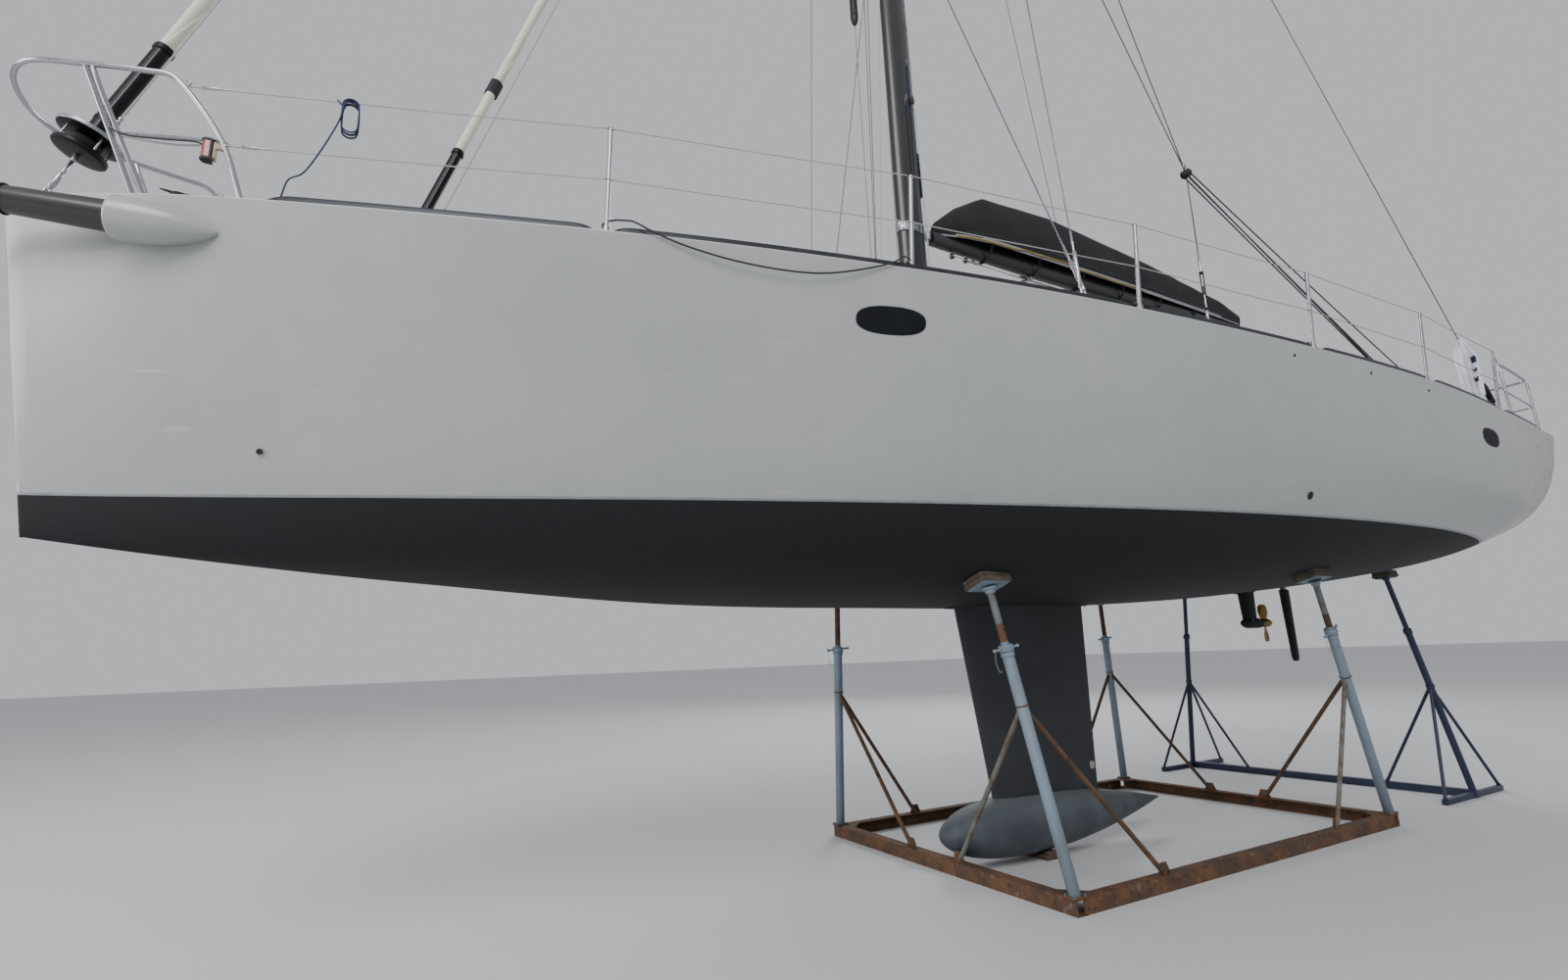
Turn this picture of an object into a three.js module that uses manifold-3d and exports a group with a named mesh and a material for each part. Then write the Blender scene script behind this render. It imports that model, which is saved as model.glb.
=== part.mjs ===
// Sailing yacht with a plumb bow, laid up ashore on a steel cradle and a stern stand.
// Millimetres, +X to the bow, +Y to port, +Z up, origin on the ground under the middle of the yacht.
import * as THREE from "three";
import { mergeVertices } from "three/addons/utils/BufferGeometryUtils.js";
import Module from "manifold-3d";

const wasm = await Module();
wasm.setup();

// Driving dimensions
const BOW_X = 5800; // the stem at the sheer; places along the hull are given as s, aft of it
const HULL_LENGTH = 12350;
const TOUCH = 0.3; // gap between two pieces that touch
const DECK_EDGE = 12; // deck edge above the sheer
const DECK_CROWN = 0.045; // rise of the deck at the centreline, as a part of the half beam
const RAIL_HEIGHT = 34;
const RAIL_WIDTH = 26;
const RAIL_TAPER = 70; // length of the slope at each end of a rail
const STANCHION_HEIGHT = 610;
const STANCHION_RADIUS = 12;
const LIFELINE_RADIUS = 3;
const MAST_FRONT = 5500;
const MAST_CHORD = 270;
const MAST_WIDTH = 150;
const MAST_STEP_Z = 4080;
const MAST_TOP_Z = 20600;
const FORESTAY_FOOT = { s: 120, z: 3925 };
const FORESTAY_TOP_Z = 18900;
const INNER_STAY_FOOT = { s: 1650, z: 3850 };
const INNER_STAY_TOP_Z = 14960;
const GOOSENECK = { s: 5835, z: 5205 };
const BOOM_END_S = 10520;
const COCKPIT = {
  s0: 8980, s1: 11880, seatZ: 3270, soleZ: 2960,
  seatY: 1000, soleY: 420, helmS: 10450, helmY: 1120,
};
const RUDDER_STOCK = { s: 10520, radius: 34 };
const RUDDER_HELM = 22; // the rudder was left turned by this many degrees, trailing edge to starboard
// The frame stands a little to starboard of the keel
const CRADLE = { s0: 5510, s1: 9454, y0: -1540, y1: 1142, beam: 95, web: 84 };
const HANK_S = 1420;
const STAND = { s: 11300, y0: -1900, y1: 1000, tube: 70, runner: 620 };

// Hull columns: s, half beam and height at the sheer, height of the bottom on the centreline, then the
// section between them: reach and rise of the bottom, flare and height of the turn of the bilge.
const HULL = [
  { s: 0, beam: 32, sheer: 3880, keel: 2225, reach: 0.297, rise: 23, flare: 11, bilge: 2972 },
  { s: 700, beam: 411, sheer: 3853, keel: 2153, reach: 0.394, rise: 52, flare: 163, bilge: 2738 },
  { s: 1800, beam: 872, sheer: 3787, keel: 2050, reach: 0.539, rise: 81, flare: 299, bilge: 2505 },
  { s: 3400, beam: 1364, sheer: 3740, keel: 1928, reach: 0.688, rise: 81, flare: 310, bilge: 2354 },
  { s: 5200, beam: 1761, sheer: 3689, keel: 1909, reach: 0.805, rise: 59, flare: 217, bilge: 2294 },
  { s: 7200, beam: 2044, sheer: 3618, keel: 1929, reach: 0.886, rise: 35, flare: 104, bilge: 2280 },
  { s: 9200, beam: 2145, sheer: 3582, keel: 2026, reach: 0.924, rise: 36, flare: 45, bilge: 2346 },
  { s: 11000, beam: 2062, sheer: 3556, keel: 2195, reach: 0.918, rise: 26, flare: 35, bilge: 2520 },
  { s: HULL_LENGTH, beam: 1957, sheer: 3524, keel: 2393, reach: 0.814, rise: 54, flare: 95, bilge: 2704 },
];
const STEM_RAKE = { part: 0.172, length: 2000 };
const TRANSOM_RAKE = { part: -0.068, start: 9500 };
const HALF_STEPS = 12; // points from keel to sheer in each section
const STATIONS = [
  0, 120, 260, 420, 700, 1000, 1400, 1800, 2300, 2850, 3400, 4000, 4600, 5200,
  5850, 6500, 7200, 7850, 8500, 9200, 9800, 10400, 11000, 11500, 12000, HULL_LENGTH,
];

// Colours
const paint = (color, roughness, metalness = 0) =>
  new THREE.MeshStandardMaterial({ color, roughness, metalness });
const topsideGrey = paint(0xa9aead, 0.35);
const deckGrey = paint(0xb9bcba, 0.6);
const antifouling = paint(0x1b1f26, 0.8);
const keelGrey = paint(0x2b2e33, 0.85);
const carbon = paint(0x1c1e20, 0.3);
const stainless = paint(0xb8bcc0, 0.25, 1);
const alloy = paint(0x9fa3a6, 0.4, 1);
const sailWhite = paint(0xe6e6e2, 0.8);
const coverBlack = paint(0x17181b, 0.9);
const smokedGlass = paint(0x0c0e10, 0.1);
const rustySteel = paint(0x5d4535, 0.9, 0.4);
const galvanised = paint(0x7d8a94, 0.6, 0.8);
const standBlue = paint(0x1d2a44, 0.5, 0.3);
const bronze = paint(0x8a6a3a, 0.4, 1);
const redLamp = paint(0xb01b1b, 0.3);
const greenLamp = paint(0x1b8a3a, 0.3);
const ropeBlue = paint(0x1d3f7a, 0.9);
const ropeDark = paint(0x24262a, 0.9);
const flagCloth = paint(0xd6d8da, 0.9);

// Points: s aft of the stem, y to port, z up
const P = (s, y, z) => new THREE.Vector3(BOW_X - s, y, z);
const SPRIT = { root: P(500, 390, 3690), tip: P(-742, 130, 3780), rootRadius: 75, tipRadius: 38 };

// Smooth value of one column of a table at s
function column(table, name, s) {
  const n = table.length;
  let i = 0;
  while (i < n - 2 && s >= table[i + 1].s) i++;
  const slope = (k) => {
    const a = table[Math.max(k - 1, 0)];
    const b = table[Math.min(k + 1, n - 1)];
    return (b[name] - a[name]) / (b.s - a.s);
  };
  const h = table[i + 1].s - table[i].s;
  const t = (s - table[i].s) / h;
  const t2 = t * t;
  const t3 = t2 * t;
  return (
    (2 * t3 - 3 * t2 + 1) * table[i][name] +
    (t3 - 2 * t2 + t) * h * slope(i) +
    (3 * t2 - 2 * t3) * table[i + 1][name] +
    (t3 - t2) * h * slope(i + 1)
  );
}
const beamAt = (s) => column(HULL, "beam", s);
const sheerAt = (s) => column(HULL, "sheer", s);
const deckHalf = (s) => Math.max(beamAt(s) - 8, 12);
const deckTop = (s, y) => {
  const half = deckHalf(s);
  return sheerAt(s) + DECK_EDGE + DECK_CROWN * half * (1 - Math.min(1, (y / half) ** 2));
};

// Solids
function toSolid(geometry) {
  geometry.deleteAttribute("normal");
  geometry.deleteAttribute("uv");
  const merged = mergeVertices(geometry.index ? geometry.toNonIndexed() : geometry, 1e-3);
  return new wasm.Manifold(
    new wasm.Mesh({
      numProp: 3,
      vertProperties: new Float32Array(merged.attributes.position.array),
      triVerts: new Uint32Array(merged.index.array),
    }),
  );
}
function toGeometry(solid) {
  const mesh = solid.getMesh();
  const geometry = new THREE.BufferGeometry();
  geometry.setAttribute("position", new THREE.BufferAttribute(mesh.vertProperties, mesh.numProp));
  geometry.setIndex(new THREE.BufferAttribute(mesh.triVerts, 1));
  geometry.computeVertexNormals();
  return geometry;
}
const joined = (solids) => solids.reduce((a, b) => a.add(b));

// Closed loft through rings with the same number of points, each ring flat enough to cap
function loft(rings) {
  const n = rings[0].length;
  const positions = rings.flat().flatMap((p) => [p.x, p.y, p.z]);
  const index = [];
  for (let r = 0; r + 1 < rings.length; r++) {
    for (let i = 0; i < n; i++) {
      const a = r * n + i;
      const b = r * n + ((i + 1) % n);
      index.push(a, b, b + n, a, b + n, a + n);
    }
  }
  const cap = (ring, base, flip) => {
    const normal = new THREE.Vector3();
    ring.forEach((p, i) => normal.add(new THREE.Vector3().crossVectors(p, ring[(i + 1) % n])));
    normal.normalize();
    const side = Math.abs(normal.x) > 0.9 ? new THREE.Vector3(0, 1, 0) : new THREE.Vector3(1, 0, 0);
    const u = new THREE.Vector3().crossVectors(normal, side).normalize();
    const v = new THREE.Vector3().crossVectors(normal, u);
    const flat = ring.map((p) => new THREE.Vector2(p.dot(u), p.dot(v)));
    for (const [a, b, c] of THREE.ShapeUtils.triangulateShape(flat, [])) {
      const turned = THREE.ShapeUtils.area([flat[a], flat[b], flat[c]]) > 0;
      index.push(...(turned === flip ? [base + a, base + b, base + c] : [base + a, base + c, base + b]));
    }
  };
  cap(rings[0], 0, false);
  cap(rings.at(-1), (rings.length - 1) * n, true);
  let geometry = new THREE.BufferGeometry();
  geometry.setAttribute("position", new THREE.Float32BufferAttribute(positions, 3));
  geometry.setIndex(index);
  if (signedVolume(geometry) < 0) geometry = flipped(geometry);
  return toSolid(geometry);
}
function signedVolume(geometry) {
  const at = (i) => new THREE.Vector3().fromBufferAttribute(geometry.attributes.position, i);
  const index = geometry.index.array;
  let volume = 0;
  for (let i = 0; i < index.length; i += 3) {
    volume += at(index[i]).dot(at(index[i + 1]).cross(at(index[i + 2]))) / 6;
  }
  return volume;
}
function flipped(geometry) {
  const index = Array.from(geometry.index.array);
  for (let i = 0; i < index.length; i += 3) [index[i + 1], index[i + 2]] = [index[i + 2], index[i + 1]];
  geometry.setIndex(index);
  return geometry;
}
// The same solid on the other side of the centreline
function mirrored(solid) {
  const geometry = toGeometry(solid);
  geometry.scale(1, -1, 1);
  return toSolid(flipped(geometry));
}

// Turn that takes the Y axis, along which three.js makes its round shapes, to this axis
const turnFromY = (axis) =>
  new THREE.Quaternion().setFromUnitVectors(new THREE.Vector3(0, 1, 0), axis.clone().normalize());

// Round bar from a to b, its radius changing to endRadius
function bar(a, b, radius, sides = 8, endRadius = radius) {
  const axis = new THREE.Vector3().subVectors(b, a);
  const geometry = new THREE.CylinderGeometry(endRadius, radius, axis.length(), sides);
  geometry.applyQuaternion(turnFromY(axis));
  geometry.translate(...new THREE.Vector3().addVectors(a, b).multiplyScalar(0.5).toArray());
  return toSolid(geometry);
}
function ball(center, radius, detail = 6) {
  const geometry = new THREE.SphereGeometry(radius, detail + 2, detail);
  geometry.translate(...center.toArray());
  return toSolid(geometry);
}
// Bars from point to point with balls at the corners
function chain(points, radius, sides = 8) {
  const solids = points.slice(1).map((p, i) => bar(points[i], p, radius, sides));
  if (radius > 5) points.slice(1, -1).forEach((p) => solids.push(ball(p, radius * 1.02, 4)));
  return joined(solids);
}
const above = (p, height) => new THREE.Vector3(p.x, p.y, p.z + height);
// Upright bar standing on p
const raised = (p, height, radius, sides = 8) => bar(p, above(p, height), radius, sides);
const moved = (solid, x, y, z) => toSolid(toGeometry(solid).translate(x, y, z));
function block(s0, s1, y0, y1, z0, z1) {
  const geometry = new THREE.BoxGeometry(s1 - s0, y1 - y0, z1 - z0);
  geometry.translate(BOW_X - (s0 + s1) / 2, (y0 + y1) / 2, (z0 + z1) / 2);
  return toSolid(geometry);
}
// Round tube with 8 or more sides along a smooth curve, open ends closed flat
function hose(points, radius, sides, steps) {
  const path = new THREE.CatmullRomCurve3(points, false, "centripetal");
  const section = new THREE.Shape(
    Array.from({ length: sides }, (_, i) => {
      const turn = (i / sides) * 2 * Math.PI;
      return new THREE.Vector2(radius * Math.cos(turn), radius * Math.sin(turn));
    }),
  );
  return toSolid(new THREE.ExtrudeGeometry(section, { steps, extrudePath: path, bevelEnabled: false }));
}
// Turned solid: profile of [radius, height] pairs about the axis through base
function turned(profile, base, axis, sides = 16) {
  const geometry = new THREE.LatheGeometry(
    profile.map(([r, h]) => new THREE.Vector2(r, h)),
    sides,
  );
  geometry.applyQuaternion(turnFromY(axis));
  geometry.translate(...base.toArray());
  const merged = mergeVertices(stripped(geometry), 1e-3);
  if (signedVolume(merged) < 0) flipped(merged);
  return toSolid(merged);
}
function stripped(geometry) {
  geometry.deleteAttribute("normal");
  geometry.deleteAttribute("uv");
  return geometry;
}

const yacht = new THREE.Group();
function piece(name, solid, material) {
  const mesh = new THREE.Mesh(toGeometry(solid), material);
  mesh.name = name;
  yacht.add(mesh);
}

// A port piece and its mirror image to starboard, each fitted to what carries it
function pair(name, solid, material, fitted = (side) => side) {
  piece(`${name}_port`, fitted(solid), material);
  piece(`${name}_stbd`, fitted(mirrored(solid)), material);
}

// Hull surface point: t runs from 0 on the centreline to 1 at the sheer
function hullPoint(s, t) {
  const c = (name) => column(HULL, name, s);
  const k = 1 - t;
  const low = 3 * k * k * t;
  const high = 3 * k * t * t;
  const beam = c("beam");
  const y = low * c("reach") * beam + high * (beam - c("flare")) + t ** 3 * beam;
  const z =
    k ** 3 * c("keel") + low * (c("keel") + c("rise")) + high * c("bilge") + t ** 3 * c("sheer");
  const drop = c("sheer") - z;
  const stem = STEM_RAKE.part * drop * Math.max(0, 1 - s / STEM_RAKE.length) ** 2;
  const aft = Math.max(0, (s - TRANSOM_RAKE.start) / (HULL_LENGTH - TRANSOM_RAKE.start)) ** 2;
  return P(s + stem + TRANSOM_RAKE.part * drop * aft, y, z);
}
const steps = (count) => Array.from({ length: count + 1 }, (_, i) => i / count);

function hullSection(s) {
  const port = steps(HALF_STEPS).map((t) => hullPoint(s, t));
  const starboard = port.slice(1).reverse();
  return [...port, ...starboard.map((p) => new THREE.Vector3(p.x, -p.y, p.z))];
}
// Half beam of the hull at station s and height z
function hullHalf(s, z) {
  const side = steps(40).map((t) => hullPoint(s, t));
  const i = side.findIndex((p) => p.z > z);
  const a = side[i - 1];
  const b = side[i];
  return a.y + ((b.y - a.y) * (z - a.z)) / (b.z - a.z);
}
// Height of the hull bottom at station s and half breadth y
function bottomAt(s, y) {
  const side = steps(60).map((t) => hullPoint(s, t));
  const i = Math.max(1, side.findIndex((p) => p.y > y));
  const a = side[i - 1];
  const b = side[i];
  return a.z + ((b.z - a.z) * (y - a.y)) / (b.y - a.y);
}

function cockpitWell() {
  const c = COCKPIT;
  return joined([
    block(c.s0, c.s1, -c.seatY, c.seatY, c.seatZ, CUT_TOP),
    block(c.s0, c.s1 - 60, -c.soleY, c.soleY, c.soleZ, CUT_TOP),
    block(c.helmS, c.s1, -c.helmY, c.helmY, c.soleZ, CUT_TOP),
  ]);
}
const COMPANIONWAY = { s0: 8200, s1: COCKPIT.s0, half: 290, z0: 2960 };
const FORE_HATCH = { s: 3350, half: 255, z: deckTop(3095, 0) + 12, well: 225, wellZ: 3100 };
const ROOF_HATCH = { s: 6900, half: 235, z: 22 };
const WINDOW = { s: 4170, z: 3412, length: 430, height: 170 };
const PORTLIGHT = { s: 10250, z: 3237, radius: 85 };
const WINDOW_DEPTH = 70; // the glass reaches this far in from the topside
const PORTLIGHT_DEPTH = 50;
const CUT_REACH = 200; // a cutter reaches this far out of the hull
const CUT_TOP = 4300; // and up to this height, above the coachroof
const hatchWell = () => {
  const { s, well, wellZ } = FORE_HATCH;
  return block(s - well, s + well, -well, well, wellZ, CUT_TOP);
};

// Flat plug through both topsides for a window: an ellipse along the side
function windowPlug(w, halfLength, halfHeight, y0, y1, sides = 20) {
  const ring = (y) =>
    Array.from({ length: sides }, (_, i) => {
      const turn = (i / sides) * 2 * Math.PI;
      return P(w.s + halfLength * Math.cos(turn), y, w.z + halfHeight * Math.sin(turn));
    });
  return loft([ring(y0), ring(y1)]);
}

// Radius and distance aft of the flat front face
const SPRIT_HOUSING = [
  [0, 0], [96, 0], [103, 8], [104, 70], [98, 160],
  [82, 250], [56, 335], [22, 405], [0, 425],
];

function buildHull() {
  let hull = loft(STATIONS.map(hullSection));
  // Bullet-shaped housing of the bowsprit on the port bow
  const aft = new THREE.Vector3().subVectors(SPRIT.root, SPRIT.tip);
  hull = hull.add(turned(SPRIT_HOUSING, SPRIT.root, aft, 24));
  hull = hull.subtract(cockpitWell());
  const c = COMPANIONWAY;
  hull = hull.subtract(block(c.s0, c.s1 + 1, -c.half, c.half, c.z0, CUT_TOP));
  hull = hull.subtract(hatchWell());
  const stock = RUDDER_STOCK;
  hull = hull.subtract(bar(P(stock.s, 0, 1900), P(stock.s, 0, 2480), stock.radius + 1, 24));
  for (const side of [1, -1]) {
    const w = hullHalf(WINDOW.s, WINDOW.z);
    const { length, height } = WINDOW;
    const glass = [side * (w - WINDOW_DEPTH), side * (w + CUT_REACH)];
    hull = hull.subtract(windowPlug(WINDOW, length / 2, height / 2, ...glass));
    const p = hullHalf(PORTLIGHT.s, PORTLIGHT.z);
    const { radius } = PORTLIGHT;
    const recess = [side * (p - PORTLIGHT_DEPTH), side * (p + CUT_REACH)];
    hull = hull.subtract(windowPlug(PORTLIGHT, radius, radius, ...recess));
  }
  return hull;
}

function deckSection(s, lift = 0, depth = 0) {
  const half = deckHalf(s);
  const bottom = sheerAt(s) + TOUCH - depth;
  const top = steps(10).map((t) => {
    const y = half * (1 - 2 * t);
    return P(s, y, deckTop(s, y) + lift);
  });
  return [...top, P(s, -half, bottom), P(s, half, bottom)];
}
// Toe rail from s0 to s1 on one side, with its ends sloped down
function toeRail(s0, s1, side) {
  const count = Math.max(2, Math.round((s1 - s0) / 650));
  const inner = steps(count).slice(1, -1);
  const run = s1 - s0 - 2 * RAIL_TAPER;
  const stations = [
    s0,
    s0 + RAIL_TAPER,
    ...inner.map((t) => s0 + RAIL_TAPER + t * run),
    s1 - RAIL_TAPER,
    s1,
  ];
  const ring = (s, height) => {
    const outer = deckHalf(s) - 6;
    const z = sheerAt(s) + DECK_EDGE;
    return [
      P(s, side * outer, z - 6),
      P(s, side * (outer - RAIL_WIDTH), z - 6),
      P(s, side * (outer - RAIL_WIDTH), z + height),
      P(s, side * outer, z + height),
    ];
  };
  return loft(stations.map((s, i) => ring(s, i === 0 || i === stations.length - 1 ? 8 : RAIL_HEIGHT)));
}
const RAIL_RUNS = [
  [1100, 2560],
  [2660, 5830],
  [5960, 7530],
  [7650, 9120],
  [9250, 10620],
  [10860, 11900],
];

function buildDeck() {
  const stations = [...STATIONS.filter((s) => s < HULL_LENGTH), HULL_LENGTH - 10];
  let deck = loft(stations.map((s) => deckSection(s)));
  for (const [s0, s1] of RAIL_RUNS) {
    deck = deck.add(toeRail(s0, s1, 1)).add(toeRail(s0, s1, -1));
  }
  deck = deck.subtract(cockpitWell());
  const c = COMPANIONWAY;
  deck = deck.subtract(block(c.s0, c.s1 + 1, -c.half, c.half, c.z0, CUT_TOP));
  const h = FORE_HATCH;
  deck = deck.add(block(h.s - h.half + 6, h.s + h.half, -h.half, h.half, deckTop(h.s, h.half) - 12, h.z));
  return deck.subtract(hatchWell());
}

// Coachroof columns: s, half width at the foot, half width and height of the top above the deck
const ROOF = [
  { s: 4300, foot: 560, top: 380, height: 15 },
  { s: 5000, foot: 860, top: 690, height: 170 },
  { s: 6200, foot: 1080, top: 900, height: 270 },
  { s: 7600, foot: 1180, top: 1010, height: 350 },
  { s: 8960, foot: 1200, top: 1040, height: 400 },
];
const roofTop = (s) => deckTop(s, 0) + column(ROOF, "height", s);

function roofSection(s) {
  const foot = column(ROOF, "foot", s);
  const top = column(ROOF, "top", s);
  const crown = roofTop(s);
  const points = [
    [foot + 25, sheerAt(s) - 60],
    [foot, deckTop(s, foot) + 4],
    [top + 25, crown - 95],
    [top - 40, crown - 45],
    [top * 0.5, crown - 10],
  ];
  return [
    ...points.map(([y, z]) => P(s, y, z)),
    P(s, 0, crown),
    ...points.reverse().map(([y, z]) => P(s, -y, z)),
  ];
}
function buildCoachroof() {
  const stations = [4300, 4650, 5000, 5600, 6200, 6900, 7600, 8300, 8960];
  let roof = loft(stations.map(roofSection));
  const s = MAST_FRONT + MAST_CHORD / 2;
  roof = roof.add(block(s - 210, s + 210, -150, 150, MAST_STEP_Z - 160, MAST_STEP_Z));
  // Runners of the sliding hatch and frame of the roof hatch
  const c = COMPANIONWAY;
  for (const side of [1, -1]) {
    const y = side * (c.half + 20);
    roof = roof.add(block(c.s0 - 640, c.s1 - 20, y - 18, y + 18, SLIDE_Z - 130, SLIDE_Z));
  }
  const h = ROOF_HATCH;
  const crown = roofTop(h.s);
  roof = roof.add(block(h.s - h.half + 6, h.s + h.half, -h.half, h.half, crown - 60, crown + h.z));
  roof = roof.subtract(loft(STATIONS.filter((t) => t < HULL_LENGTH).map((t) => deckSection(t, TOUCH, 400))));
  return roof.subtract(block(c.s0, c.s1 + 1, -c.half, c.half, c.z0, SLIDE_Z + 200));
}
const SLIDE_Z = roofTop(COMPANIONWAY.s0) + 38;

// Lens-shaped section of a fin, rudder or mast: half thickness against the part of the chord
const FOIL = [
  [0, 0.1],
  [0.05, 0.55],
  [0.18, 0.92],
  [0.35, 1],
  [0.6, 0.8],
  [0.85, 0.35],
  [1, 0.06],
];
function foilRing(s0, chord, thickness, z) {
  const port = FOIL.map(([part, half]) => P(s0 + part * chord, (half * thickness) / 2, z));
  const starboard = FOIL.map(([part, half]) => P(s0 + part * chord, (-half * thickness) / 2, z)).reverse();
  return [...port, ...starboard];
}
const KEEL = {
  top: { s: 5700, chord: 1560, thickness: 210, z: 2400 },
  foot: { s: 6010, chord: 1160, thickness: 150, z: 360 },
};
const BULB = { nose: 5470, length: 2460, z: 250, half: 215, width: 250 };

// Half width of the bulb against the part of its length
const BULB_SHAPE = [
  [0, 0.12],
  [0.04, 0.5],
  [0.12, 0.82],
  [0.25, 1],
  [0.45, 0.98],
  [0.65, 0.76],
  [0.85, 0.38],
  [1, 0.04],
];
const BULB_RISE = 10; // the tail stands this much higher than the nose

function buildBulb(lift = 0) {
  const { nose, length, z, half, width } = BULB;
  const ring = ([part, share]) =>
    Array.from({ length: 16 }, (_, i) => {
      const turn = (i / 16) * 2 * Math.PI;
      const middle = z + lift + BULB_RISE * part;
      return P(nose + part * length, width * share * Math.cos(turn), middle + half * share * Math.sin(turn));
    });
  return loft(BULB_SHAPE.map(ring));
}

function buildKeel() {
  const fin = loft([
    foilRing(KEEL.top.s, KEEL.top.chord, KEEL.top.thickness, KEEL.top.z),
    foilRing(KEEL.foot.s, KEEL.foot.chord, KEEL.foot.thickness, KEEL.foot.z),
  ]);
  const bulb = buildBulb();
  piece("keel_fin", fin.subtract(hullBelow).subtract(buildBulb(TOUCH)).subtract(bulb), keelGrey);
  piece("keel_bulb", bulb, keelGrey);
  piece("keel_block", block(6330, 6520, -170, 170, 0, 62).subtract(moved(bulb, 0, 0, -TOUCH)), rustySteel);
}

const hull = buildHull();
piece("hull", hull, topsideGrey);
const deck = buildDeck();
piece("deck", deck, deckGrey);
// Cuts a piece that stands on the deck to the deck's own shape
const deckAbove = moved(deck, 0, 0, TOUCH);
const seated = (solid) => solid.subtract(deckAbove);
const hullBelow = moved(hull, 0, 0, -TOUCH);
const coachroof = buildCoachroof();
piece("coachroof", coachroof, deckGrey);
buildKeel();

function buildWindow() {
  const w = hullHalf(WINDOW.s, WINDOW.z);
  const { length, height } = WINDOW;
  const inner = w - WINDOW_DEPTH + TOUCH;
  const glass = windowPlug(WINDOW, length / 2 - TOUCH, height / 2 - TOUCH, inner, w + CUT_REACH);
  const skin = loft(STATIONS.map((s) => hullSection(s).map((p) => new THREE.Vector3(p.x, p.y * 0.999, p.z))));
  return glass.intersect(skin);
}
pair("window", buildWindow(), smokedGlass);

// Bow
const spritStart = SPRIT.tip.clone().sub(SPRIT.root).setLength(TOUCH).add(SPRIT.root);
piece("bowsprit", bar(spritStart, SPRIT.tip, SPRIT.rootRadius, 20, SPRIT.tipRadius), carbon);

function buildStemFitting() {
  const z = deckTop(150, 0);
  const plate = block(40, 420, -26, 26, z - 6, z + 12);
  const lug = block(70, 200, -9, 9, z + 4, FORESTAY_FOOT.z - 12);
  piece("stem_fitting", seated(plate.add(lug)), stainless);
}
buildStemFitting();

const PULPIT_Z = 4450;
function buildPulpit() {
  const radius = 13;
  const rear = (k) => P(985, k * (beamAt(985) - 62), deckTop(985, beamAt(985) - 62) - 4);
  const half = (k) => [
    rear(k),
    P(880, k * 500, 4150),
    P(690, k * 500, PULPIT_Z - 40),
    P(640, k * 492, PULPIT_Z - 4),
    P(560, k * 473, PULPIT_Z),
    P(310, k * 400, PULPIT_Z),
    P(70, k * 300, PULPIT_Z),
    P(-10, k * 170, PULPIT_Z),
  ];
  const hoop = hose([...half(1), P(-35, 0, PULPIT_Z), ...half(-1).reverse()], radius, 8, 56);
  const parts = [hoop];
  for (const k of [1, -1]) {
    const fore = P(520, k * 205, deckTop(520, 205) - 4);
    parts.push(bar(fore, P(310, k * 400, PULPIT_Z), radius));
    parts.push(bar(P(412, k * 297, 4180), P(880, k * 500, 4150), 9));
    for (const foot of [rear(k), fore]) parts.push(raised(foot, 16, 30, 10));
  }
  return joined(parts);
}
const pulpit = seated(buildPulpit());
piece("pulpit", pulpit, stainless);

const PUSHPIT = { s0: 11300, s1: 12200, inner: 900, inset: 70 };
function buildPushpit() {
  const radius = 13;
  const top = (s) => sheerAt(s) + 600;
  const at = (s, z) => P(s, beamAt(s) - PUSHPIT.inset, z);
  const base = (s) => at(s, deckTop(s, beamAt(s) - PUSHPIT.inset) - 8);
  const fore = PUSHPIT.s0;
  const aft = PUSHPIT.s1;
  const inner = P(aft, PUSHPIT.inner, deckTop(aft, PUSHPIT.inner) - 8);
  const parts = [
    chain([at(fore, top(fore)), at(aft, top(aft)), P(aft, PUSHPIT.inner, top(aft)), inner], radius),
    chain([at(fore, top(fore) - 290), at(aft, top(aft) - 290), P(aft, PUSHPIT.inner, top(aft) - 290)], 9),
    ball(at(fore, top(fore)), radius * 1.02),
    raised(inner, 18, 30, 10),
  ];
  for (const s of [fore, aft]) {
    parts.push(bar(base(s), at(s, top(s)), radius), raised(base(s), 18, 30, 10));
  }
  return joined(parts);
}
pair("pushpit", buildPushpit(), stainless, seated);

// Stanchions with the two lifelines of one side, from the pulpit to the pushpit
const STANCHIONS = [2636, 4317, 5943, 7631, 9240, 10890];
const STANCHION_INSET = 62;
const STANCHION_LEAN = 55; // the top stands this far outboard of the foot
const stanchionFoot = (s) => {
  const y = beamAt(s) - STANCHION_INSET;
  return P(s, y, deckTop(s, y) - 8);
};
// Point at a part of the stanchion's height above its foot
const onStanchion = (foot, part) =>
  new THREE.Vector3(foot.x, foot.y + part * STANCHION_LEAN, foot.z + part * STANCHION_HEIGHT);
function buildLifelines() {
  const feet = STANCHIONS.map(stanchionFoot);
  const parts = feet.flatMap((foot) => [
    bar(foot, onStanchion(foot, 1.01), STANCHION_RADIUS),
    bar(foot, onStanchion(foot, 0.075), 20),
    raised(foot, 18, 30, 10),
  ]);
  const end = P(PUSHPIT.s0 - 16, beamAt(PUSHPIT.s0) - PUSHPIT.inset, sheerAt(PUSHPIT.s0) + 598);
  const upper = feet.map((foot) => onStanchion(foot, 1));
  const lower = feet.map((foot) => onStanchion(foot, 0.52));
  parts.push(chain([P(721, 500, PULPIT_Z - 46), ...upper, end], LIFELINE_RADIUS, 6));
  parts.push(chain([P(909, 506, 4128), ...lower, above(end, -290)], LIFELINE_RADIUS, 6));
  return joined(parts);
}
const lifelines = buildLifelines();
pair("stanchions", lifelines, stainless, seated);

// Rig
const mastCentre = MAST_FRONT + MAST_CHORD / 2;
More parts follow.
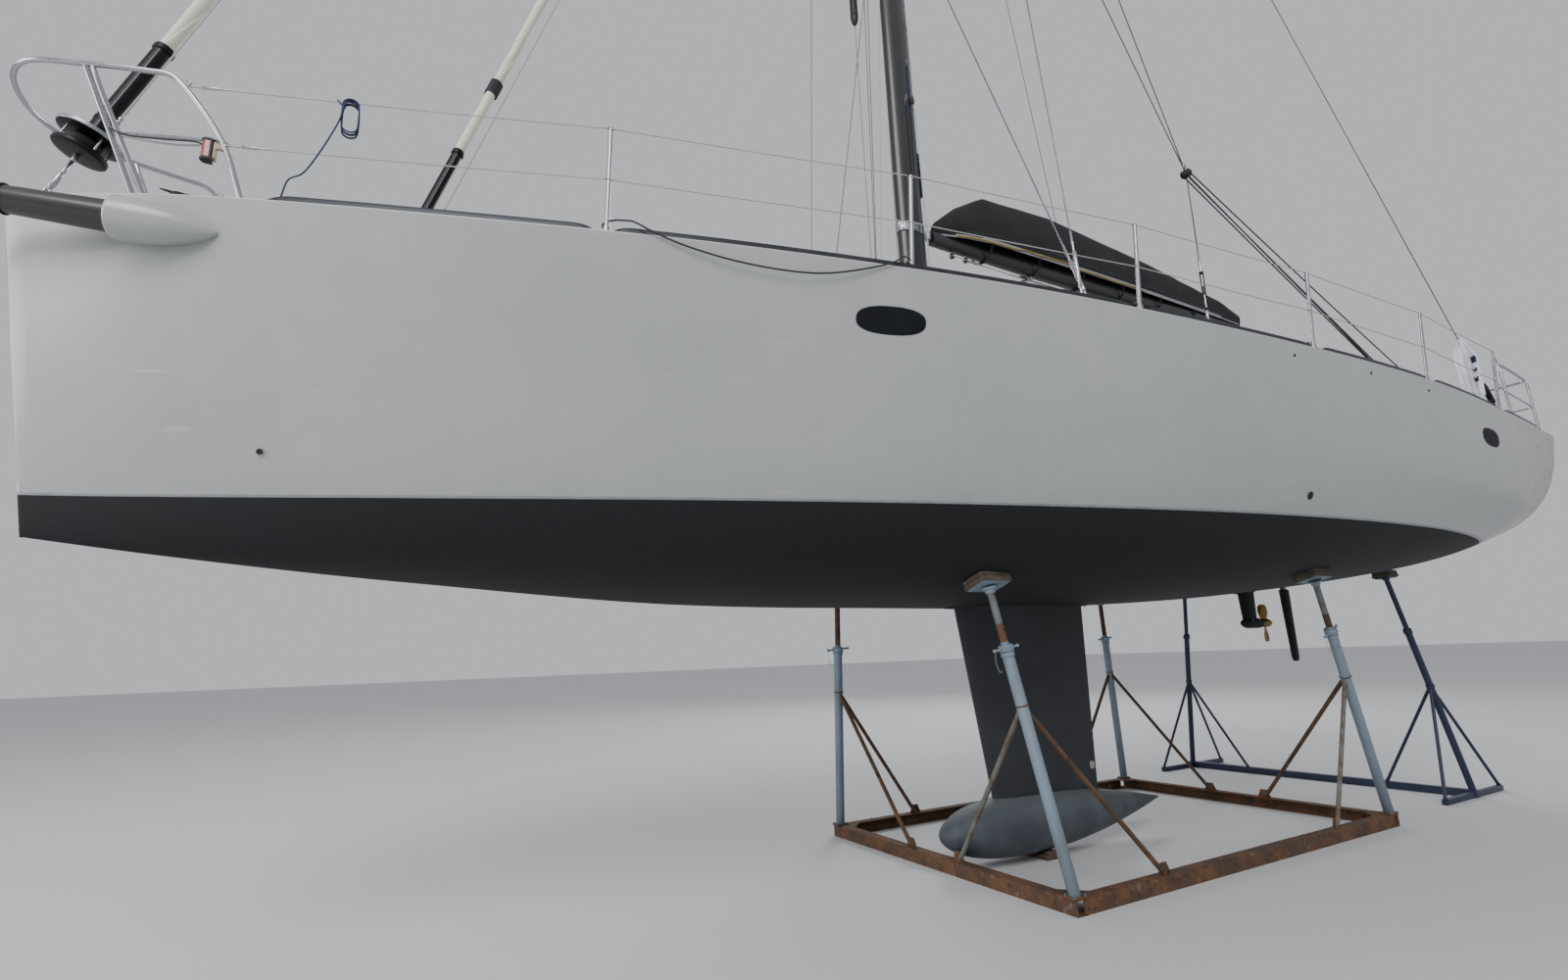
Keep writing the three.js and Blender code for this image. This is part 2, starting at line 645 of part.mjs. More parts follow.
// Oval section of the mast, or of a collar that stands out from it by extra
function mastRing(z, scale = 1, extra = 0) {
  const long = (scale * MAST_CHORD) / 2 + extra;
  const wide = (scale * MAST_WIDTH) / 2 + extra;
  return Array.from({ length: 16 }, (_, i) => {
    const turn = (i / 16) * 2 * Math.PI;
    return P(mastCentre + long * Math.cos(turn), wide * Math.sin(turn), z);
  });
}
const mastCollar = (z, half, extra) => loft([mastRing(z - half, 1, extra), mastRing(z + half, 1, extra)]);

const SPREADERS = [
  { name: "spreaders_lower", z: 9300, reach: 1330 },
  { name: "spreaders_upper", z: 14300, reach: 1050 },
];
for (const { name, z, reach } of SPREADERS) {
  let solid = mastCollar(z, 60, 14);
  for (const k of [1, -1]) {
    const wing = (y, chord, thick, dz) => {
      const s0 = mastCentre - chord / 2;
      const middle = z + dz;
      const edge = ([part, half], up) => P(s0 + part * chord, k * y, middle + (up * half * thick) / 2);
      const face = (up) => FOIL.map((row) => edge(row, up));
      return [...face(1), ...face(-1).reverse()];
    };
    solid = solid.add(loft([wing(60, 170, 52, 0), wing(reach, 90, 30, 40)]));
  }
  solid = solid.subtract(mastCollar(z, 100, TOUCH));
  piece(name, solid, carbon);
}

const CHAINPLATE = { s: 5560, y: 1700 };
const along = (a, b, distance) => new THREE.Vector3().subVectors(b, a).setLength(distance).add(a);
function buildShrouds() {
  const wire = 5;
  const { s, y } = CHAINPLATE;
  const foot = P(s, y, deckTop(s, y) - 6);
  const tips = SPREADERS.map(({ z, reach }) => P(mastCentre, reach + 16, z + 40));
  const mastSide = (z) => P(mastCentre, MAST_WIDTH / 2 + 12, z);
  const capFoot = above(foot, 45);
  const lowFoot = P(s + 60, y, foot.z + 45);
  const screws = [
    bar(capFoot, along(capFoot, tips[0], 420), 13, 8),
    bar(lowFoot, along(lowFoot, mastSide(9150), 420), 13, 8),
  ];
  return joined([
    block(s - 70, s + 110, y - 7, y + 7, foot.z, foot.z + 60),
    ...screws,
    ...tips.map((tip) => ball(tip, 15, 4)),
    bar(capFoot, tips[0], wire, 6),
    bar(tips[0], tips[1], wire, 6),
    bar(tips[1], mastSide(18900), wire, 6),
    bar(lowFoot, mastSide(9150), wire, 6),
    bar(tips[0], mastSide(14150), wire, 6),
  ]);
}
pair("shrouds", buildShrouds(), stainless, seated);

const stayTop = P(MAST_FRONT - 14, 0, FORESTAY_TOP_Z);
const stayFoot = P(FORESTAY_FOOT.s, 0, FORESTAY_FOOT.z);
const onStay = (d) => new THREE.Vector3().subVectors(stayTop, stayFoot).setLength(d).add(stayFoot);
const stayAxis = new THREE.Vector3().subVectors(stayTop, stayFoot).normalize();
const forestayRod = bar(onStay(-8), onStay(282), 11, 10);
piece("forestay_link", forestayRod.add(bar(onStay(20), onStay(150), 17, 10)), stainless);

// Furler: drum, sleeve and the rolled genoa
const DRUM = 283;
const FURLER_LENGTH = 15600;
piece(
  "genoa_furler",
  turned(
    [
      [0, 0], [92, 0], [118, 12], [118, 30], [64, 42], [64, 95], [146, 107], [146, 128], [80, 142], [44, 160],
      [44, 760], [40, 800], [40, 1500], [52, 2600], [66, 5200], [60, 9500], [40, 13500], [24, 15300],
      [16, FURLER_LENGTH], [0, FURLER_LENGTH],
    ],
    onStay(DRUM),
    stayAxis,
    12,
  ),
  sailWhite,
);

const innerTop = P(MAST_FRONT - 14, 0, INNER_STAY_TOP_Z);
const innerFoot = P(INNER_STAY_FOOT.s, 0, INNER_STAY_FOOT.z);
const innerAxis = new THREE.Vector3().subVectors(innerTop, innerFoot).normalize();
const onInner = (d) => innerAxis.clone().multiplyScalar(d).add(innerFoot);
const INNER_DRUM = 62;
const INNER_LENGTH = 11660;
const TANG_GAP = 14;
let mast = loft([mastRing(MAST_STEP_Z + TOUCH), mastRing(17000), mastRing(MAST_TOP_Z, 0.62)]);
mast = mast.add(bar(onStay(DRUM + FURLER_LENGTH + TANG_GAP), P(mastCentre, 0, stayTop.z + 60), 12));
mast = mast.add(bar(onInner(INNER_DRUM + INNER_LENGTH + TANG_GAP), P(mastCentre, 0, innerTop.z + 60), 12));
piece("mast", mast, carbon);
piece("inner_stay_link", seated(bar(onInner(-30), onInner(INNER_DRUM - 1), 12, 8)), stainless);
piece(
  "staysail_furler",
  turned(
    [
      [0, 0], [70, 0], [92, 10], [92, 24], [45, 34], [45, 78], [92, 88], [92, 102], [45, 118], [32, 130],
      [32, 900], [30, 930], [30, 1440], [46, 1450], [46, 1560], [30, 1570], [40, 3000], [52, 5200],
      [44, 8200], [20, 10900], [14, INNER_LENGTH], [0, INNER_LENGTH],
    ],
    onInner(INNER_DRUM),
    innerAxis,
    12,
  ),
  sailWhite,
);

// Running backstays and their tackles
const RUNNER = { plateS: 6600, tackleS: 8520, inset: 98, block: P(6640, 1880, 4880) };
// Block that stands on a point, as long and wide to each side of it as half lengths say
const deckBlock = (p, long, wide, high) =>
  block(BOW_X - p.x - long, BOW_X - p.x + long, p.y - wide, p.y + wide, p.z, p.z + high);
function buildRunner() {
  const onDeck = (s) => P(s, beamAt(s) - RUNNER.inset, deckTop(s, beamAt(s) - RUNNER.inset) - 6);
  const plate = onDeck(RUNNER.plateS);
  const tackleFoot = onDeck(RUNNER.tackleS);
  const eye = above(plate, 40);
  const mastSide = (z) => P(mastCentre + 60, MAST_WIDTH / 2 + 6, z);
  return joined([
    deckBlock(plate, 40, 6, 50),
    bar(eye, RUNNER.block, 4, 6),
    bar(eye, along(eye, RUNNER.block, 470), 14, 8),
    ball(RUNNER.block, 42, 8),
    bar(RUNNER.block, mastSide(14650), 4, 6),
    bar(RUNNER.block, mastSide(18700), 4, 6),
    bar(RUNNER.block, above(tackleFoot, 30), 9, 6),
    deckBlock(tackleFoot, 40, 20, 60),
  ]);
}
pair("runner", buildRunner(), carbon, seated);

const BACKSTAY = { s: 10700, inset: 42, radius: 4 };
const backstayY = beamAt(BACKSTAY.s) - BACKSTAY.inset;
const backstayEye = P(BACKSTAY.s, backstayY, deckTop(BACKSTAY.s, backstayY) + 24);
const backstayTop = P(mastCentre + 90, 40, 20480);
function buildBackstay() {
  const { s } = BACKSTAY;
  return joined([
    block(s - 45, s + 45, backstayY - 18, backstayY + 18, backstayEye.z - 30, backstayEye.z + 15),
    bar(backstayEye, along(backstayEye, backstayTop, 260), 24, 8),
    bar(backstayEye, backstayTop, BACKSTAY.radius, 6),
  ]);
}
pair("backstay", buildBackstay(), carbon, seated);

// Boom, its cover and the strut under it, all turning about the gooseneck
const PIVOT_RADIUS = 29.5;
const VANG_FOOT_Z = 4350;
const BOOM_S0 = GOOSENECK.s + PIVOT_RADIUS + 0.5;
function buildBoom() {
  const BOOM = [
    { s: BOOM_S0, half: 55, height: 80 },
    { s: 7200, half: 75, height: 105 },
    { s: 9800, half: 75, height: 100 },
    { s: BOOM_END_S, half: 60, height: 70 },
  ];
  const ring = ({ s, half, height }, grow = 0) => {
    const z = GOOSENECK.z;
    const side = half + grow;
    const top = z + height * 0.6 + grow;
    const bottom = z - height - grow;
    return [
      P(s, side * 0.6, bottom), P(s, side, z - height * 0.5), P(s, side, top), P(s, -side, top),
      P(s, -side, z - height * 0.5), P(s, -side * 0.6, bottom),
    ];
  };
  const tube = loft(BOOM.map((row) => ring(row)));
  const around = loft(BOOM.map((row) => ring(row, TOUCH)));
  piece("boom", tube, carbon);
  const columns = [
    [5900, 20, 40, 95], [6180, 60, 110, 330], [6480, 80, 150, 505], [7340, 95, 150, 530],
    [8800, 95, 130, 395], [10100, 80, 90, 235], [10500, 60, 70, 140],
  ];
  const cover = loft(
    columns.map(([s, topHalf, half, height]) => {
      const z = GOOSENECK.z + 40;
      const side = [[half, z], [half + 10, z + height * 0.4], [topHalf, z + height - 35]];
      return [
        ...side.map(([y, h]) => P(s, y, h)),
        P(s, 0, z + height),
        ...side.reverse().map(([y, h]) => P(s, -y, h)),
      ];
    }),
  );
  piece("boom_cover", cover.subtract(around), coverBlack);
  const foot = block(BOOM_S0, BOOM_S0 + 60, -14, 14, VANG_FOOT_Z - 25, VANG_FOOT_Z + 25);
  const strut = bar(P(BOOM_S0 + 40, 0, VANG_FOOT_Z), P(7140, 0, GOOSENECK.z - 90), 32, 10, 26);
  piece("vang", foot.add(strut).subtract(around), carbon);
}
buildBoom();

function buildGooseneck() {
  for (const [name, z] of [["gooseneck", GOOSENECK.z], ["vang_bracket", VANG_FOOT_Z]]) {
    const collar = mastCollar(z, 45, 12).subtract(mastCollar(z, 60, TOUCH));
    const arm = block(MAST_FRONT + MAST_CHORD - 4, GOOSENECK.s, -14, 14, z - 35, z + 35);
    const pin = bar(P(GOOSENECK.s, 0, z - 40), P(GOOSENECK.s, 0, z + 40), PIVOT_RADIUS, 20);
    piece(name, collar.add(arm.subtract(mastCollar(z, 90, TOUCH))).add(pin), alloy);
  }
}
buildGooseneck();

// Deck gear
const WINCH = [[0, 0], [95, 0], [95, 60], [70, 80], [62, 130], [74, 170], [74, 192], [0, 200]];
const winch = (s, y, z) => turned(WINCH, P(s, y, z), new THREE.Vector3(0, 0, 1), 14);
const roofAbove = moved(coachroof, 0, 0, TOUCH);
pair("winch_primary", winch(9900, 1450, deckTop(9900, 1450) - 25), alloy, seated);
pair("winch_roof", winch(8000, 720, roofTop(8000) - 62), alloy, (side) => side.subtract(roofAbove));
const NAV_LIGHT = { s0: 795, s1: 860, y: 478, half: 30, z0: 4035, z1: 4152 };
for (const [name, k, material] of [["port", 1, redLamp], ["stbd", -1, greenLamp]]) {
  const { s0, s1, y, half, z0, z1 } = NAV_LIGHT;
  const lamp = block(s0, s1, k * y - half, k * y + half, z0, z1);
  piece(`nav_light_${name}`, lamp.subtract(pulpit).subtract(moved(pulpit, 0, 0, -TOUCH)), material);
}

// Hatches
{
  const h = FORE_HATCH;
  const z = h.z + TOUCH;
  piece("fore_hatch", block(h.s - h.half, h.s + h.half, -h.half, h.half, z, z + 34), smokedGlass);
  const r = ROOF_HATCH;
  const zr = roofTop(r.s) + r.z + TOUCH;
  piece("roof_hatch", block(r.s - r.half, r.s + r.half, -r.half, r.half, zr, zr + 30), smokedGlass);
  const c = COMPANIONWAY;
  const lid = block(c.s0 - 20, c.s1 - 30, -c.half - 45, c.half + 45, SLIDE_Z + TOUCH, SLIDE_Z + 36);
  piece("companion_slide", lid, smokedGlass);
  const fit = c.half - TOUCH;
  piece("washboard", block(c.s1 - 55, c.s1 - 25, -fit, fit, c.z0 + TOUCH, SLIDE_Z - 6), smokedGlass);
}

// Steering
const WHEEL = { s: 10980, y: 700, z: 3620, radius: 400, rim: 14, hub: 45, spokes: 5 };
function buildWheel() {
  const { s, y, z, radius } = WHEEL;
  const ring = new THREE.TorusGeometry(radius, WHEEL.rim, 6, 28);
  ring.rotateY(Math.PI / 2);
  ring.translate(BOW_X - s, y, z);
  const parts = [toSolid(ring), bar(P(s - 25, y, z), P(s + 30, y, z), WHEEL.hub, 12)];
  for (let i = 0; i < WHEEL.spokes; i++) {
    const turn = (i / WHEEL.spokes) * 2 * Math.PI + 0.3;
    const reach = radius - 2;
    parts.push(bar(P(s, y, z), P(s, y + reach * Math.cos(turn), z + reach * Math.sin(turn)), 9, 6));
  }
  return joined(parts);
}
function buildPedestal() {
  const { s, y, z } = WHEEL;
  const post = block(s - 190, s - 50, y - 110, y + 110, COCKPIT.soleZ + TOUCH, z + 80);
  return post.add(bar(P(s - 60, y, z), P(s - 25 - TOUCH, y, z), 30, 12));
}
pair("wheel", buildWheel(), stainless);
pair("pedestal", buildPedestal(), deckGrey);

function buildRudder() {
  const stock = RUDDER_STOCK;
  const top = 2100;
  const rings = [
    foilRing(stock.s - 95, 430, 92, top),
    foilRing(stock.s - 80, 330, 70, 1400),
    foilRing(stock.s - 55, 250, 45, 1340),
  ];
  let solid = loft(rings).add(bar(P(stock.s, 0, 2000), P(stock.s, 0, 2440), stock.radius, 20));
  const geometry = toGeometry(solid);
  const turn = new THREE.Matrix4().makeRotationZ(THREE.MathUtils.degToRad(RUDDER_HELM));
  geometry.translate(-(BOW_X - stock.s), 0, 0);
  geometry.applyMatrix4(turn);
  geometry.translate(BOW_X - stock.s, 0, 0);
  piece("rudder", toSolid(geometry), antifouling);
}
buildRudder();

const SHAFT_Z = 1750; // height of the propeller shaft

function buildDrive() {
  const leg = loft([foilRing(9660, 300, 100, 2300), foilRing(9700, 220, 84, 1760)]).subtract(hullBelow);
  const aft = new THREE.Vector3(-1, 0, 0);
  const torpedo = [[0, 0], [30, 20], [52, 90], [52, 290], [36, 350], [0, 350]];
  const body = turned(torpedo, P(9640, 0, SHAFT_Z), aft, 14);
  piece("saildrive", leg.add(body).add(bar(P(9985, 0, SHAFT_Z), P(10028, 0, SHAFT_Z), 14, 10)), antifouling);
  const hub = turned([[0, 0], [40, 4], [44, 90], [0, 130]], P(9998, 0, SHAFT_Z), aft, 14);
  let prop = hub;
  for (let i = 0; i < 2; i++) {
    const a = i * Math.PI + Math.PI / 2;
    const dir = new THREE.Vector3(0, Math.cos(a), Math.sin(a));
    const ring = (r, chord, pitch) => {
      const mid = P(10045, 0, SHAFT_Z).addScaledVector(dir, r);
      const flat = Math.cos(pitch);
      const across = new THREE.Vector3(Math.sin(pitch), -Math.sin(a) * flat, Math.cos(a) * flat);
      const thick = new THREE.Vector3().crossVectors(across, dir).normalize();
      const corner = (u, v) => mid.clone().addScaledVector(across, u * chord).addScaledVector(thick, v);
      return [corner(-0.5, 0), corner(0, 5), corner(0.5, 0), corner(0, -5)];
    };
    prop = prop.add(loft([ring(28, 46, 0.9), ring(120, 92, 0.6), ring(195, 50, 0.45)]));
  }
  prop = prop.subtract(bar(P(9900, 0, SHAFT_Z), P(10030, 0, SHAFT_Z), 15, 10));
  piece("propeller", prop, bronze);
}
buildDrive();

// Pad of a prop, turned to the slope of the hull bottom above it and cut to it
function hullPad(head, along, across, thick, lift) {
  const s = BOW_X - head.x;
  const y = Math.abs(head.y);
  const reach = 60;
  const slope = Math.atan2(bottomAt(s, y + reach) - bottomAt(s, y - reach), 2 * reach);
  const pad = new THREE.BoxGeometry(along, across, thick);
  pad.rotateX(Math.sign(head.y) * slope);
  pad.translate(head.x, head.y, head.z + lift);
  return toSolid(pad);
}

// Cradle: a channel frame on the ground, four propped legs with pads under the hull, and braces
function buildCradle() {
  const { s0, s1, y0, y1, beam, web } = CRADLE;
  const edge = web / 2;
  const parts = [
    block(s0, s0 + web, y0, y1, 0, beam),
    block(s1 - web, s1, y0, y1, 0, beam),
    block(s0, s1, y1 - web, y1, 0, beam),
    block(s0, s1, y0, y0 + web, 0, beam),
  ];
  const legs = [
    { name: "fore_port", s: s0 + edge, y: y1 - edge, padS: 5250, padY: 940 },
    { name: "fore_stbd", s: s0 + edge, y: y0 + edge, padS: 5400, padY: -1130 },
    { name: "aft_port", s: s1 - edge, y: y1 - edge, padS: 8500, padY: 1310 },
    { name: "aft_stbd", s: s1 - edge, y: y0 + edge, padS: 9200, padY: -1350 },
  ];
  const collarPart = 0.78;
  const bracePart = 0.6;
  for (const leg of legs) {
    const foot = P(leg.s, leg.y, beam - 10);
    const head = P(leg.padS, leg.padY, bottomAt(leg.padS, Math.abs(leg.padY)) - 75);
    const joint = new THREE.Vector3().lerpVectors(foot, head, collarPart);
    const low = new THREE.Vector3().lerpVectors(foot, head, bracePart);
    const inward = -Math.sign(leg.y);
    const toMiddle = leg.s < (s0 + s1) / 2 ? 1 : -1;
    parts.push(bar(foot, joint, 38, 12));
    parts.push(bar(low, P(leg.s, leg.y + inward * 1030, beam - 12), 18, 8));
    parts.push(bar(low, P(leg.s + toMiddle * 850, leg.y, beam - 12), 18, 8));
    const start = along(joint, head, 1);
    const screw = joined([
      bar(start, head, 24, 10),
      hullPad(head, 260, 190, 90, 40),
      bar(start, along(joint, head, 45), 48, 12),
    ]);
    piece(`prop_${leg.name}`, screw.subtract(hullBelow), galvanised);
  }
  piece("cradle", joined(parts), rustySteel);
}
buildCradle();

// Stand under the stern: a cross beam, a runner and a braced leg at each end of it
function buildStand() {
  const { s, y0, y1, tube, runner } = STAND;
  const edge = tube / 2 + 1;
  const parts = [block(s - edge, s + edge, y0 - edge, y1 + edge, 0, tube)];
  const legs = [
    { y: y1, inward: -1, padS: 10750, padY: 880 },
    { y: y0, inward: 1, padS: 10750, padY: -1300 },
  ];
  for (const leg of legs) {
    const foot = P(s, leg.y, tube - 8);
    const head = P(leg.padS, leg.padY, bottomAt(leg.padS, Math.abs(leg.padY)) - 60);
    const low = new THREE.Vector3().lerpVectors(foot, head, 0.48);
    parts.push(bar(foot, head, 30, 10));
    parts.push(block(s - runner, s + runner, leg.y - 25, leg.y + 25, 0, 50));
    parts.push(bar(low, P(s, leg.y + leg.inward * 720, tube - 8), 16, 8));
    parts.push(bar(low, P(s - runner + 20, leg.y, 40), 16, 8));
    parts.push(bar(low, P(s + runner - 20, leg.y, 40), 16, 8));
    parts.push(hullPad(head, 200, 160, 80, 32).subtract(hullBelow));
  }
  piece("stern_stand", joined(parts), standBlue);
}
buildStand();

// Soft pieces
{
  // Furling line sagging outside the port sheer from the stanchion fairlead aft
  const route = [
    [2638, -54, 90], [2681, -32, 90], [2746, -6, 78], [2816, 14, 30], [2980, 12, -35], [3270, 12, -100],
    [3600, 12, -120], [3790, 12, -100], [4080, 12, -14], [4176, 14, 30], [4228, -4, 76], [4272, -30, 90],
    [4315, -54, 90],
  ].map(([s, out, up]) => P(s, beamAt(s) + out, sheerAt(s) + up));
  let line = hose(route, 5, 8, 32);
  for (const s of STANCHIONS.slice(0, 2)) {
    const foot = stanchionFoot(s);
    line = line.subtract(bar(foot, onStanchion(foot, 0.6), STANCHION_RADIUS + TOUCH + 0.03));
  }
  piece("furling_line", line, ropeDark);
  const hank = new THREE.Shape();
  hank.absellipse(0, 0, 48, 105, 0, 2 * Math.PI);
  const body = new THREE.ExtrudeGeometry(hank, { depth: 60, bevelEnabled: false, curveSegments: 10 });
  const at = P(HANK_S, 764, 4292);
  body.rotateX(Math.PI / 2);
  body.translate(...at.toArray());
  piece("rope_hank", toSolid(body).subtract(lifelines).subtract(moved(lifelines, 0, 0, -TOUCH)), ropeBlue);
  const stay = bar(backstayEye, backstayTop, BACKSTAY.radius + TOUCH + 0.1, 6);
  piece("ensign", block(10330, 10540, 1962, 1984, 3750, 4214).subtract(stay), flagCloth);
}

export default yacht;
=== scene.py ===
import math

import bmesh
import bpy
import numpy as np
from mathutils import Matrix, Vector


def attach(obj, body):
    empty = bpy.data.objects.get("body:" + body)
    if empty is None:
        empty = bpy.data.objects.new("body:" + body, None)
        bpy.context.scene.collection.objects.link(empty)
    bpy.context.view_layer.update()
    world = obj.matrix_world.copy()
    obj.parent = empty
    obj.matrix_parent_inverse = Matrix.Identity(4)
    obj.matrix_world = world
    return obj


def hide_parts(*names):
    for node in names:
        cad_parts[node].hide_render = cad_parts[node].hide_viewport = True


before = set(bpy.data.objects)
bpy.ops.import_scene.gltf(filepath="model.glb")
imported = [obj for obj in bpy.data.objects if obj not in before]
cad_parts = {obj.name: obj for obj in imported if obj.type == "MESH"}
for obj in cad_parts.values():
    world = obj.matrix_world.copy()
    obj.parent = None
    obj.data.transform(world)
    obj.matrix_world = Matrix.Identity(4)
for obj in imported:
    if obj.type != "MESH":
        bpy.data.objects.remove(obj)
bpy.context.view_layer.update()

# Places are given in millimetres: s aft of the stem, y to port, z up from the ground
bowX = 5800
forward, aftward = Vector((1, 0, 0)), Vector((-1, 0, 0))
toPort, upward = Vector((0, 1, 0)), Vector((0, 0, 1))


def at(s, y, z):
    return Vector(((bowX - s) / 1000, y / 1000, z / 1000))


# Camera: low on the port bow, as in the photograph; metres, degrees, and mm for the lens and its sensor
view = {"place": (4.126, 4.616, 1.558), "yaw": 29.26, "pitch": 12.73, "roll": -2.14, "lens": 17.206,
        "sensor": 36, "farthest": 400}


def addCamera():
    yaw, pitch, roll = (math.radians(view[k]) for k in ("yaw", "pitch", "roll"))
    ahead = Vector((-math.sin(yaw) * math.cos(pitch), -math.cos(yaw) * math.cos(pitch), math.sin(pitch)))
    right = ahead.cross(upward).normalized()
    up = right.cross(ahead)
    right, up = math.cos(roll) * right + math.sin(roll) * up, math.cos(roll) * up - math.sin(roll) * right
    data = bpy.data.cameras.new("photographView")
    data.sensor_width = view["sensor"]
    data.lens = view["lens"]
    data.clip_end = view["farthest"]
    camera = bpy.data.objects.new("photographView", data)
    bpy.context.scene.collection.objects.link(camera)
    turn = Matrix((right, up, -ahead)).transposed().to_4x4()
    camera.matrix_world = Matrix.Translation(view["place"]) @ turn
    bpy.context.scene.camera = camera


addCamera()

# Node helpers


def linear(hexColour):
    parts = [int(hexColour[i:i + 2], 16) / 255 for i in (0, 2, 4)]
    return tuple(c / 12.92 if c <= 0.04045 else ((c + 0.055) / 1.055) ** 2.4 for c in parts) + (1.0,)


def node(tree, kind, inputs=(), **settings):
    made = tree.nodes.new(kind)
    for name, value in settings.items():
        setattr(made, name, value)
    for name, value in dict(inputs).items():
        if isinstance(value, bpy.types.NodeSocket):
            tree.links.new(value, made.inputs[name])
        else:
            made.inputs[name].default_value = value
    return made


def output(tree, kind, inputs=(), **settings):
    return node(tree, kind, inputs, **settings).outputs[0]


def calc(tree, operation, *values):
    return output(tree, "ShaderNodeMath", dict(enumerate(values)), operation=operation)


# Finishes
# Each layer is a pattern with its real size in mm. It may tint the colour, shift the roughness or raise
# the surface by so many mm.
def patches(mm, tint, amount, low=0.4, high=0.7, **more):
    return dict(mm=mm, low=low, high=high, tint=tint, amount=amount, **more)


def grain(mm, height):
    return dict(mm=mm, height=height)


def threads(mm, turn, height, **more):
    return dict(tex="Wave", mm=mm, turn=turn, height=height, **more)


def braid(base, tint):
    crossing = threads(6, -32, 0.5, low=0.5, high=0.9, tint=tint, amount=0.6)
    return dict(base=base, rough=0.86, sheen=0.1, uv=True, layers=[threads(6, 32, 0.5), crossing])


def lens(base, tint):
    return dict(base=base, rough=0.1, coat=0.8, layers=[dict(tex="Wave", mm=7, height=0.4, tint=tint,
            amount=0.5)])


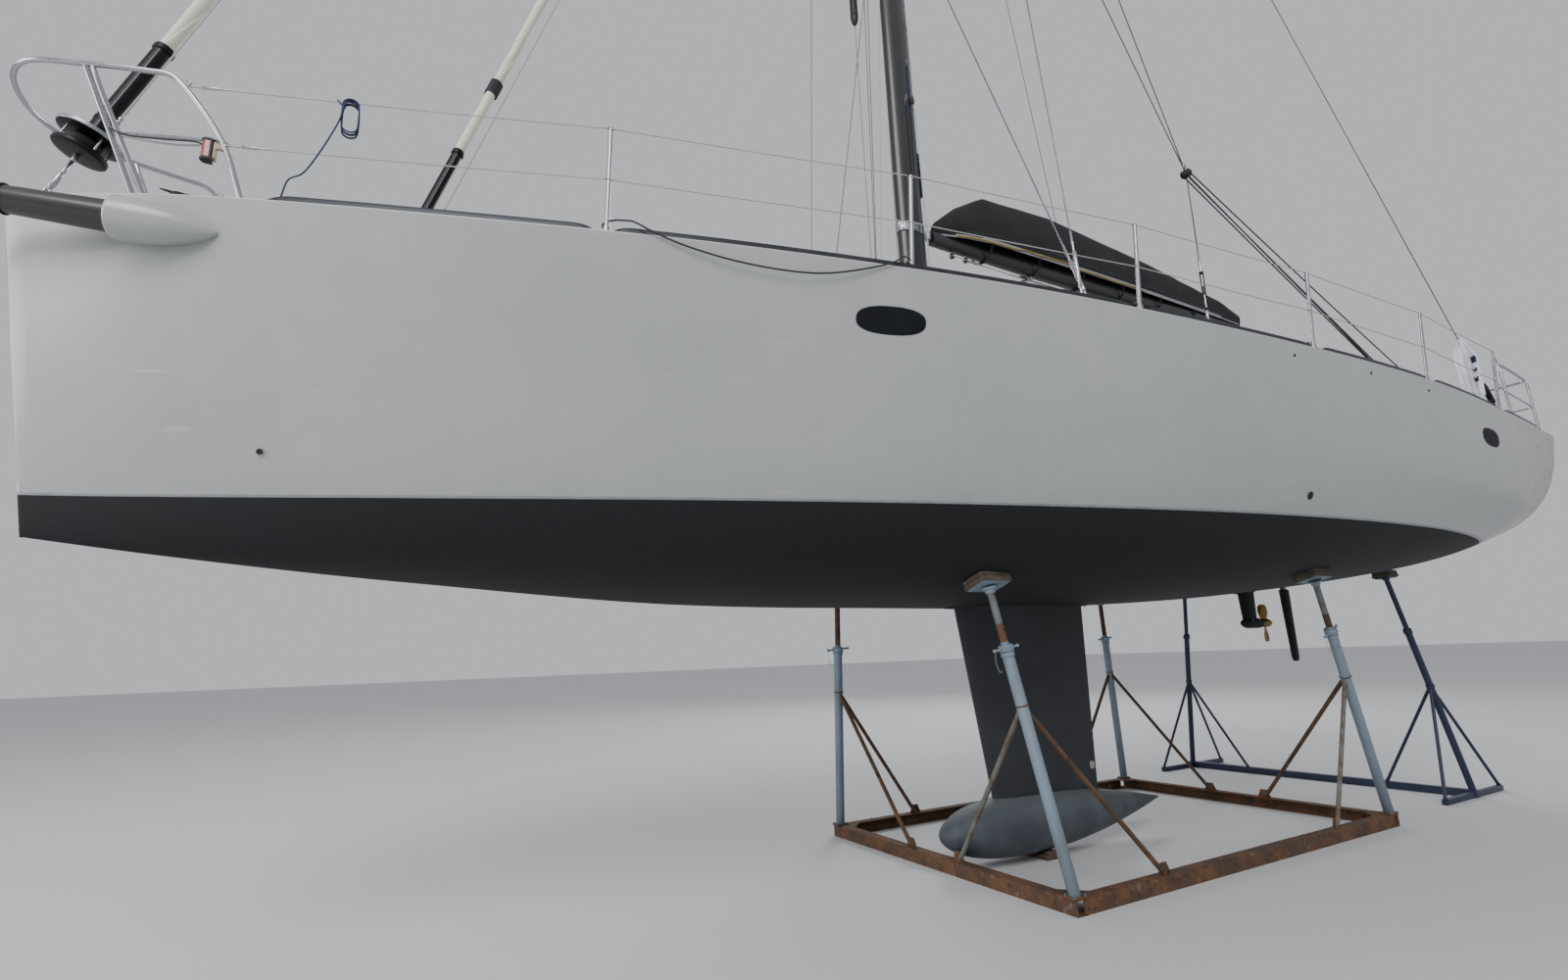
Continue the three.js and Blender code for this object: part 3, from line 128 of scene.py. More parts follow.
finishes = {
    # two-part polyurethane, sprayed: satin light grey, faint cloudy patches and rain streaks, and a painted
    # reflection at the stern drawn as mottled brown-grey patches
    "topsideEnamel": dict(base="A4A8A6", rough=0.3, coat=0.3, layers=[
        patches(1500, "989C9B", 0.5, low=0.42, rough=0.05),
        patches(260, "B3B6B2", 0.3, low=0.55, high=0.8),
        patches(90, "8E918D", 0.22, low=0.6, high=0.78, along=(1, 1, 0.07), rough=0.06),
        patches(34, "C2C4C1", 0.35, low=0.7, high=0.76, along=(0.12, 0.12, 1), rough=0.1),
        # painted reflection: mottled brown-grey patches that come in towards the stern
        patches(70, "7F7A6E", 0.6, low=0.45, high=0.68, rough=0.15, within=("X", -5000, -6400)),
        grain(9, 0.03)]),
    # edge of the masked paint where the bottom colour starts
    "bootLine": dict(base="8C9194", rough=0.45, layers=[patches(60, "6F7477", 0.5)]),
    # copper antifouling put on by roller: near black, dead matt, orange-peel stipple, chalky clouds
    "rolledAntifouling": dict(base="0B0D11", rough=0.78, layers=[
        patches(700, "12151A", 0.7, rough=0.05),
        patches(70, "24282D", 0.3, low=0.62, high=0.8),
        grain(11, 0.4), grain(3.5, 0.12)]),
    # cast iron fin and bulb under rolled epoxy: charcoal with scuffs and a few rust bleeds
    "paintedCastIron": dict(base="26292D", rough=0.66, layers=[
        patches(420, "34373B", 0.7),
        patches(55, "4A4D50", 0.4, low=0.64, high=0.8, rough=0.1),
        patches(30, "6B4630", 0.5, low=0.745, high=0.78),
        grain(14, 0.5)]),
    # the bulb's epoxy, scoured and chalked by years afloat: slate grey, with painted top light making it
    # paler on top, bare rust in the chips
    "scouredIronWithPaintedTopLight": dict(base="3B4148", rough=0.62, layers=[patches(300, "545B61", 0.7),
                                                           # painted top light: paler from 300 mm to 470 mm
                                                           # above the ground
                                                           dict(tex="Level", low=300, high=470,
            tint="7B8285", amount=0.45), patches(60, "2E3338", 0.5, low=0.62, high=0.8, rough=0.1),
                                                           patches(26, "6B4630", 0.6, low=0.74, high=0.78),
                                                           grain(14, 0.5)]),
    # moulded gelcoat: pale grey, slightly waxed, fine dirt in the lows
    "deckGelcoat": dict(base="C0C2BF", rough=0.33, coat=0.2, layers=[
        patches(600, "B2B4B0", 0.5, high=0.75, rough=0.06),
        patches(45, "A3A49D", 0.3, low=0.6, high=0.8), grain(12, 0.03)]),
    # diamond non-slip moulded in the gelcoat, drawn at 9 mm so that it shows
    "nonSlip": dict(base="A9ACAA", rough=0.7, layers=[
        dict(tex="Voronoi", mm=9, low=0.1, high=0.6, height=0.9, tint="9C9F9C", amount=0.5),
        patches(500, "B5B7B4", 0.5)]),
    # dark anodised extrusion of the toe rail: fine draw lines along it, salt bloom
    "anodisedRail": dict(base="34373B", rough=0.42, metal=0.7, layers=[
        patches(240, "4A4D50", 0.5, low=0.45, high=0.75, rough=0.1),
        dict(mm=5, along=(0.03, 1, 1), height=0.05)]),
    # 316 tube, mechanically polished: mirror bands with faint tea stain
    "polishedStainless": dict(base="B2B4B6", rough=0.16, metal=1, layers=[
        dict(mm=120, low=0.4, high=0.7, rough=0.1),
        patches(28, "8C7258", 0.35, low=0.68, high=0.8, rough=0.15)]),
    # 1x19 wire: bright strands laid round each other, drawn at 9 mm of lay so that they show
    "strandedWire": dict(base="8E9194", rough=0.3, metal=1, uv=True, layers=[
        dict(tex="Wave", mm=9, turn=38, low=0.1, high=0.7, tint="4E5154", amount=0.8, height=0.6)]),
    # wire lifeline in white vinyl gone grey
    "coveredWire": dict(base="A9ABA8", rough=0.5, layers=[patches(80, "8F918E", 0.6)]),
    # pultruded rod rigging under black shrink sleeve
    "sleevedRod": dict(base="17181A", rough=0.4, layers=[patches(60, "26282A", 0.5, rough=0.1)]),
    # carbon spar, clear lacquer over a twill of 8 mm tows: brown-black with a deep gloss
    "lacqueredCarbon": dict(base="131416", rough=0.4, coat=0.35, uv=True, layers=[
        dict(tex="Checker", mm=8, turn=45, low=0.2, high=0.8, tint="26272A", amount=0.6),
        patches(300, "22231F", 0.5, rough=0.06)]),
    # solution-dyed acrylic canvas: black plain weave, drawn at 3 mm, dusty on the upper faces
    "acrylicCanvas": dict(base="101114", rough=0.94, sheen=0.03, uv=True, layers=[
        threads(3, 0, 0.25), threads(3, 90, 0.25),
        patches(330, "1D1F22", 0.6, low=0.42, high=0.72),
        patches(24, "2A2C30", 0.25, low=0.6, high=0.8)]),
    # woven polyester sailcloth wound tight on the foil: cream with grey weathering along the leech
    "windedSailcloth": dict(base="D9D4C4", rough=0.7, sheen=0.1, layers=[
        patches(180, "BDB8A8", 0.5, low=0.45, high=0.75, along=(1, 1, 0.15)),
        dict(mm=22, along=(1, 1, 0.3), height=0.6), patches(40, "A29D8F", 0.3, low=0.62, high=0.8)]),
    # white ultraviolet strip on the leech
    "leechStrip": dict(base="C9C6BB", rough=0.75, layers=[patches(50, "A9A698", 0.5, height=0.4)]),
    # furler drums, blocks and cars: hard-anodised alloy, soft black sheen with bright rubbed spots
    "blackAnodised": dict(base="111214", rough=0.38, metal=0.6, layers=[
        patches(60, "1E2022", 0.5, low=0.45, high=0.75, rough=0.12),
        patches(14, "55585B", 0.3, low=0.72, high=0.8)]),
    # bare machined alloy: winches, fork ends, thimbles
    "satinAlloy": dict(base="A7ABAE", rough=0.34, metal=1, layers=[
        patches(40, "8D9194", 0.5, rough=0.12), grain(4, 0.02)]),
    # 16-plait polyester covers; the plait is 6 mm long, drawn on the rope's own length and girth
    "blackBraid": braid("1A1C20", "34373C"),
    "navyBraid": braid("15233F", "2D4470"),
    "paleBraid": braid("B9BAB4", "7D8087"),
    "yellowBraid": braid("A88A2C", "5D5020"),
    # cast acrylic, smoke tint: black mirror with hazy wipe marks
    "smokedAcrylic": dict(base="0B0D11", rough=0.07, coat=0.4, layers=[
        patches(130, "14161B", 0.5, low=0.45, high=0.8, along=(0.3, 1, 1), rough=0.1)]),
    # the hull's own windows, dulled by salt and sun: charcoal, hardly a reflection
    "dullAcrylic": dict(base="15181C", rough=0.55, shine=0.12, layers=[
        patches(110, "1D2126", 0.5, high=0.75, rough=0.1)]),
    # hot-dip galvanised prop tube: blue-grey spangle of 20 mm, darker towards the foot, rusty drips
    "galvanisedTube": dict(base="7E8E9B", rough=0.5, metal=0.35, layers=[
        dict(tex="Voronoi", mm=20, low=0.1, high=0.7, tint="8F9DA8", amount=0.4, rough=0.08),
        patches(120, "5B646C", 0.5, low=0.5, high=0.75, along=(1, 1, 0.2)),
        patches(45, "6A5240", 0.55, low=0.66, high=0.76, along=(1, 1, 0.25)),
        # darker from 700 mm down to 90 mm above the ground
        dict(tex="Level", low=700, high=90, tint="4A4B4A", amount=0.55), grain(6, 0.15)]),
    # mild steel channel left outdoors: brown scale, orange bloom, last scraps of grey paint
    "rustedChannel": dict(base="4E3D30", rough=0.88, metal=0.1, layers=[
        patches(160, "6B4A32", 0.8, low=0.42, high=0.62),
        patches(60, "7F5330", 0.6, low=0.56),
        patches(38, "2B221D", 0.8, low=0.6),
        patches(90, "77756E", 0.6, low=0.66, high=0.74),
        grain(7, 0.9), grain(22, 0.8)]),
    # braces: thin old paint over the same steel
    "paintedBrace": dict(base="6C7069", rough=0.75, metal=0.1, layers=[
        patches(110, "5A4636", 0.85, low=0.42, high=0.6),
        patches(35, "7C4E2F", 0.7, low=0.58, high=0.68), grain(7, 0.5)]),
    # dark blue stand enamel, chipped to rust at the edges
    "bluePaintedSteel": dict(base="16203A", rough=0.48, coat=0.1, layers=[
        patches(200, "22304F", 0.6, rough=0.1),
        patches(24, "5B3A26", 0.8, low=0.69, high=0.73), grain(8, 0.2)]),
    # plywood pad faces: grey-brown, wavy grain of 12 mm
    "weatheredPly": dict(base="5C5347", rough=0.85, layers=[
        dict(tex="Wave", mm=12, warp=6, low=0.2, high=0.8, tint="443C33", amount=0.7, height=0.5),
        patches(90, "777063", 0.5, low=0.5)]),
    # rough-sawn oak block under the bulb
    "sawnTimber": dict(base="57483A", rough=0.88, layers=[
        dict(tex="Wave", mm=16, warp=5, low=0.2, high=0.8, tint="3A3027", amount=0.7, height=0.8),
        patches(70, "6F6354", 0.5, low=0.5, high=0.72)]),
    # cast zinc, pitted: pale dull grey
    "castZinc": dict(base="A9ABA6", rough=0.7, metal=0.4, layers=[
        patches(14, "7C7F7B", 0.6, low=0.5, height=0.8)]),
    # cast bronze, polished by water: gold-brown with green in the roots
    "castBronze": dict(base="8E6C3A", rough=0.34, metal=1, layers=[
        patches(50, "57604A", 0.6, low=0.5, high=0.72, rough=0.2), grain(6, 0.05)]),
    # ribbed acrylic of the side lamps
    "redLens": lens("A0141A", "7A0D12"),
    "greenLens": lens("0F7A3C", "0B5A2C"),
    # injection-moulded nylon: soft black with a spark-eroded texture
    "mouldedNylon": dict(base="151618", rough=0.48, layers=[grain(2.5, 0.06),
                                                            dict(mm=50, low=0.4, high=0.7, rough=0.1)]),
    # knitted flag polyester: still white, with grey patches painted in as shade of its folds, with sewn navy
    # cloth
    "flagPolyester": dict(base="E4E6EC", rough=0.85, sheen=0.15, uv=True, layers=[
        # grey patches: painted shade of the folds, laid as random clouds
        threads(4, 0, 0.1), patches(120, "B7BBCB", 0.6, low=0.45)]),
    "flagNavy": dict(base="1B2136", rough=0.85, sheen=0.15, uv=True, layers=[threads(4, 0, 0.1)]),
    # chrome-tanned hide sewn round the rims: dark brown-grey grain, polished where hands run
    "stitchedLeather": dict(base="25211F", rough=0.55, layers=[dict(tex="Voronoi", mm=3, low=0.1, high=0.6,
            height=0.25), patches(130, "352F2B", 0.6, rough=-0.15)]),
    # teak strips with black caulking every 50 mm
    "caulkedTeak": dict(base="8A6E4E", rough=0.8, layers=[
        patches(9, "6E573E", 0.7, low=0.35, along=(0.06, 1, 1), height=0.2),
        dict(tex="Wave", mm=50, turn=90, low=0.965, high=0.985, tint="121212", amount=1, height=-0.6)]),
    # extruded rubber: hatch seals, mast boot, hoses
    "blackRubber": dict(base="141414", rough=0.7, layers=[patches(30, "222222", 0.6)]),
    # polysulphide bead round the windows, weathered pale
    "greySealant": dict(base="A3A6A6", rough=0.6, layers=[patches(40, "86898A", 0.5, low=0.45, high=0.75)]),
    # cream sealant and painted bracket of the lamps
    "creamBracket": dict(base="B7A98C", rough=0.5, layers=[patches(40, "95876B", 0.5, low=0.45)]),
    # cast boom end, red oxide showing through worn paint
    "weatheredCap": dict(base="4A2E24", rough=0.6, layers=[patches(60, "6A4434", 0.7, low=0.42, high=0.62),
                                                           grain(9, 0.3)]),
    # screw tube of a prop: zinc gone grey-brown with rust
    "weatheredSteel": dict(base="6E7478", rough=0.62, metal=0.3,
                           layers=[patches(130, "5C5048", 0.7, low=0.42, high=0.62),
                                   patches(30, "74563E", 0.6, low=0.6), grain(6, 0.3)]),
    # woven polyester tape: pale trim along the boom cover, sail ties
    "paleWebbing": dict(base="9B9DA0", rough=0.85, uv=True, layers=[
        dict(tex="Wave", mm=5, turn=0, low=0.2, high=0.8, tint="6E7074", amount=0.6, height=0.3)]),
}


def makeFinish(name):
    spec = finishes[name]
    material = bpy.data.materials.new(name)
    material.use_nodes = True
    tree = material.node_tree
    shader = tree.nodes["Principled BSDF"]
    constants = {"Metallic": spec.get("metal", 0.0), "Coat Weight": spec.get("coat", 0.0),
                 "Coat Roughness": 0.12, "Specular IOR Level": spec.get("shine", 0.5),
                 "Sheen Weight": spec.get("sheen", 0.0), "Sheen Roughness": 0.5}
    for socket, value in constants.items():
        shader.inputs[socket].default_value = value
    coordinates = node(tree, "ShaderNodeTexCoord")
    objectPlace = coordinates.outputs["Object"]
    ownPlace = coordinates.outputs["UV"] if spec.get("uv") else objectPlace
    colour, rough, normal = linear(spec["base"]), spec["rough"], None
    for count, layer in enumerate(spec["layers"]):
        tex = layer.get("tex", "Noise")
        place = objectPlace if tex in ("Noise", "Voronoi", "Level") else ownPlace
        size = layer.get("mm", 1)
        place = output(tree, "ShaderNodeMapping", {"Vector": place, "Scale": layer.get("along", (1, 1, 1)),
                                                   "Location": (0.37 * count, 0.11 * count, 0),
                                                   "Rotation": (0, 0, math.radians(layer.get("turn", 0)))})
        if tex == "Noise":
            value = output(tree, "ShaderNodeTexNoise", {"Vector": place, "Scale": 1000 / size,
                                                        "Detail": 3.0})
        elif tex == "Voronoi":
            value = node(tree, "ShaderNodeTexVoronoi",
                         {"Vector": place, "Scale": 1000 / size}).outputs["Distance"]
        elif tex == "Wave":   # a band every 2 pi / 20 units at scale 1
            value = node(tree, "ShaderNodeTexWave", {"Vector": place, "Scale": 314.16 / size,
                                                     "Distortion": layer.get("warp", 0.0),
                                                     "Detail": 1.0}).outputs["Fac"]
        elif tex == "Checker":
            value = node(tree, "ShaderNodeTexChecker",
                         {"Vector": place, "Scale": 1000 / size}).outputs["Fac"]
        else:   # Level: from one height above the ground to another
            value = node(tree, "ShaderNodeSeparateXYZ", {"Vector": objectPlace}).outputs["Z"]
        scale = 1000 if tex == "Level" else 1
        value = output(tree, "ShaderNodeMapRange",
                       {"Value": value, "From Min": layer.get("low", 0.0) / scale,
                        "From Max": layer.get("high", 1.0) / scale})
        if "within" in layer:   # the layer comes in from one place on an axis to another, in mm
            axis, start, end = layer["within"]
            along = node(tree, "ShaderNodeSeparateXYZ", {"Vector": objectPlace}).outputs[axis]
            share = output(tree, "ShaderNodeMapRange", {"Value": along, "From Min": start / 1000,
                                                        "From Max": end / 1000})
            value = calc(tree, "MULTIPLY", value, share)
        if "tint" in layer:
            amount = calc(tree, "MULTIPLY", value, layer["amount"])
            colour = node(tree, "ShaderNodeMix", {0: amount, 6: colour, 7: linear(layer["tint"])},
                          data_type="RGBA").outputs[2]
        if "rough" in layer:
            rough = calc(tree, "MULTIPLY_ADD", value, layer["rough"], rough)
        if "height" in layer:
            bump = {"Height": value, "Distance": abs(layer["height"]) / 1000, "Strength": 1.0}
            if normal is not None:
                bump["Normal"] = normal
            normal = output(tree, "ShaderNodeBump", bump, invert=layer["height"] < 0)
    for socket, value in (("Base Color", colour), ("Roughness", rough), ("Normal", normal)):
        if isinstance(value, bpy.types.NodeSocket):
            tree.links.new(value, shader.inputs[socket])
        elif value is not None:
            shader.inputs[socket].default_value = value
    return material


made = {}


def finish(name):
    if name not in made:
        made[name] = makeFinish(name)
    return made[name]


# Shapes: a shape is (points in metres, faces, one uv in metres for each face corner)


def loft(rings, capped=True, looped=False):
    grid = np.array([[tuple(p) for p in ring] for ring in rings])
    n, m = grid.shape[:2]
    rows, cols = np.meshgrid(np.arange(n if looped else n - 1), np.arange(m), indexing="ij")
    r, c = rows.ravel(), cols.ravel()
    r2, c2 = (r + 1) % n, (c + 1) % m
    faces = np.stack([r * m + c, r * m + c2, r2 * m + c2, r2 * m + c], 1)
    steps = np.linalg.norm(np.roll(grid, -1, 1) - grid, axis=2)
    wide = steps[np.argmax(steps.sum(1))]
    girth = np.concatenate([[0], np.cumsum(wide)])
    mids = grid.mean(1)
    run = np.concatenate([[0], np.cumsum(np.linalg.norm(np.roll(mids, -1, 0) - mids, axis=1))])
    uvs = np.stack([girth[c], run[r], girth[c + 1], run[r], girth[c + 1], run[r + 1], girth[c], run[r + 1]],
                   1)
    faces, uvs = faces.tolist(), uvs.reshape(-1, 2)
    if capped and not looped:
        faces += [list(range(m))[::-1], list(range((n - 1) * m, n * m))]
        uvs = np.concatenate([uvs, np.zeros((2 * m, 2))])
    return outward((grid.reshape(-1, 3), faces, uvs))


def outward(shape):
    points, faces = shape[:2]
    centre = points.mean(0)
    volume = 0.0
    for face in faces:
        a = points[face[0]] - centre
        for i in range(1, len(face) - 1):
            b, c = points[face[i]] - centre, points[face[i + 1]] - centre
            volume += (a[0] * (b[1] * c[2] - b[2] * c[1]) + a[1] * (b[2] * c[0] - b[0] * c[2])
                       + a[2] * (b[0] * c[1] - b[1] * c[0]))
    return shape if volume > 0 else turnedRound(shape)


def turnedRound(shape):
    points, faces, uvs = shape
    ends = np.cumsum([0] + [len(f) for f in faces])
    uvs = np.concatenate([uvs[a:b][::-1] for a, b in zip(ends[:-1], ends[1:])])
    return points, [f[::-1] for f in faces], uvs


def placed(shape, matrix):
    points = shape[0] @ np.array(matrix.to_3x3()).T + np.array(matrix.translation)
    changed = (points, shape[1], shape[2])
    return turnedRound(changed) if matrix.determinant() < 0 else changed


def acrossShip(p):
    return Vector((p.x, -p.y, p.z))


def mirrored(shapes):
    return [placed(shape, Matrix.Diagonal((1, -1, 1, 1))) for shape in shapes]


def turnsOf(count):
    return [2 * math.pi * i / count for i in range(count)]


def circle(radius, sides, tall=None):
    tall = radius if tall is None else tall
    return [(radius * math.cos(a), tall * math.sin(a)) for a in turnsOf(sides)]


# A section, in mm, swept along a path; sizes scales it at each point
def sweep(path, section, up=None, sizes=None, looped=False):
    path = [Vector(p) for p in path]
    n = len(path)
    rings, side = [], None
    for i, p in enumerate(path):
        before = path[(i - 1) % n] if looped else path[max(i - 1, 0)]
        after = path[(i + 1) % n] if looped else path[min(i + 1, n - 1)]
        tangent = (after - before).normalized()
        if up is not None:
            side = tangent.cross(up).normalized()
        else:
            side = tangent.orthogonal() if side is None else side - tangent * side.dot(tangent)
            side.normalize()
        over = side.cross(tangent)
        size = (sizes[i] if sizes else 1) / 1000
        rings.append([p + side * (u * size) + over * (v * size) for u, v in section])
    return loft(rings, looped=looped)


def tube(path, radius, sides=12, looped=False):
    return sweep(path, circle(radius, sides), looped=looped)


# Round bar with its ends eased
def rod(a, b, radius, endRadius=None, sides=14, ease=None):
    endRadius = radius if endRadius is None else endRadius
    ease = min(2.0, 0.25 * min(radius, endRadius)) if ease is None else ease
    along = (b - a).normalized() * (ease / 1000)
    sizes = [radius - ease, radius, endRadius, endRadius - ease]
    return sweep([a, a + along, b - along, b], circle(1, sides), sizes=sizes)


# Turned piece: radius and distance along the axis, in mm
def turned(profile, base, axis, sides=28):
    axis = axis.normalized()
    side = axis.orthogonal().normalized()
    over = axis.cross(side)
    rings = [[base + axis * (h / 1000) + (side * math.cos(a) + over * math.sin(a)) * (max(r, 0.001) / 1000)
              for a in turnsOf(sides)] for r, h in profile]
    return loft(rings)


def ball(centre, radius, sides=16):
    half = sides // 2
    profile = [(radius * math.sin(math.pi * i / half), -radius * math.cos(math.pi * i / half))
               for i in range(half + 1)]
    return turned(profile, centre, upward, sides)


def ringOf(centre, axis, radius, thick, sides=10, count=40):
    axis = axis.normalized()
    side = axis.orthogonal().normalized()
    over = axis.cross(side)
    path = [centre + (side * math.cos(a) + over * math.sin(a)) * (radius / 1000) for a in turnsOf(count)]
    return tube(path, thick, sides, looped=True)


# Box between two corners, in mm, with eased edges
def box(s0, s1, y0, y1, z0, z1, ease=2.0, corner=None):
    corner = ease if corner is None else corner
    rings = []
    for z, inset in ((z0, ease), (z0 + ease, 0), (z1 - ease, 0), (z1, ease)):
        ring = []
        for k, (cs, cy) in enumerate(((s0, y0), (s1, y0), (s1, y1), (s0, y1))):
            ks, ky = (1 if cs == s0 else -1), (1 if cy == y0 else -1)
            for step in range(4):
                a = math.pi * (1 + k / 2) + step * math.pi / 6
                ring.append(at(cs + ks * (inset + corner) + corner * math.cos(a), cy + ky * (inset + corner)
                               + corner * math.sin(a), z))
        rings.append(ring)
    return loft(rings)


# Plate of one thickness on a flat outline of points; lift is its thickness as a vector
def plate(outline, lift, ease=0.8):
    centre = sum(outline, Vector()) / len(outline)
    rings = []
    for part, inset in ((0, ease), (ease / 1000 / lift.length, 0), (1 - ease / 1000 / lift.length, 0),
                        (1, ease)):
        rings.append([p + lift * part + (centre - p).normalized() * (inset / 1000) for p in outline])
    return loft(rings)


def smoothPath(points, spacing):
    points = [Vector(p) for p in points]
    padded = [2 * points[0] - points[1]] + points + [2 * points[-1] - points[-2]]
    out = [points[0]]
    for i in range(1, len(padded) - 2):
        p0, p1, p2, p3 = padded[i - 1:i + 3]
        t1 = (p1 - p0).length ** 0.5
        t2 = t1 + (p2 - p1).length ** 0.5
        t3 = t2 + (p3 - p2).length ** 0.5
        count = max(1, round((p2 - p1).length * 1000 / spacing))
        for j in range(1, count + 1):
            t = t1 + (t2 - t1) * j / count
            a1 = p0 * ((t1 - t) / t1) + p1 * (t / t1)
            a2 = p1 * ((t2 - t) / (t2 - t1)) + p2 * ((t - t1) / (t2 - t1))
            a3 = p2 * ((t3 - t) / (t3 - t2)) + p3 * ((t - t2) / (t3 - t2))
            b1 = a1 * ((t2 - t) / t2) + a2 * (t / t2)
            b2 = a2 * ((t3 - t) / (t3 - t1)) + a3 * ((t - t1) / (t3 - t1))
            out.append(b1 * ((t2 - t) / (t2 - t1)) + b2 * ((t - t1) / (t2 - t1)))
    return out


# Bent tube: straight runs with each corner rounded to a radius in mm
def bent(points, radius, count=7):
    points = [Vector(p) for p in points]
    out = [points[0]]
    for before, corner, after in zip(points, points[1:], points[2:]):
        toBefore, toAfter = (before - corner), (after - corner)
        half = toBefore.angle(toAfter) / 2
        reach = min(radius / 1000 / math.tan(half), 0.45 * toBefore.length,
                    0.45 * toAfter.length) if half < 1.55 else 0
        if reach < 0.002:
            out.append(corner)
            continue
        a, b = corner + toBefore.normalized() * reach, corner + toAfter.normalized() * reach
        for i in range(count + 1):
            t = i / count
            out.append(a * (1 - t) ** 2 + corner * (2 * t * (1 - t)) + b * t ** 2)
    return out + [points[-1]]


def between(a, b, part):
    return a + (b - a) * part


def onWay(a, b, distance):
    return a + (b - a).normalized() * (distance / 1000)


# Pieces
mergeWithin, collapseUnder = 3e-6, 1e-6   # metres


def put(parts, surface, *shapes):
    parts.setdefault(surface, []).extend(shapes)


def linked(name, data):
    fresh = bpy.data.objects.new(name, data)
    bpy.context.scene.collection.objects.link(fresh)
    return fresh


def shaded(mesh, crease):
    mesh.polygons.foreach_set("use_smooth", [True] * len(mesh.polygons))
    mesh.set_sharp_from_angle(angle=math.radians(crease))
    return mesh


def meshOf(name, parts, crease=38):
    points, faces, uvs, marks, names = [], [], [], [], []
    start = 0
    for finishName, shapes in parts.items():
        names.append(finishName)
        for shapePoints, shapeFaces, shapeUvs in shapes:
            points.append(shapePoints)
            faces += [[i + start for i in face] for face in shapeFaces]
            uvs.append(shapeUvs)
            marks += [len(names) - 1] * len(shapeFaces)
            start += len(shapePoints)
    mesh = bpy.data.meshes.new(name)
    mesh.from_pydata(np.concatenate(points).tolist(), [], faces)
    mesh.uv_layers.new(name="girthAndLength").data.foreach_set("uv", np.concatenate(uvs).ravel())
    mesh.polygons.foreach_set("material_index", marks)
    for finishName in names:
        mesh.materials.append(finish(finishName))
    work = bmesh.new()
    work.from_mesh(mesh)
    bmesh.ops.remove_doubles(work, verts=work.verts, dist=mergeWithin)
    bmesh.ops.dissolve_degenerate(work, edges=work.edges, dist=collapseUnder)
    work.to_mesh(mesh)
    work.free()
    return shaded(mesh, crease)


def addObject(name, mesh, body, replaces=()):
    made = linked(name, mesh)
    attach(made, body)
    if replaces:
        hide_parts(*replaces)
    return made


def addPiece(name, parts, replaces=(), body="yacht", crease=38):
    return addObject(name, meshOf(name, parts, crease), body, replaces)


def addPair(name, parts, replaces=(), body="yacht", crease=38):
    port = [f"{r}_port" for r in replaces]
    starboard = [f"{r}_stbd" for r in replaces]
    bodies = (body, body) if isinstance(body, str) else body
    addPiece(f"{name}_port", parts, port, bodies[0], crease)
    addPiece(f"{name}_stbd", {k: mirrored(v) for k, v in parts.items()}, starboard, bodies[1], crease)


# Mesh with shapes cut out of it; the cut faces take the cutters' finish
def cutMesh(mesh, cutters, crease=38):
    whole = linked("whole", mesh)
    tools = []
    for finishName, shapes in cutters.items():
        for shape in shapes:
            tool = linked("tool", meshOf("tool", {finishName: [shape]}))
            tools.append(tool)
            change = whole.modifiers.new("cut", "BOOLEAN")
            change.operation, change.solver, change.material_mode = "DIFFERENCE", "EXACT", "TRANSFER"
            change.object = tool
    result = bpy.data.meshes.new_from_object(whole.evaluated_get(bpy.context.evaluated_depsgraph_get()))
    for used in [whole] + tools:
        bpy.data.objects.remove(used)
    return shaded(result, crease)


# Form of the hull, deck and coachroof, as measured columns along the yacht, in mm
hullColumns = {
    "s": (0, 700, 1800, 3400, 5200, 7200, 9200, 11000, 12350),
    "beam": (32, 411, 872, 1364, 1761, 2044, 2145, 2062, 1957),
    "sheer": (3880, 3853, 3787, 3740, 3689, 3618, 3582, 3556, 3524),
    "keel": (2225, 2153, 2050, 1928, 1909, 1929, 2026, 2195, 2393),
    "reach": (0.297, 0.394, 0.539, 0.688, 0.805, 0.886, 0.924, 0.918, 0.814),
    "rise": (23, 52, 81, 81, 59, 35, 36, 26, 54),
    "flare": (11, 163, 299, 310, 217, 104, 45, 35, 95),
    "bilge": (2972, 2738, 2505, 2354, 2294, 2280, 2346, 2520, 2704),
}
roofColumns = {
    "s": (4300, 5000, 6200, 7600, 8960), "foot": (560, 860, 1080, 1180, 1200),
    "top": (380, 690, 900, 1010, 1040), "height": (15, 170, 270, 350, 400),
}
hullEnd = 12350
# mm aft or forward for each mm down
rakes = {"stem": 0.172, "stemUntil": 2000, "stern": 0.068, "sternFrom": 9500}


def column(table, name, s):
    places, values = table["s"], table[name]
    last = len(places) - 1
    i = 0
    while i < last - 1 and s >= places[i + 1]:
        i += 1

    def slope(k):
        a, b = max(k - 1, 0), min(k + 1, last)
        return (values[b] - values[a]) / (places[b] - places[a])
    h = places[i + 1] - places[i]
    t = (s - places[i]) / h
    return ((2 * t ** 3 - 3 * t ** 2 + 1) * values[i] + (t ** 3 - 2 * t ** 2 + t) * h * slope(i)
            + (3 * t ** 2 - 2 * t ** 3) * values[i + 1] + (t ** 3 - t ** 2) * h * slope(i + 1))


def beamAt(s):
    return column(hullColumns, "beam", s)


def sheerAt(s):
    return column(hullColumns, "sheer", s)


deckForm = {"inset": 8, "least": 12, "above": 12, "camber": 0.045}


def deckHalf(s):
    return max(beamAt(s) - deckForm["inset"], deckForm["least"])


def deckTop(s, y):
    half = deckHalf(s)
    return sheerAt(s) + deckForm["above"] + deckForm["camber"] * half * (1 - min(1, (y / half) ** 2))


def roofTop(s):
    return deckTop(s, 0) + column(roofColumns, "height", s)


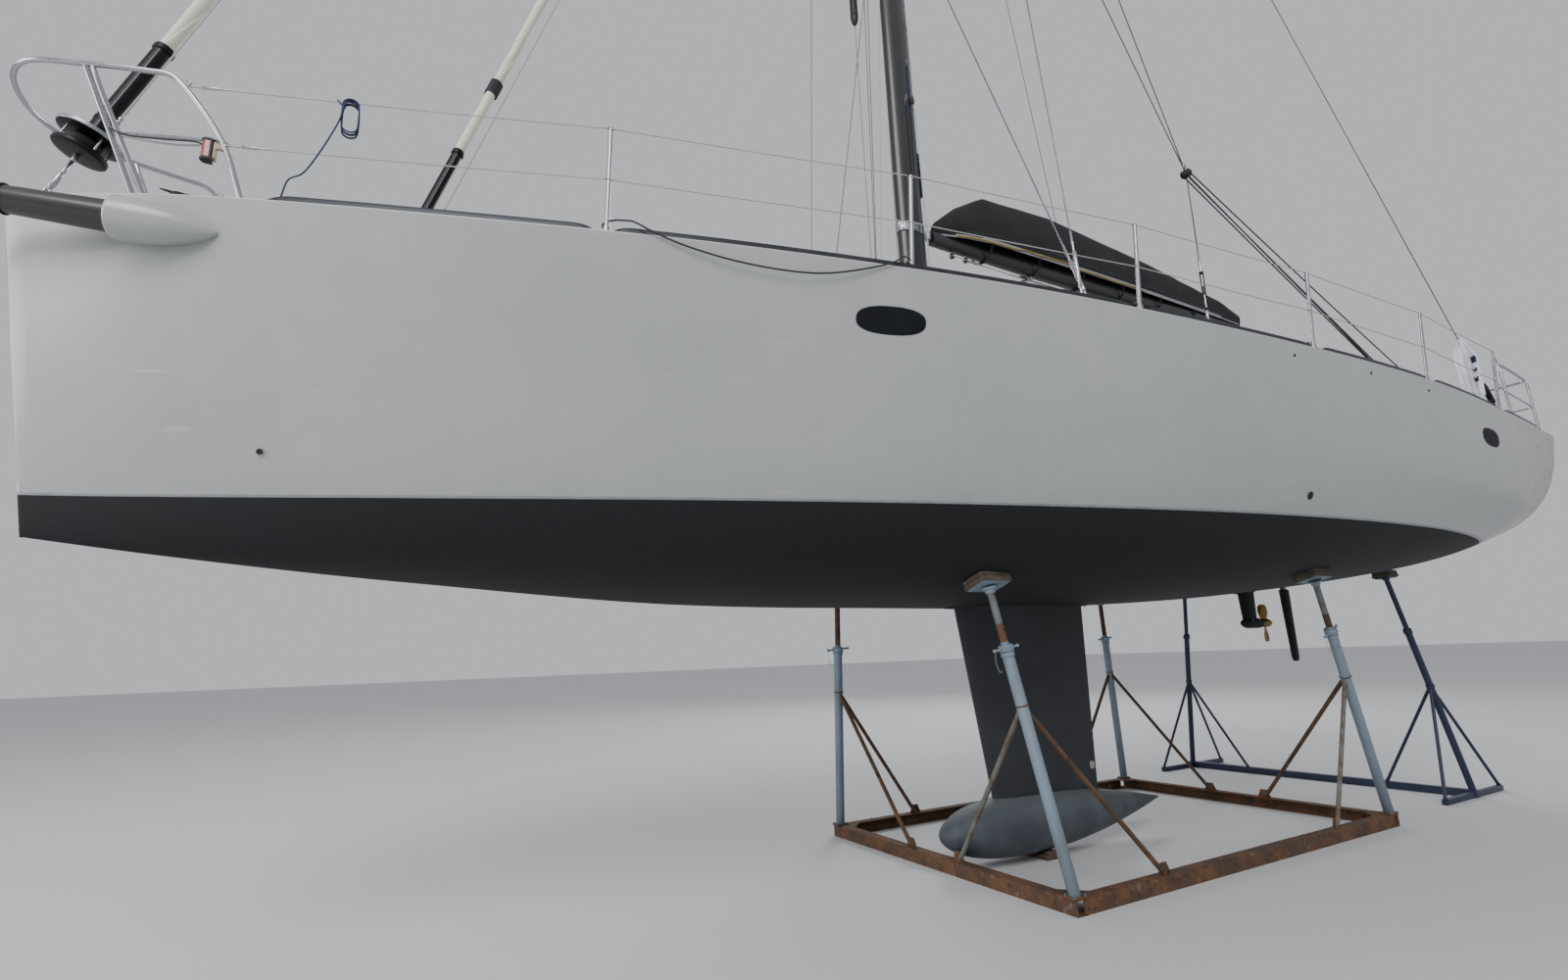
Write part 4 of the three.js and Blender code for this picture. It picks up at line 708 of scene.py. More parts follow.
# Hull side at s: t is 0 on the centreline and 1 at the sheer; gives s, y, z
def hullSide(s, t):
    c = {name: column(hullColumns, name, s) for name in hullColumns if name != "s"}
    k = 1 - t
    y = (3 * k * k * t * c["reach"] * c["beam"] + 3 * k * t * t * (c["beam"] - c["flare"])
         + t ** 3 * c["beam"])
    z = (k ** 3 * c["keel"] + 3 * k * k * t * (c["keel"] + c["rise"]) + 3 * k * t * t * c["bilge"]
         + t ** 3 * c["sheer"])
    drop = c["sheer"] - z
    stem = rakes["stem"] * drop * max(0, 1 - s / rakes["stemUntil"]) ** 2
    aft = max(0, (s - rakes["sternFrom"]) / (hullEnd - rakes["sternFrom"])) ** 2
    return s + stem - rakes["stern"] * drop * aft, y, z


halvings = 22   # of the search below, which ends within a hundredth of a millimetre


def hullPart(s, index, value):   # t where the side reaches this breadth (index 1) or height (index 2)
    low, high = 0.0, 1.0
    for _ in range(halvings):
        middle = (low + high) / 2
        if hullSide(s, middle)[index] < value:
            low = middle
        else:
            high = middle
    return (low + high) / 2


def hullHalf(s, z):
    return hullSide(s, hullPart(s, 2, z))[1]


def bottomAt(s, y):
    return hullSide(s, hullPart(s, 1, abs(y)))[2]


# Cords
def addCord(name, path, radius, surface, slot, replaces, **facts):
    made = addPiece(name, {surface: [tube(path, radius, 10)]}, replaces)
    total = sum((b - a).length for a, b in zip(path, path[1:]))
    print("cord", name, round(total, 3), "m,", len(path), "points")
    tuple(path[0])


# Furling line: sags outside the port sheer between the fairleads of the first two stanchions
furling = {"route": ((2638, -54, 90), (2681, -32, 90), (2746, -6, 78), (2816, 14, 30), (2980, 12, -35),
                     (3270, 12, -100), (3600, 12, -120), (3790, 12, -100), (4080, 12, -14), (4176, 14, 30),
                     (4228, -4, 76), (4272, -30, 90), (4315, -54, 90)), "length": 1.84}
furlingPath = smoothPath([at(s, beamAt(s) + out, sheerAt(s) + up) for s, out, up in furling["route"]], 55)
addCord("furlingLine", furlingPath, 5, "blackBraid", "rope_dark", ["furling_line"],
        length=furling["length"], far_end="object", stiffness="limp", lay="hanging")

# Spare line hung up in a hank on the port lifeline: three loops on each side of the wire and a tail that
# runs to the deck
hank = {"s": 1420, "loops": ((708, 4300, 92), (716.4, 4296, 96), (724.8, 4302, 90), (745.2, 4297, 95),
                             (753.6, 4301, 91), (762, 4298, 94)), "half": 36, "steps": 16, "length": 3.56}


def hankPath():
    points = [at(hank["s"] - 62, 726, 4392), at(hank["s"] - 58, 716, 4396), at(hank["s"] - 48, 709, 4386)]
    loops = hank["loops"]
    for i, (y, z, tall) in enumerate(loops):
        after = loops[min(i + 1, len(loops) - 1)][0]
        for k in range(hank["steps"]):
            a = 2 * math.pi * (k / hank["steps"]) + math.pi * 0.8
            straight = tall - hank["half"]
            up = hank["half"] * math.sin(a) + math.copysign(min(straight, straight * abs(math.sin(a)) * 4),
                                                            math.sin(a))
            points.append(at(hank["s"] + hank["half"] * math.cos(a),
                             y + (after - y) * max(0, k / hank["steps"] - 0.5) * 2, z + up))
    s, y, z = hank["s"], loops[-1][0], 4240
    points += [at(s - 44, y + 6, z + 10), at(s - 66, y + 2, z - 60), at(s - 110, y - 30, z - 160),
               at(s - 180, y - 90, z - 270), at(s - 240, 620, 3950),
               at(s - 280, 560, deckTop(s - 280, 560) + 12), at(s - 330, 530, deckTop(s - 330, 530) + 5),
               at(s - 400, 500, deckTop(s - 400, 500) + 4.5)]
    return points


addCord("spareLineHank", smoothPath(hankPath(), 9), 4, "navyBraid", "rope_blue", ["rope_hank"],
        length=hank["length"], far_end="bare", stiffness="limp", lay="coiled")
print("cords made")


# Hull
cockpit = {"s0": 8980, "s1": 11880, "seatZ": 3270, "soleZ": 2960, "seatY": 1000, "soleY": 420,
           "helmS": 10450, "helmY": 1120}
wayDown = {"s0": 8200, "s1": 8980, "half": 290, "z0": 2960}
sideWindow = {"s": 4170, "z": 3412, "half": 215, "tall": 85, "round": 2.5}
sternLight = {"s": 10250, "z": 3237, "half": 215, "tall": 85, "round": 2.5}
waterline = {"z": 2420, "band": 13}


def hatchWell():
    return box(3125, 3575, -225, 225, 3100, 4300, 12)


def cockpitCuts():
    c, top = cockpit, 4200
    return [box(c["s0"], c["s1"], -c["seatY"], c["seatY"], c["seatZ"], top, 30),
            box(c["s0"] + 1, c["s1"] - 60, -c["soleY"], c["soleY"], c["soleZ"], top, 26),
            box(c["helmS"], c["s1"] - 1, -c["helmY"], c["helmY"], c["soleZ"], top, 28),
            box(wayDown["s0"], wayDown["s1"] + 30, -wayDown["half"], wayDown["half"], wayDown["z0"], 4300,
                4), hatchWell()]


# Rounded outline on the hull side, standing out from it by so many mm
def outlineOnSide(w, part, out, count=44):
    points = []
    power = 2 / w["round"]
    for a in turnsOf(count):
        u, v = (math.copysign(abs(f) ** power, f) for f in (math.cos(a), math.sin(a)))
        s, z = w["s"] + part * w["half"] * u, w["z"] + part * w["tall"] * v
        points.append(at(s, hullHalf(s, z) + out, z))
    return points


def hullRing(s, count=27):
    cuts = [hullPart(s, 2, waterline["z"]), hullPart(s, 2, waterline["z"] + waterline["band"])]
    steps = list(np.linspace(0, cuts[0], count)) + list(np.linspace(cuts[1], 1, count))
    return [hullSide(s, t) for t in steps]


def buildHull():
    stations = sorted(set(np.round(np.concatenate([np.linspace(0, 900, 14),
                                                   np.linspace(900, hullEnd - 12, 92)]), 1)))
    sides = [hullRing(s) for s in stations]
    # the stem and the stern edge are eased
    first, last = sides[0], sides[-1]
    sides = [[(s - 15, 0.12 * y, z) for s, y, z in first],
             [(s - 11, 0.6 * y, z) for s, y, z in first]] + sides
    middle = np.mean([p[2] for p in last])
    sides.append([(s + 9, y * 0.996, z + math.copysign(3, middle - z)) for s, y, z in last])
    sides.append([(s + 12, y * 0.988, z + math.copysign(10, middle - z)) for s, y, z in last])
    rings = [[at(*p) for p in side] + [at(s, -y, z) for s, y, z in side[:0:-1]] for side in sides]
    points, faces, _ = loft(rings)
    perRow = len(rings[0])
    half = len(sides[0])
    line = half // 2 - 1   # the strip between the two paints
    kinds = {"rolledAntifouling": [], "bootLine": [], "topsideEnamel": []}
    for number, face in enumerate(faces):
        if len(face) > 4:
            kinds["topsideEnamel"].append(face)
            continue
        c = number % perRow
        c = c if c < half - 1 else perRow - 1 - c
        kinds["rolledAntifouling" if c < line else "bootLine" if c == line
              else "topsideEnamel"].append(face)
    parts = {k: [(points, v, np.zeros((sum(len(f) for f in v), 2)))] for k, v in kinds.items()}
    housing = turned([(0, 0), (88, 0), (97, 3), (103, 12), (104, 70), (101, 130), (94, 190), (82, 250),
                      (64, 310), (40, 370), (16, 410), (0, 425)],
                     sprit["root"], sprit["root"] - sprit["tip"], 40)
    parts["topsideEnamel"].append(housing)
    mesh = meshOf("hull", parts, 30)
    cutters = {"nonSlip": cockpitCuts(), "dullAcrylic": []}
    for w in (sideWindow, sternLight):
        hole = loft([outlineOnSide(w, 1, -14), outlineOnSide(w, 1, 60)])
        cutters["dullAcrylic"] += [hole] + mirrored([hole])
    mesh = cutMesh(mesh, cutters, 30)
    addObject("hullShell", mesh, "yacht", ["hull"])


sprit = {"root": at(500, 390, 3690), "tip": at(-742, 130, 3780), "rootRadius": 75, "tipRadius": 38}
buildHull()
print("hull made")


def windowShapes(w):
    rings = [outlineOnSide(w, part, out) for part, out in ((0.02, -13), (0.99, -13), (0.99, -6),
                                                           (0.975, -4.5), (0.8, -4.5), (0.6, -4.5),
                                                           (0.4, -4.5), (0.2, -4.5), (0.02, -4.5))]
    seal = outlineOnSide(w, 0.995, -4)
    return {"dullAcrylic": [loft(rings)], "greySealant": [tube(seal, 4.5, 10, looped=True)]}


addPair("sideWindow", windowShapes(sideWindow), ["window"], crease=50)
addPair("sternPortlight", windowShapes(sternLight), crease=50)

# Deck with its toe rails
railRuns = ((1100, 2560), (2660, 5830), (5960, 7530), (7650, 9120), (9250, 10620), (10860, 11900))


def deckRing(s, lift=0.0, depth=0.0):
    half = deckHalf(s)
    bottom = sheerAt(s) + 0.3 - depth
    top = [half * (1 - 2 * i / 30) for i in range(31)]
    top[0], top[-1] = half - min(4, half / 20), min(4, half / 20) - half
    return ([at(s, half, bottom), at(s, half, sheerAt(s) + 8 + lift)] + [at(s, y, deckTop(s, y) + lift)
            for y in top] + [at(s, -half, sheerAt(s) + 8 + lift), at(s, -half, bottom)])


def toeRail(s0, s1):
    rings = []
    ramp, spacing, lowEnd, rise = 90, 220, 8, 26
    count = max(6, round((s1 - s0) / spacing))
    fore = [s0, s0 + 25, s0 + 55, s0 + ramp]
    aft = [s1 - ramp, s1 - 55, s1 - 25, s1]
    for s in fore + list(np.linspace(s0 + ramp, s1 - ramp, count)[1:-1]) + aft:
        run = min(s - s0, s1 - s) / ramp
        height = lowEnd + rise * (1 if run >= 1 else math.sin(run * math.pi / 2) ** 0.8)
        outer, z = deckHalf(s) - 5, sheerAt(s) + 10
        rings.append([at(s, outer - y, z + h) for y, h in ((0, 0), (28, 0), (28, 5), (24, 7),
                                                           (22, height - 4), (20, height), (6, height),
                                                           (3, height - 4), (2, 7), (0, 5))])
    return loft(rings)


def buildDeck():
    stations = list(np.linspace(20, hullEnd - 14, 76))
    mesh = cutMesh(meshOf("deck", {"deckGelcoat": [loft([deckRing(s) for s in stations])]}),
                   {"deckGelcoat": cockpitCuts()})
    addObject("deckMoulding", mesh, "yacht", ["deck"])
    rails = [toeRail(*run) for run in railRuns]
    addPiece("toeRails", {"anodisedRail": rails + mirrored(rails)})
    # low coaming under the fore hatch
    h = foreHatch
    frameShape = meshOf("hatchFrame",
                        {"deckGelcoat": [box(h["s"] - h["half"] + 6, h["s"] + h["half"], -h["half"],
                                             h["half"], h["z"] - 60, h["z"], 3, 24)]})
    addObject("foreHatchCoaming", cutMesh(frameShape, {"deckGelcoat": [hatchWell()]}), "yacht")


foreHatch = {"s": 3350, "half": 255, "z": deckTop(3095, 0) + 12}
roofHatch = {"s": 6900, "half": 235, "z": roofTop(6900) + 22}
slideZ = roofTop(wayDown["s0"]) + 38
buildDeck()


# Non-slip panels: slabs 1.5 mm thick that follow the deck between two lines along it
def deckPanel(s0, s1, inner, outer, surface, corner=60):
    rings = []
    fore, aft = [s0, s0 + corner * 0.3, s0 + corner], [s1 - corner, s1 - corner * 0.3, s1]
    count = max(3, round((s1 - s0) / 160))
    for s in fore + list(np.linspace(s0 + corner, s1 - corner, count)[1:-1]) + aft:
        near = min(s - s0, s1 - s) / corner
        shrink = 0 if near >= 1 else corner * (1 - math.sqrt(1 - (1 - near) ** 2))
        a, b = inner(s) + shrink, outer(s) - shrink
        ys = [a + (b - a) * i / 6 for i in range(7)]
        under = [at(s, y, surface(s, y) - 2) for y in ys]
        rings.append(under + [at(s, y, surface(s, y) + 1.5) for y in ys[::-1]])
    return loft(rings)


def buildPanels():
    rail = lambda s: beamAt(s) - 75
    foot = lambda s: column(roofColumns, "foot", s) + 55
    panels = [deckPanel(900, 3020, lambda s: 60, rail, deckTop),
              deckPanel(3660, 4230, lambda s: 40, rail, deckTop),
              deckPanel(3080, 3620, lambda s: 300, rail, deckTop)]
    for s0, s1 in ((4330, 5400), (5700, 6480), (6700, 8430), (8620, 8930)):
        panels.append(deckPanel(s0, s1, foot, rail, deckTop))
    panels.append(deckPanel(9020, 10380, lambda s: cockpit["seatY"] + 60, rail, deckTop))
    panels.append(deckPanel(10480, 11820, lambda s: cockpit["helmY"] + 60, rail, deckTop))
    seat = lambda s, y: cockpit["seatZ"] + 1
    panels.append(deckPanel(9020, 10420, lambda s: cockpit["soleY"] + 40,
                            lambda s: cockpit["seatY"] - 60, seat))
    addPiece("nonSlipPanels", {"nonSlip": panels + mirrored(panels)})
    sole = lambda s, y: cockpit["soleZ"] + 1
    teak = [deckPanel(9010, 10440, lambda s: 8, lambda s: cockpit["soleY"] - 36, sole, 20),
            deckPanel(10480, 11790, lambda s: 8, lambda s: cockpit["helmY"] - 60, sole, 30)]
    addPiece("teakSole", {"caulkedTeak": teak + mirrored(teak)})


# Coachroof
def roofRing(s, count=46):
    foot, top = column(roofColumns, "foot", s), column(roofColumns, "top", s)
    crown = roofTop(s)
    points = [(foot + 25, sheerAt(s) - 60), (foot, deckTop(s, foot) + 4), (top + 25, crown - 95),
              (top - 40, crown - 45), (top * 0.5, crown - 10), (0, crown)]
    half = smoothPath([at(s, y, z) for y, z in points], 22)
    picked = [half[round(i * (len(half) - 1) / (count - 1))] for i in range(count)]
    return picked + [acrossShip(p) for p in picked[-2::-1]]


def buildCoachroof():
    stations = [4300, 4380, 4480, 4600, 4750, 4900] + list(np.linspace(5050, 8940, 44)) + [8952, 8960]
    parts = {"deckGelcoat": [loft([roofRing(s) for s in stations])]}
    middle = mast["s"]
    parts["deckGelcoat"].append(box(middle - 210, middle + 210, -150, 150, mast["step"] - 160, mast["step"],
                                    8, 60))
    for k in (1, -1):
        y = k * (wayDown["half"] + 20)
        parts["deckGelcoat"].append(box(wayDown["s0"] - 640, wayDown["s1"] - 20, y - 18, y + 18,
                                        slideZ - 130, slideZ, 3, 6))
    h = roofHatch
    parts["deckGelcoat"].append(box(h["s"] - h["half"] + 6, h["s"] + h["half"], -h["half"], h["half"],
                                    h["z"] - 82, h["z"], 3, 24))
    cut = [box(wayDown["s0"], wayDown["s1"] + 1, -wayDown["half"], wayDown["half"], wayDown["z0"],
               slideZ + 200, 4)]
    addObject("coachroofMoulding", cutMesh(meshOf("roof", parts), {"deckGelcoat": cut}), "yacht",
              ["coachroof"])


mast = {"s": 5635, "chord": 135, "width": 75, "step": 4080, "top": 20600, "taperFrom": 17000, "taper": 0.38}
buildCoachroof()
buildPanels()
print("deck and coachroof made")


# Fin, bulb and the block that carries them
def foilHalf(x):   # half thickness of a foil at x of its chord, 1 at the thickest
    return max(0.02, 10 * (0.2969 * math.sqrt(x) - 0.126 * x - 0.3516 * x ** 2 + 0.2843 * x ** 3
                           - 0.1015 * x ** 4))


def foilSection(chord, thick, count=16):
    xs = [(1 - math.cos(math.pi * i / count)) / 2 for i in range(count + 1)]
    upper = [(x * chord, thick / 2 * foilHalf(x)) for x in xs]
    return upper + [(x, -y) for x, y in upper[-1:0:-1]]


def foilRing(s0, chord, thick, z):
    return [at(s0 + x, y, z) for x, y in foilSection(chord, thick)]


keel = {"top": (5700, 1560, 210, 2400), "foot": (6010, 1160, 150, 360)}
bulb = {"nose": 5470, "length": 2460, "z": 250, "half": 215, "width": 250,
        "shape": ((0, 0.02), (0.004, 0.17), (0.012, 0.29), (0.04, 0.5), (0.12, 0.82), (0.25, 1),
                  (0.45, 0.98), (0.65, 0.76), (0.85, 0.38), (0.97, 0.1), (1, 0.03))}


def bulbRings():
    shape = smoothPath([Vector((part, half, 0)) for part, half in bulb["shape"]], 28)
    rings = []
    for p in shape:
        s, half = bulb["nose"] + p.x * bulb["length"], max(p.y, 0.004)
        rings.append([at(s, bulb["width"] * half * math.cos(a), bulb["z"] + 10 * p.x
                         + bulb["half"] * half * math.sin(a)) for a in turnsOf(40)])
    return rings


def finShapes():
    parts = np.linspace(0, 1, 26)
    rows = [[a + (b - a) * part for a, b in zip(keel["top"], keel["foot"])] for part in parts]
    fin = loft([foilRing(*row) for row in rows])
    # bead of filler where the fin meets the bulb, and the flange let into the hull
    s0, chord, thick, _ = keel["foot"]
    beadPath = []
    for x, y in foilSection(chord + 16, thick + 12, 30):
        s = s0 - 8 + x
        part = (s - bulb["nose"]) / bulb["length"]
        half = column({"s": [p for p, _ in bulb["shape"]], "v": [h for _, h in bulb["shape"]]}, "v", part)
        rise = math.sqrt(max(0.0, 1 - (y / (bulb["width"] * half)) ** 2))
        beadPath.append(at(s, y, bulb["z"] + 10 * part + bulb["half"] * half * rise + 1))
    s0, chord, thick, _ = keel["top"]
    flange = []
    for x, y in foilSection(chord + 60, thick + 60, 30):
        s = s0 - 18 + x
        flange.append(at(s, y, bottomAt(s, abs(y)) - 3))
    return [fin, tube(beadPath, 7, 8, looped=True), tube(flange, 6, 8, looped=True)]


def buildKeel():
    addPiece("keelFin", {"paintedCastIron": finShapes()}, ["keel_fin"])
    addPiece("keelBulb", {"scouredIronWithPaintedTopLight": [loft(bulbRings())]}, ["keel_bulb"])
    # zinc at the fin's trailing edge, on its strap
    strap = [at(7080, 0, 640), at(7125, 0, 640), at(7125, 0, 560), at(7080, 0, 560)]
    zinc = box(7095, 7150, -21, 21, 568, 632, 7, 9)
    heads = [turned([(0, 0), (9, 0), (9, 4), (5, 7), (0, 7)], at(7122, 21, z), toPort, 6)
             for z in (585, 615)]
    addPiece("finAnode", {"castZinc": [zinc], "polishedStainless": heads + mirrored(heads) + [
        plate([p + toPort * (-0.003) for p in strap], toPort * 0.006)]})
    planks = [box(6330, 6390, -170, 168, 0, 37, 3), box(6394, 6455, -168, 170, 0, 37, 3),
              box(6459, 6520, -170, 166, 0, 37, 3)]
    chocks = []
    for k in (1, -1):
        outline = [at(6345, k * 104, 38), at(6345, k * 168, 38), at(6345, k * 164, 62),
                   at(6345, k * 133, 61)]
        chocks.append(plate(outline, Vector((-0.16, 0, 0)), 1.5))
    nails = [turned([(0, 0), (6, 0), (6, 2), (0, 3)], at(s, k * 152, 61.5), upward, 10)
             for s in (6372, 6425, 6480) for k in (1, -1)]
    addPiece("keelBlock", {"sawnTimber": planks + chocks, "galvanisedTube": nails},
             ["keel_block"])


buildKeel()
print("keel made")

# Bowsprit and stem fitting


def buildBow():
    root, tip = sprit["root"], sprit["tip"]
    axis = (tip - root).normalized()
    length = (tip - root).length * 1000
    spar = ([(0, 0), (75, 0), (74, 30)]
            + [(75 + (38 - 75) * h / length, h) for h in np.linspace(60, length - 40, 12)]
            + [(39, length - 38), (39, length - 3), (36, length), (0, length)])
    eye = tip + axis * 0.012
    parts = {"lacqueredCarbon": [turned(spar, root, axis, 36)],
             "polishedStainless": [turned([(0, -4), (30, -4), (34, 0), (34, 5), (12, 8), (9, 14), (0, 14)],
                                          tip, axis, 28), ringOf(eye + axis * 0.016, toPort, 15, 4)],
             "blackRubber": [ringOf(onWay(root, tip, 408), axis, 67, 5)]}
    for d in (180, 900, 1120):   # whipped collars that hold the tack line's fairleads
        put(parts, "blackAnodised", turned([(0, -14), (60 - d * 0.012, -14), (63 - d * 0.012, -11),
                                            (63 - d * 0.012, 11), (60 - d * 0.012, 14), (0, 14)],
                                           onWay(tip, root, 60 + d * 0.5), axis, 32))
    addPiece("bowspritSpar", parts, ["bowsprit"])


def buildStemFitting():
    z = deckTop(150, 0)
    lug = [(70, z + 6), (200, z + 6), (196, z + 40), (168, 3902), (146, 3912), (126, 3912), (104, 3900),
           (76, z + 40)]
    cheeks = []
    for y in (-22, 16):
        side = [(52, z + 10), (395, z + 10), (360, z + 30), (120, z + 44), (58, z + 40), (44, z + 26)]
        cheeks.append(plate([at(s, y, h) for s, h in side], toPort * 0.006, 1))
    bolts = [turned([(0, 0), (8, 0), (8, 5), (4.5, 5), (4.5, 11), (0, 12)], at(s, y, z + 12), upward, 6)
             for s in (235, 285, 335, 385) for y in (-13, 13)]
    pins = [rod(at(136, -24, 3896), at(136, 24, 3896), 7), rod(at(96, -16, z + 24), at(96, 16, z + 24), 6),
            rod(at(176, -16, z + 24), at(176, 16, z + 24), 6)]
    steel = [box(40, 420, -26, 26, z - 6, z + 12, 2.5, 8),
             plate([at(s, -7, h) for s, h in lug], toPort * 0.014, 1)]
    parts = {"polishedStainless": steel + cheeks + bolts + pins,
             "castBronze": [ringOf(at(104, 0, z + 34), Vector((1, 0, 0.2)), 17, 4.5),
                            ringOf(at(182, 0, z + 34), Vector((1, 0, -0.3)), 17, 4.5)],
             "mouldedNylon": [turned([(0, -14), (17, -14), (12, -6), (12, 6), (17, 14), (0, 14)],
                                     at(62, 0, z + 28), toPort, 24)]}
    addPiece("stemFitting", parts, ["stem_fitting"])


buildBow()
buildStemFitting()


# Pulpit, pushpits, stanchions and lifelines
def footPlate(p, radius=30, high=16):
    return turned([(0, 0), (radius, 0), (radius, 3), (radius - 3, 5), (16.5, 6), (15.5, high),
                   (14, high + 1.5), (0, high + 2)], p, upward, 28)


def footScrews(p, reach=22, count=3):
    return [turned([(0, 0), (4.5, 0), (4, 1.6), (2.2, 2.6), (0, 2.8)],
                   p + Vector((math.cos(a), math.sin(a), 0)) * (reach / 1000) + upward * 0.0048, upward, 12)
            for a in (turn + 0.5 for turn in turnsOf(count))]


def onDeck(s, inset, sink=0):
    y = beamAt(s) - inset
    return at(s, y, deckTop(s, y) + sink)


pulpitZ = 4450


def buildPulpit():
    rear = onDeck(985, 62, 3)
    half = [rear, at(880, 500, 4150), at(690, 500, pulpitZ - 40), at(640, 492, pulpitZ - 4),
            at(560, 473, pulpitZ), at(310, 400, pulpitZ), at(70, 300, pulpitZ), at(-10, 170, pulpitZ)]
    mirror = [acrossShip(p) for p in half[::-1]]
    parts = {"polishedStainless": [tube(smoothPath(half + [at(-35, 0, pulpitZ)] + mirror, 22), 13, 20)]}
    steel = parts["polishedStainless"]
    for k in (1, -1):
        fore = at(520, k * 205, deckTop(520, 205) + 3)
        foreTop = at(310, k * 396, pulpitZ - 8)
        steel.append(tube([fore, foreTop], 13, 20))
        beside = [at(566, k * 214, deckTop(566, 214) + 3), at(356, k * 398, pulpitZ - 60),
                  at(338, k * 404, pulpitZ - 10)]
        steel.append(tube(smoothPath(beside, 30), 11, 18))
        steel += [tube([at(412, k * 297, 4180), at(880, k * 499, 4150)], 9, 16),
                  ringOf(at(721, k * 504, pulpitZ - 30), Vector((0, 1, 0.3)), 11, 3.5),
                  ringOf(at(909, k * 508, 4133), Vector((0, 1, 0.3)), 11, 3.5)]
        for s, y in ((985, beamAt(985) - 62), (520, 205), (566, 214)):
            p = at(s, k * y, deckTop(s, y) - 4)
            steel += [footPlate(p)] + footScrews(p)
        # low socket rail between the pulpit's legs, cable to the lamp
        steel.append(tube(smoothPath([at(412, k * 298, 4170), at(700, k * 424, 4120),
                                      at(905, k * 500, 4140)], 30), 5, 10))
        cable = [at(400, k * 314, 4196), at(432, k * 334, 4172), at(500, k * 368, 4144),
                 at(640, k * 430, 4128), at(790, k * 474, 4128), at(828, k * 478, 4108)]
        put(parts, "blackRubber", tube(smoothPath(cable, 20), 4, 8))
    addPiece("pulpitRail", parts, ["pulpit"])


def buildPushpits():
    def rail(s, up):
        return at(s, beamAt(s) - 70, sheerAt(s) + up)
    s0, s1, inner = 11300, 12200, 900
    innerTop, innerLow = at(s1, inner, sheerAt(s1) + 600), at(s1, inner, sheerAt(s1) + 310)
    innerFoot = at(s1, inner, deckTop(s1, inner) + 2)
    steel = [tube(bent([onDeck(s0, 70, 2), rail(s0, 600), rail((s0 + s1) / 2, 603), rail(s1, 600), innerTop,
                        innerFoot], 85), 13, 20),
             tube(bent([rail(s0, 310), rail((s0 + s1) / 2, 311), rail(s1, 310), innerLow], 70), 9, 16),
             tube([onDeck(s1, 70, 2), rail(s1, 585)], 13, 20), ringOf(rail(s0 - 20, 598),
            Vector((0, 1, 0.2)), 11, 3.5), ringOf(rail(s0 - 20, 308), Vector((0, 1, 0.2)), 11, 3.5)]
    for p in (onDeck(s0, 70, -5), onDeck(s1, 70, -5), innerFoot - upward * 0.007):
        steel += [footPlate(p)] + footScrews(p)
    # stern light on the inner leg, and the horseshoe bracket's clamp
    lamp = turned([(0, 0), (19, 0), (22, 6), (22, 40), (18, 47), (0, 49)],
                  at(s1 + 24, inner, sheerAt(s1) + 420), upward, 24)
    clamp = box(s1 - 22, s1 + 24, inner - 17, inner + 17, sheerAt(s1) + 425, sheerAt(s1) + 452, 3)
    addPair("pushpitRail", {"polishedStainless": steel, "mouldedNylon": [lamp, clamp]},
            ["pushpit"])


stanchions = {"at": (2636, 4317, 5943, 7631, 9240, 10890), "inset": 62, "lean": 55, "height": 610,
              "radius": 14, "wireSag": 0.0024, "middle": 0.52}


def buildLifelines():
    steel, wires, nylon = [], [], []
    uppers, lowers = [], []
    for s in stanchions["at"]:
        foot = onDeck(s, stanchions["inset"], -8)
        up = Vector((0, stanchions["lean"] / 1000, stanchions["height"] / 1000))
        lift = lambda part: foot + up * part
        steel += [footPlate(foot + upward * 0.003, 32, 15)] + footScrews(foot + upward * 0.006, 24, 4)
        steel.append(rod(foot, lift(0.085), 20, 19, 24, 2))
        steel.append(tube([foot, lift(0.985)], stanchions["radius"] - 1, 20))
        steel.append(turned([(0, 0), (13.5, 0), (14.5, 4), (14.5, 16), (11, 21), (5, 23), (0, 23.5)],
                            lift(0.972), up, 24))
        steel.append(ringOf(lift(stanchions["middle"]), up, 13, 2.2))
        nylon += [rod(lift(stanchions["middle"]) + Vector((-0.016, 0, 0)),
                      lift(stanchions["middle"]) + Vector((0.016, 0, 0)), 5.5, sides=12),
                  rod(lift(1) + Vector((-0.017, 0, -0.002)),
                      lift(1) + Vector((0.017, 0, -0.002)), 6, sides=12)]
        uppers.append(lift(1))
        lowers.append(lift(stanchions["middle"]))
    end = at(11284, beamAt(11300) - 70, sheerAt(11300) + 598)
    runs = ([at(721, 500, pulpitZ - 46)] + uppers + [end],
            [at(909, 506, 4128)] + lowers + [end - upward * 0.29])
    for run in runs:
        path = []
        for a, b in zip(run, run[1:]):   # each span sags a little
            dip = stanchions["wireSag"] * (b - a).length
            path += [between(a, b, t) - Vector((0, 0, 4 * dip * t * (1 - t)))
                     for t in np.linspace(0, 1, 9)[:-1]]
        path.append(run[-1])
        wires.append(tube(path, 3.2, 10))
        for a, b in ((run[0], run[1]), (run[-1], run[-2])):   # swaged ends with their bottle screws
            steel.append(rod(onWay(a, b, 6), onWay(a, b, 58), 4.2, sides=12))
            steel.append(turned([(0, 60), (7, 60), (7.5, 63), (7.5, 128), (7, 131), (4.6, 132), (4.6, 190),
                                 (0, 191)], a, b - a, 16))
    # fairlead blocks at the feet for the furling line
    for s in stanchions["at"][:4]:
        foot = onDeck(s, stanchions["inset"], 62)
        nylon.append(turned([(0, -9), (16, -9), (18, -7), (18, -4), (12, 0), (18, 4), (18, 7), (16, 9),
                             (0, 9)], foot + Vector((0, -0.03, 0.004)), Vector((0, 1, 0.25)), 20))
        steel.append(rod(foot + toPort * (-0.048), foot + Vector((0, -0.006, 0.012)), 4, sides=10))
    addPair("stanchionsAndLifelines", {"polishedStainless": steel, "coveredWire": wires,
                                       "mouldedNylon": nylon}, ["stanchions"])


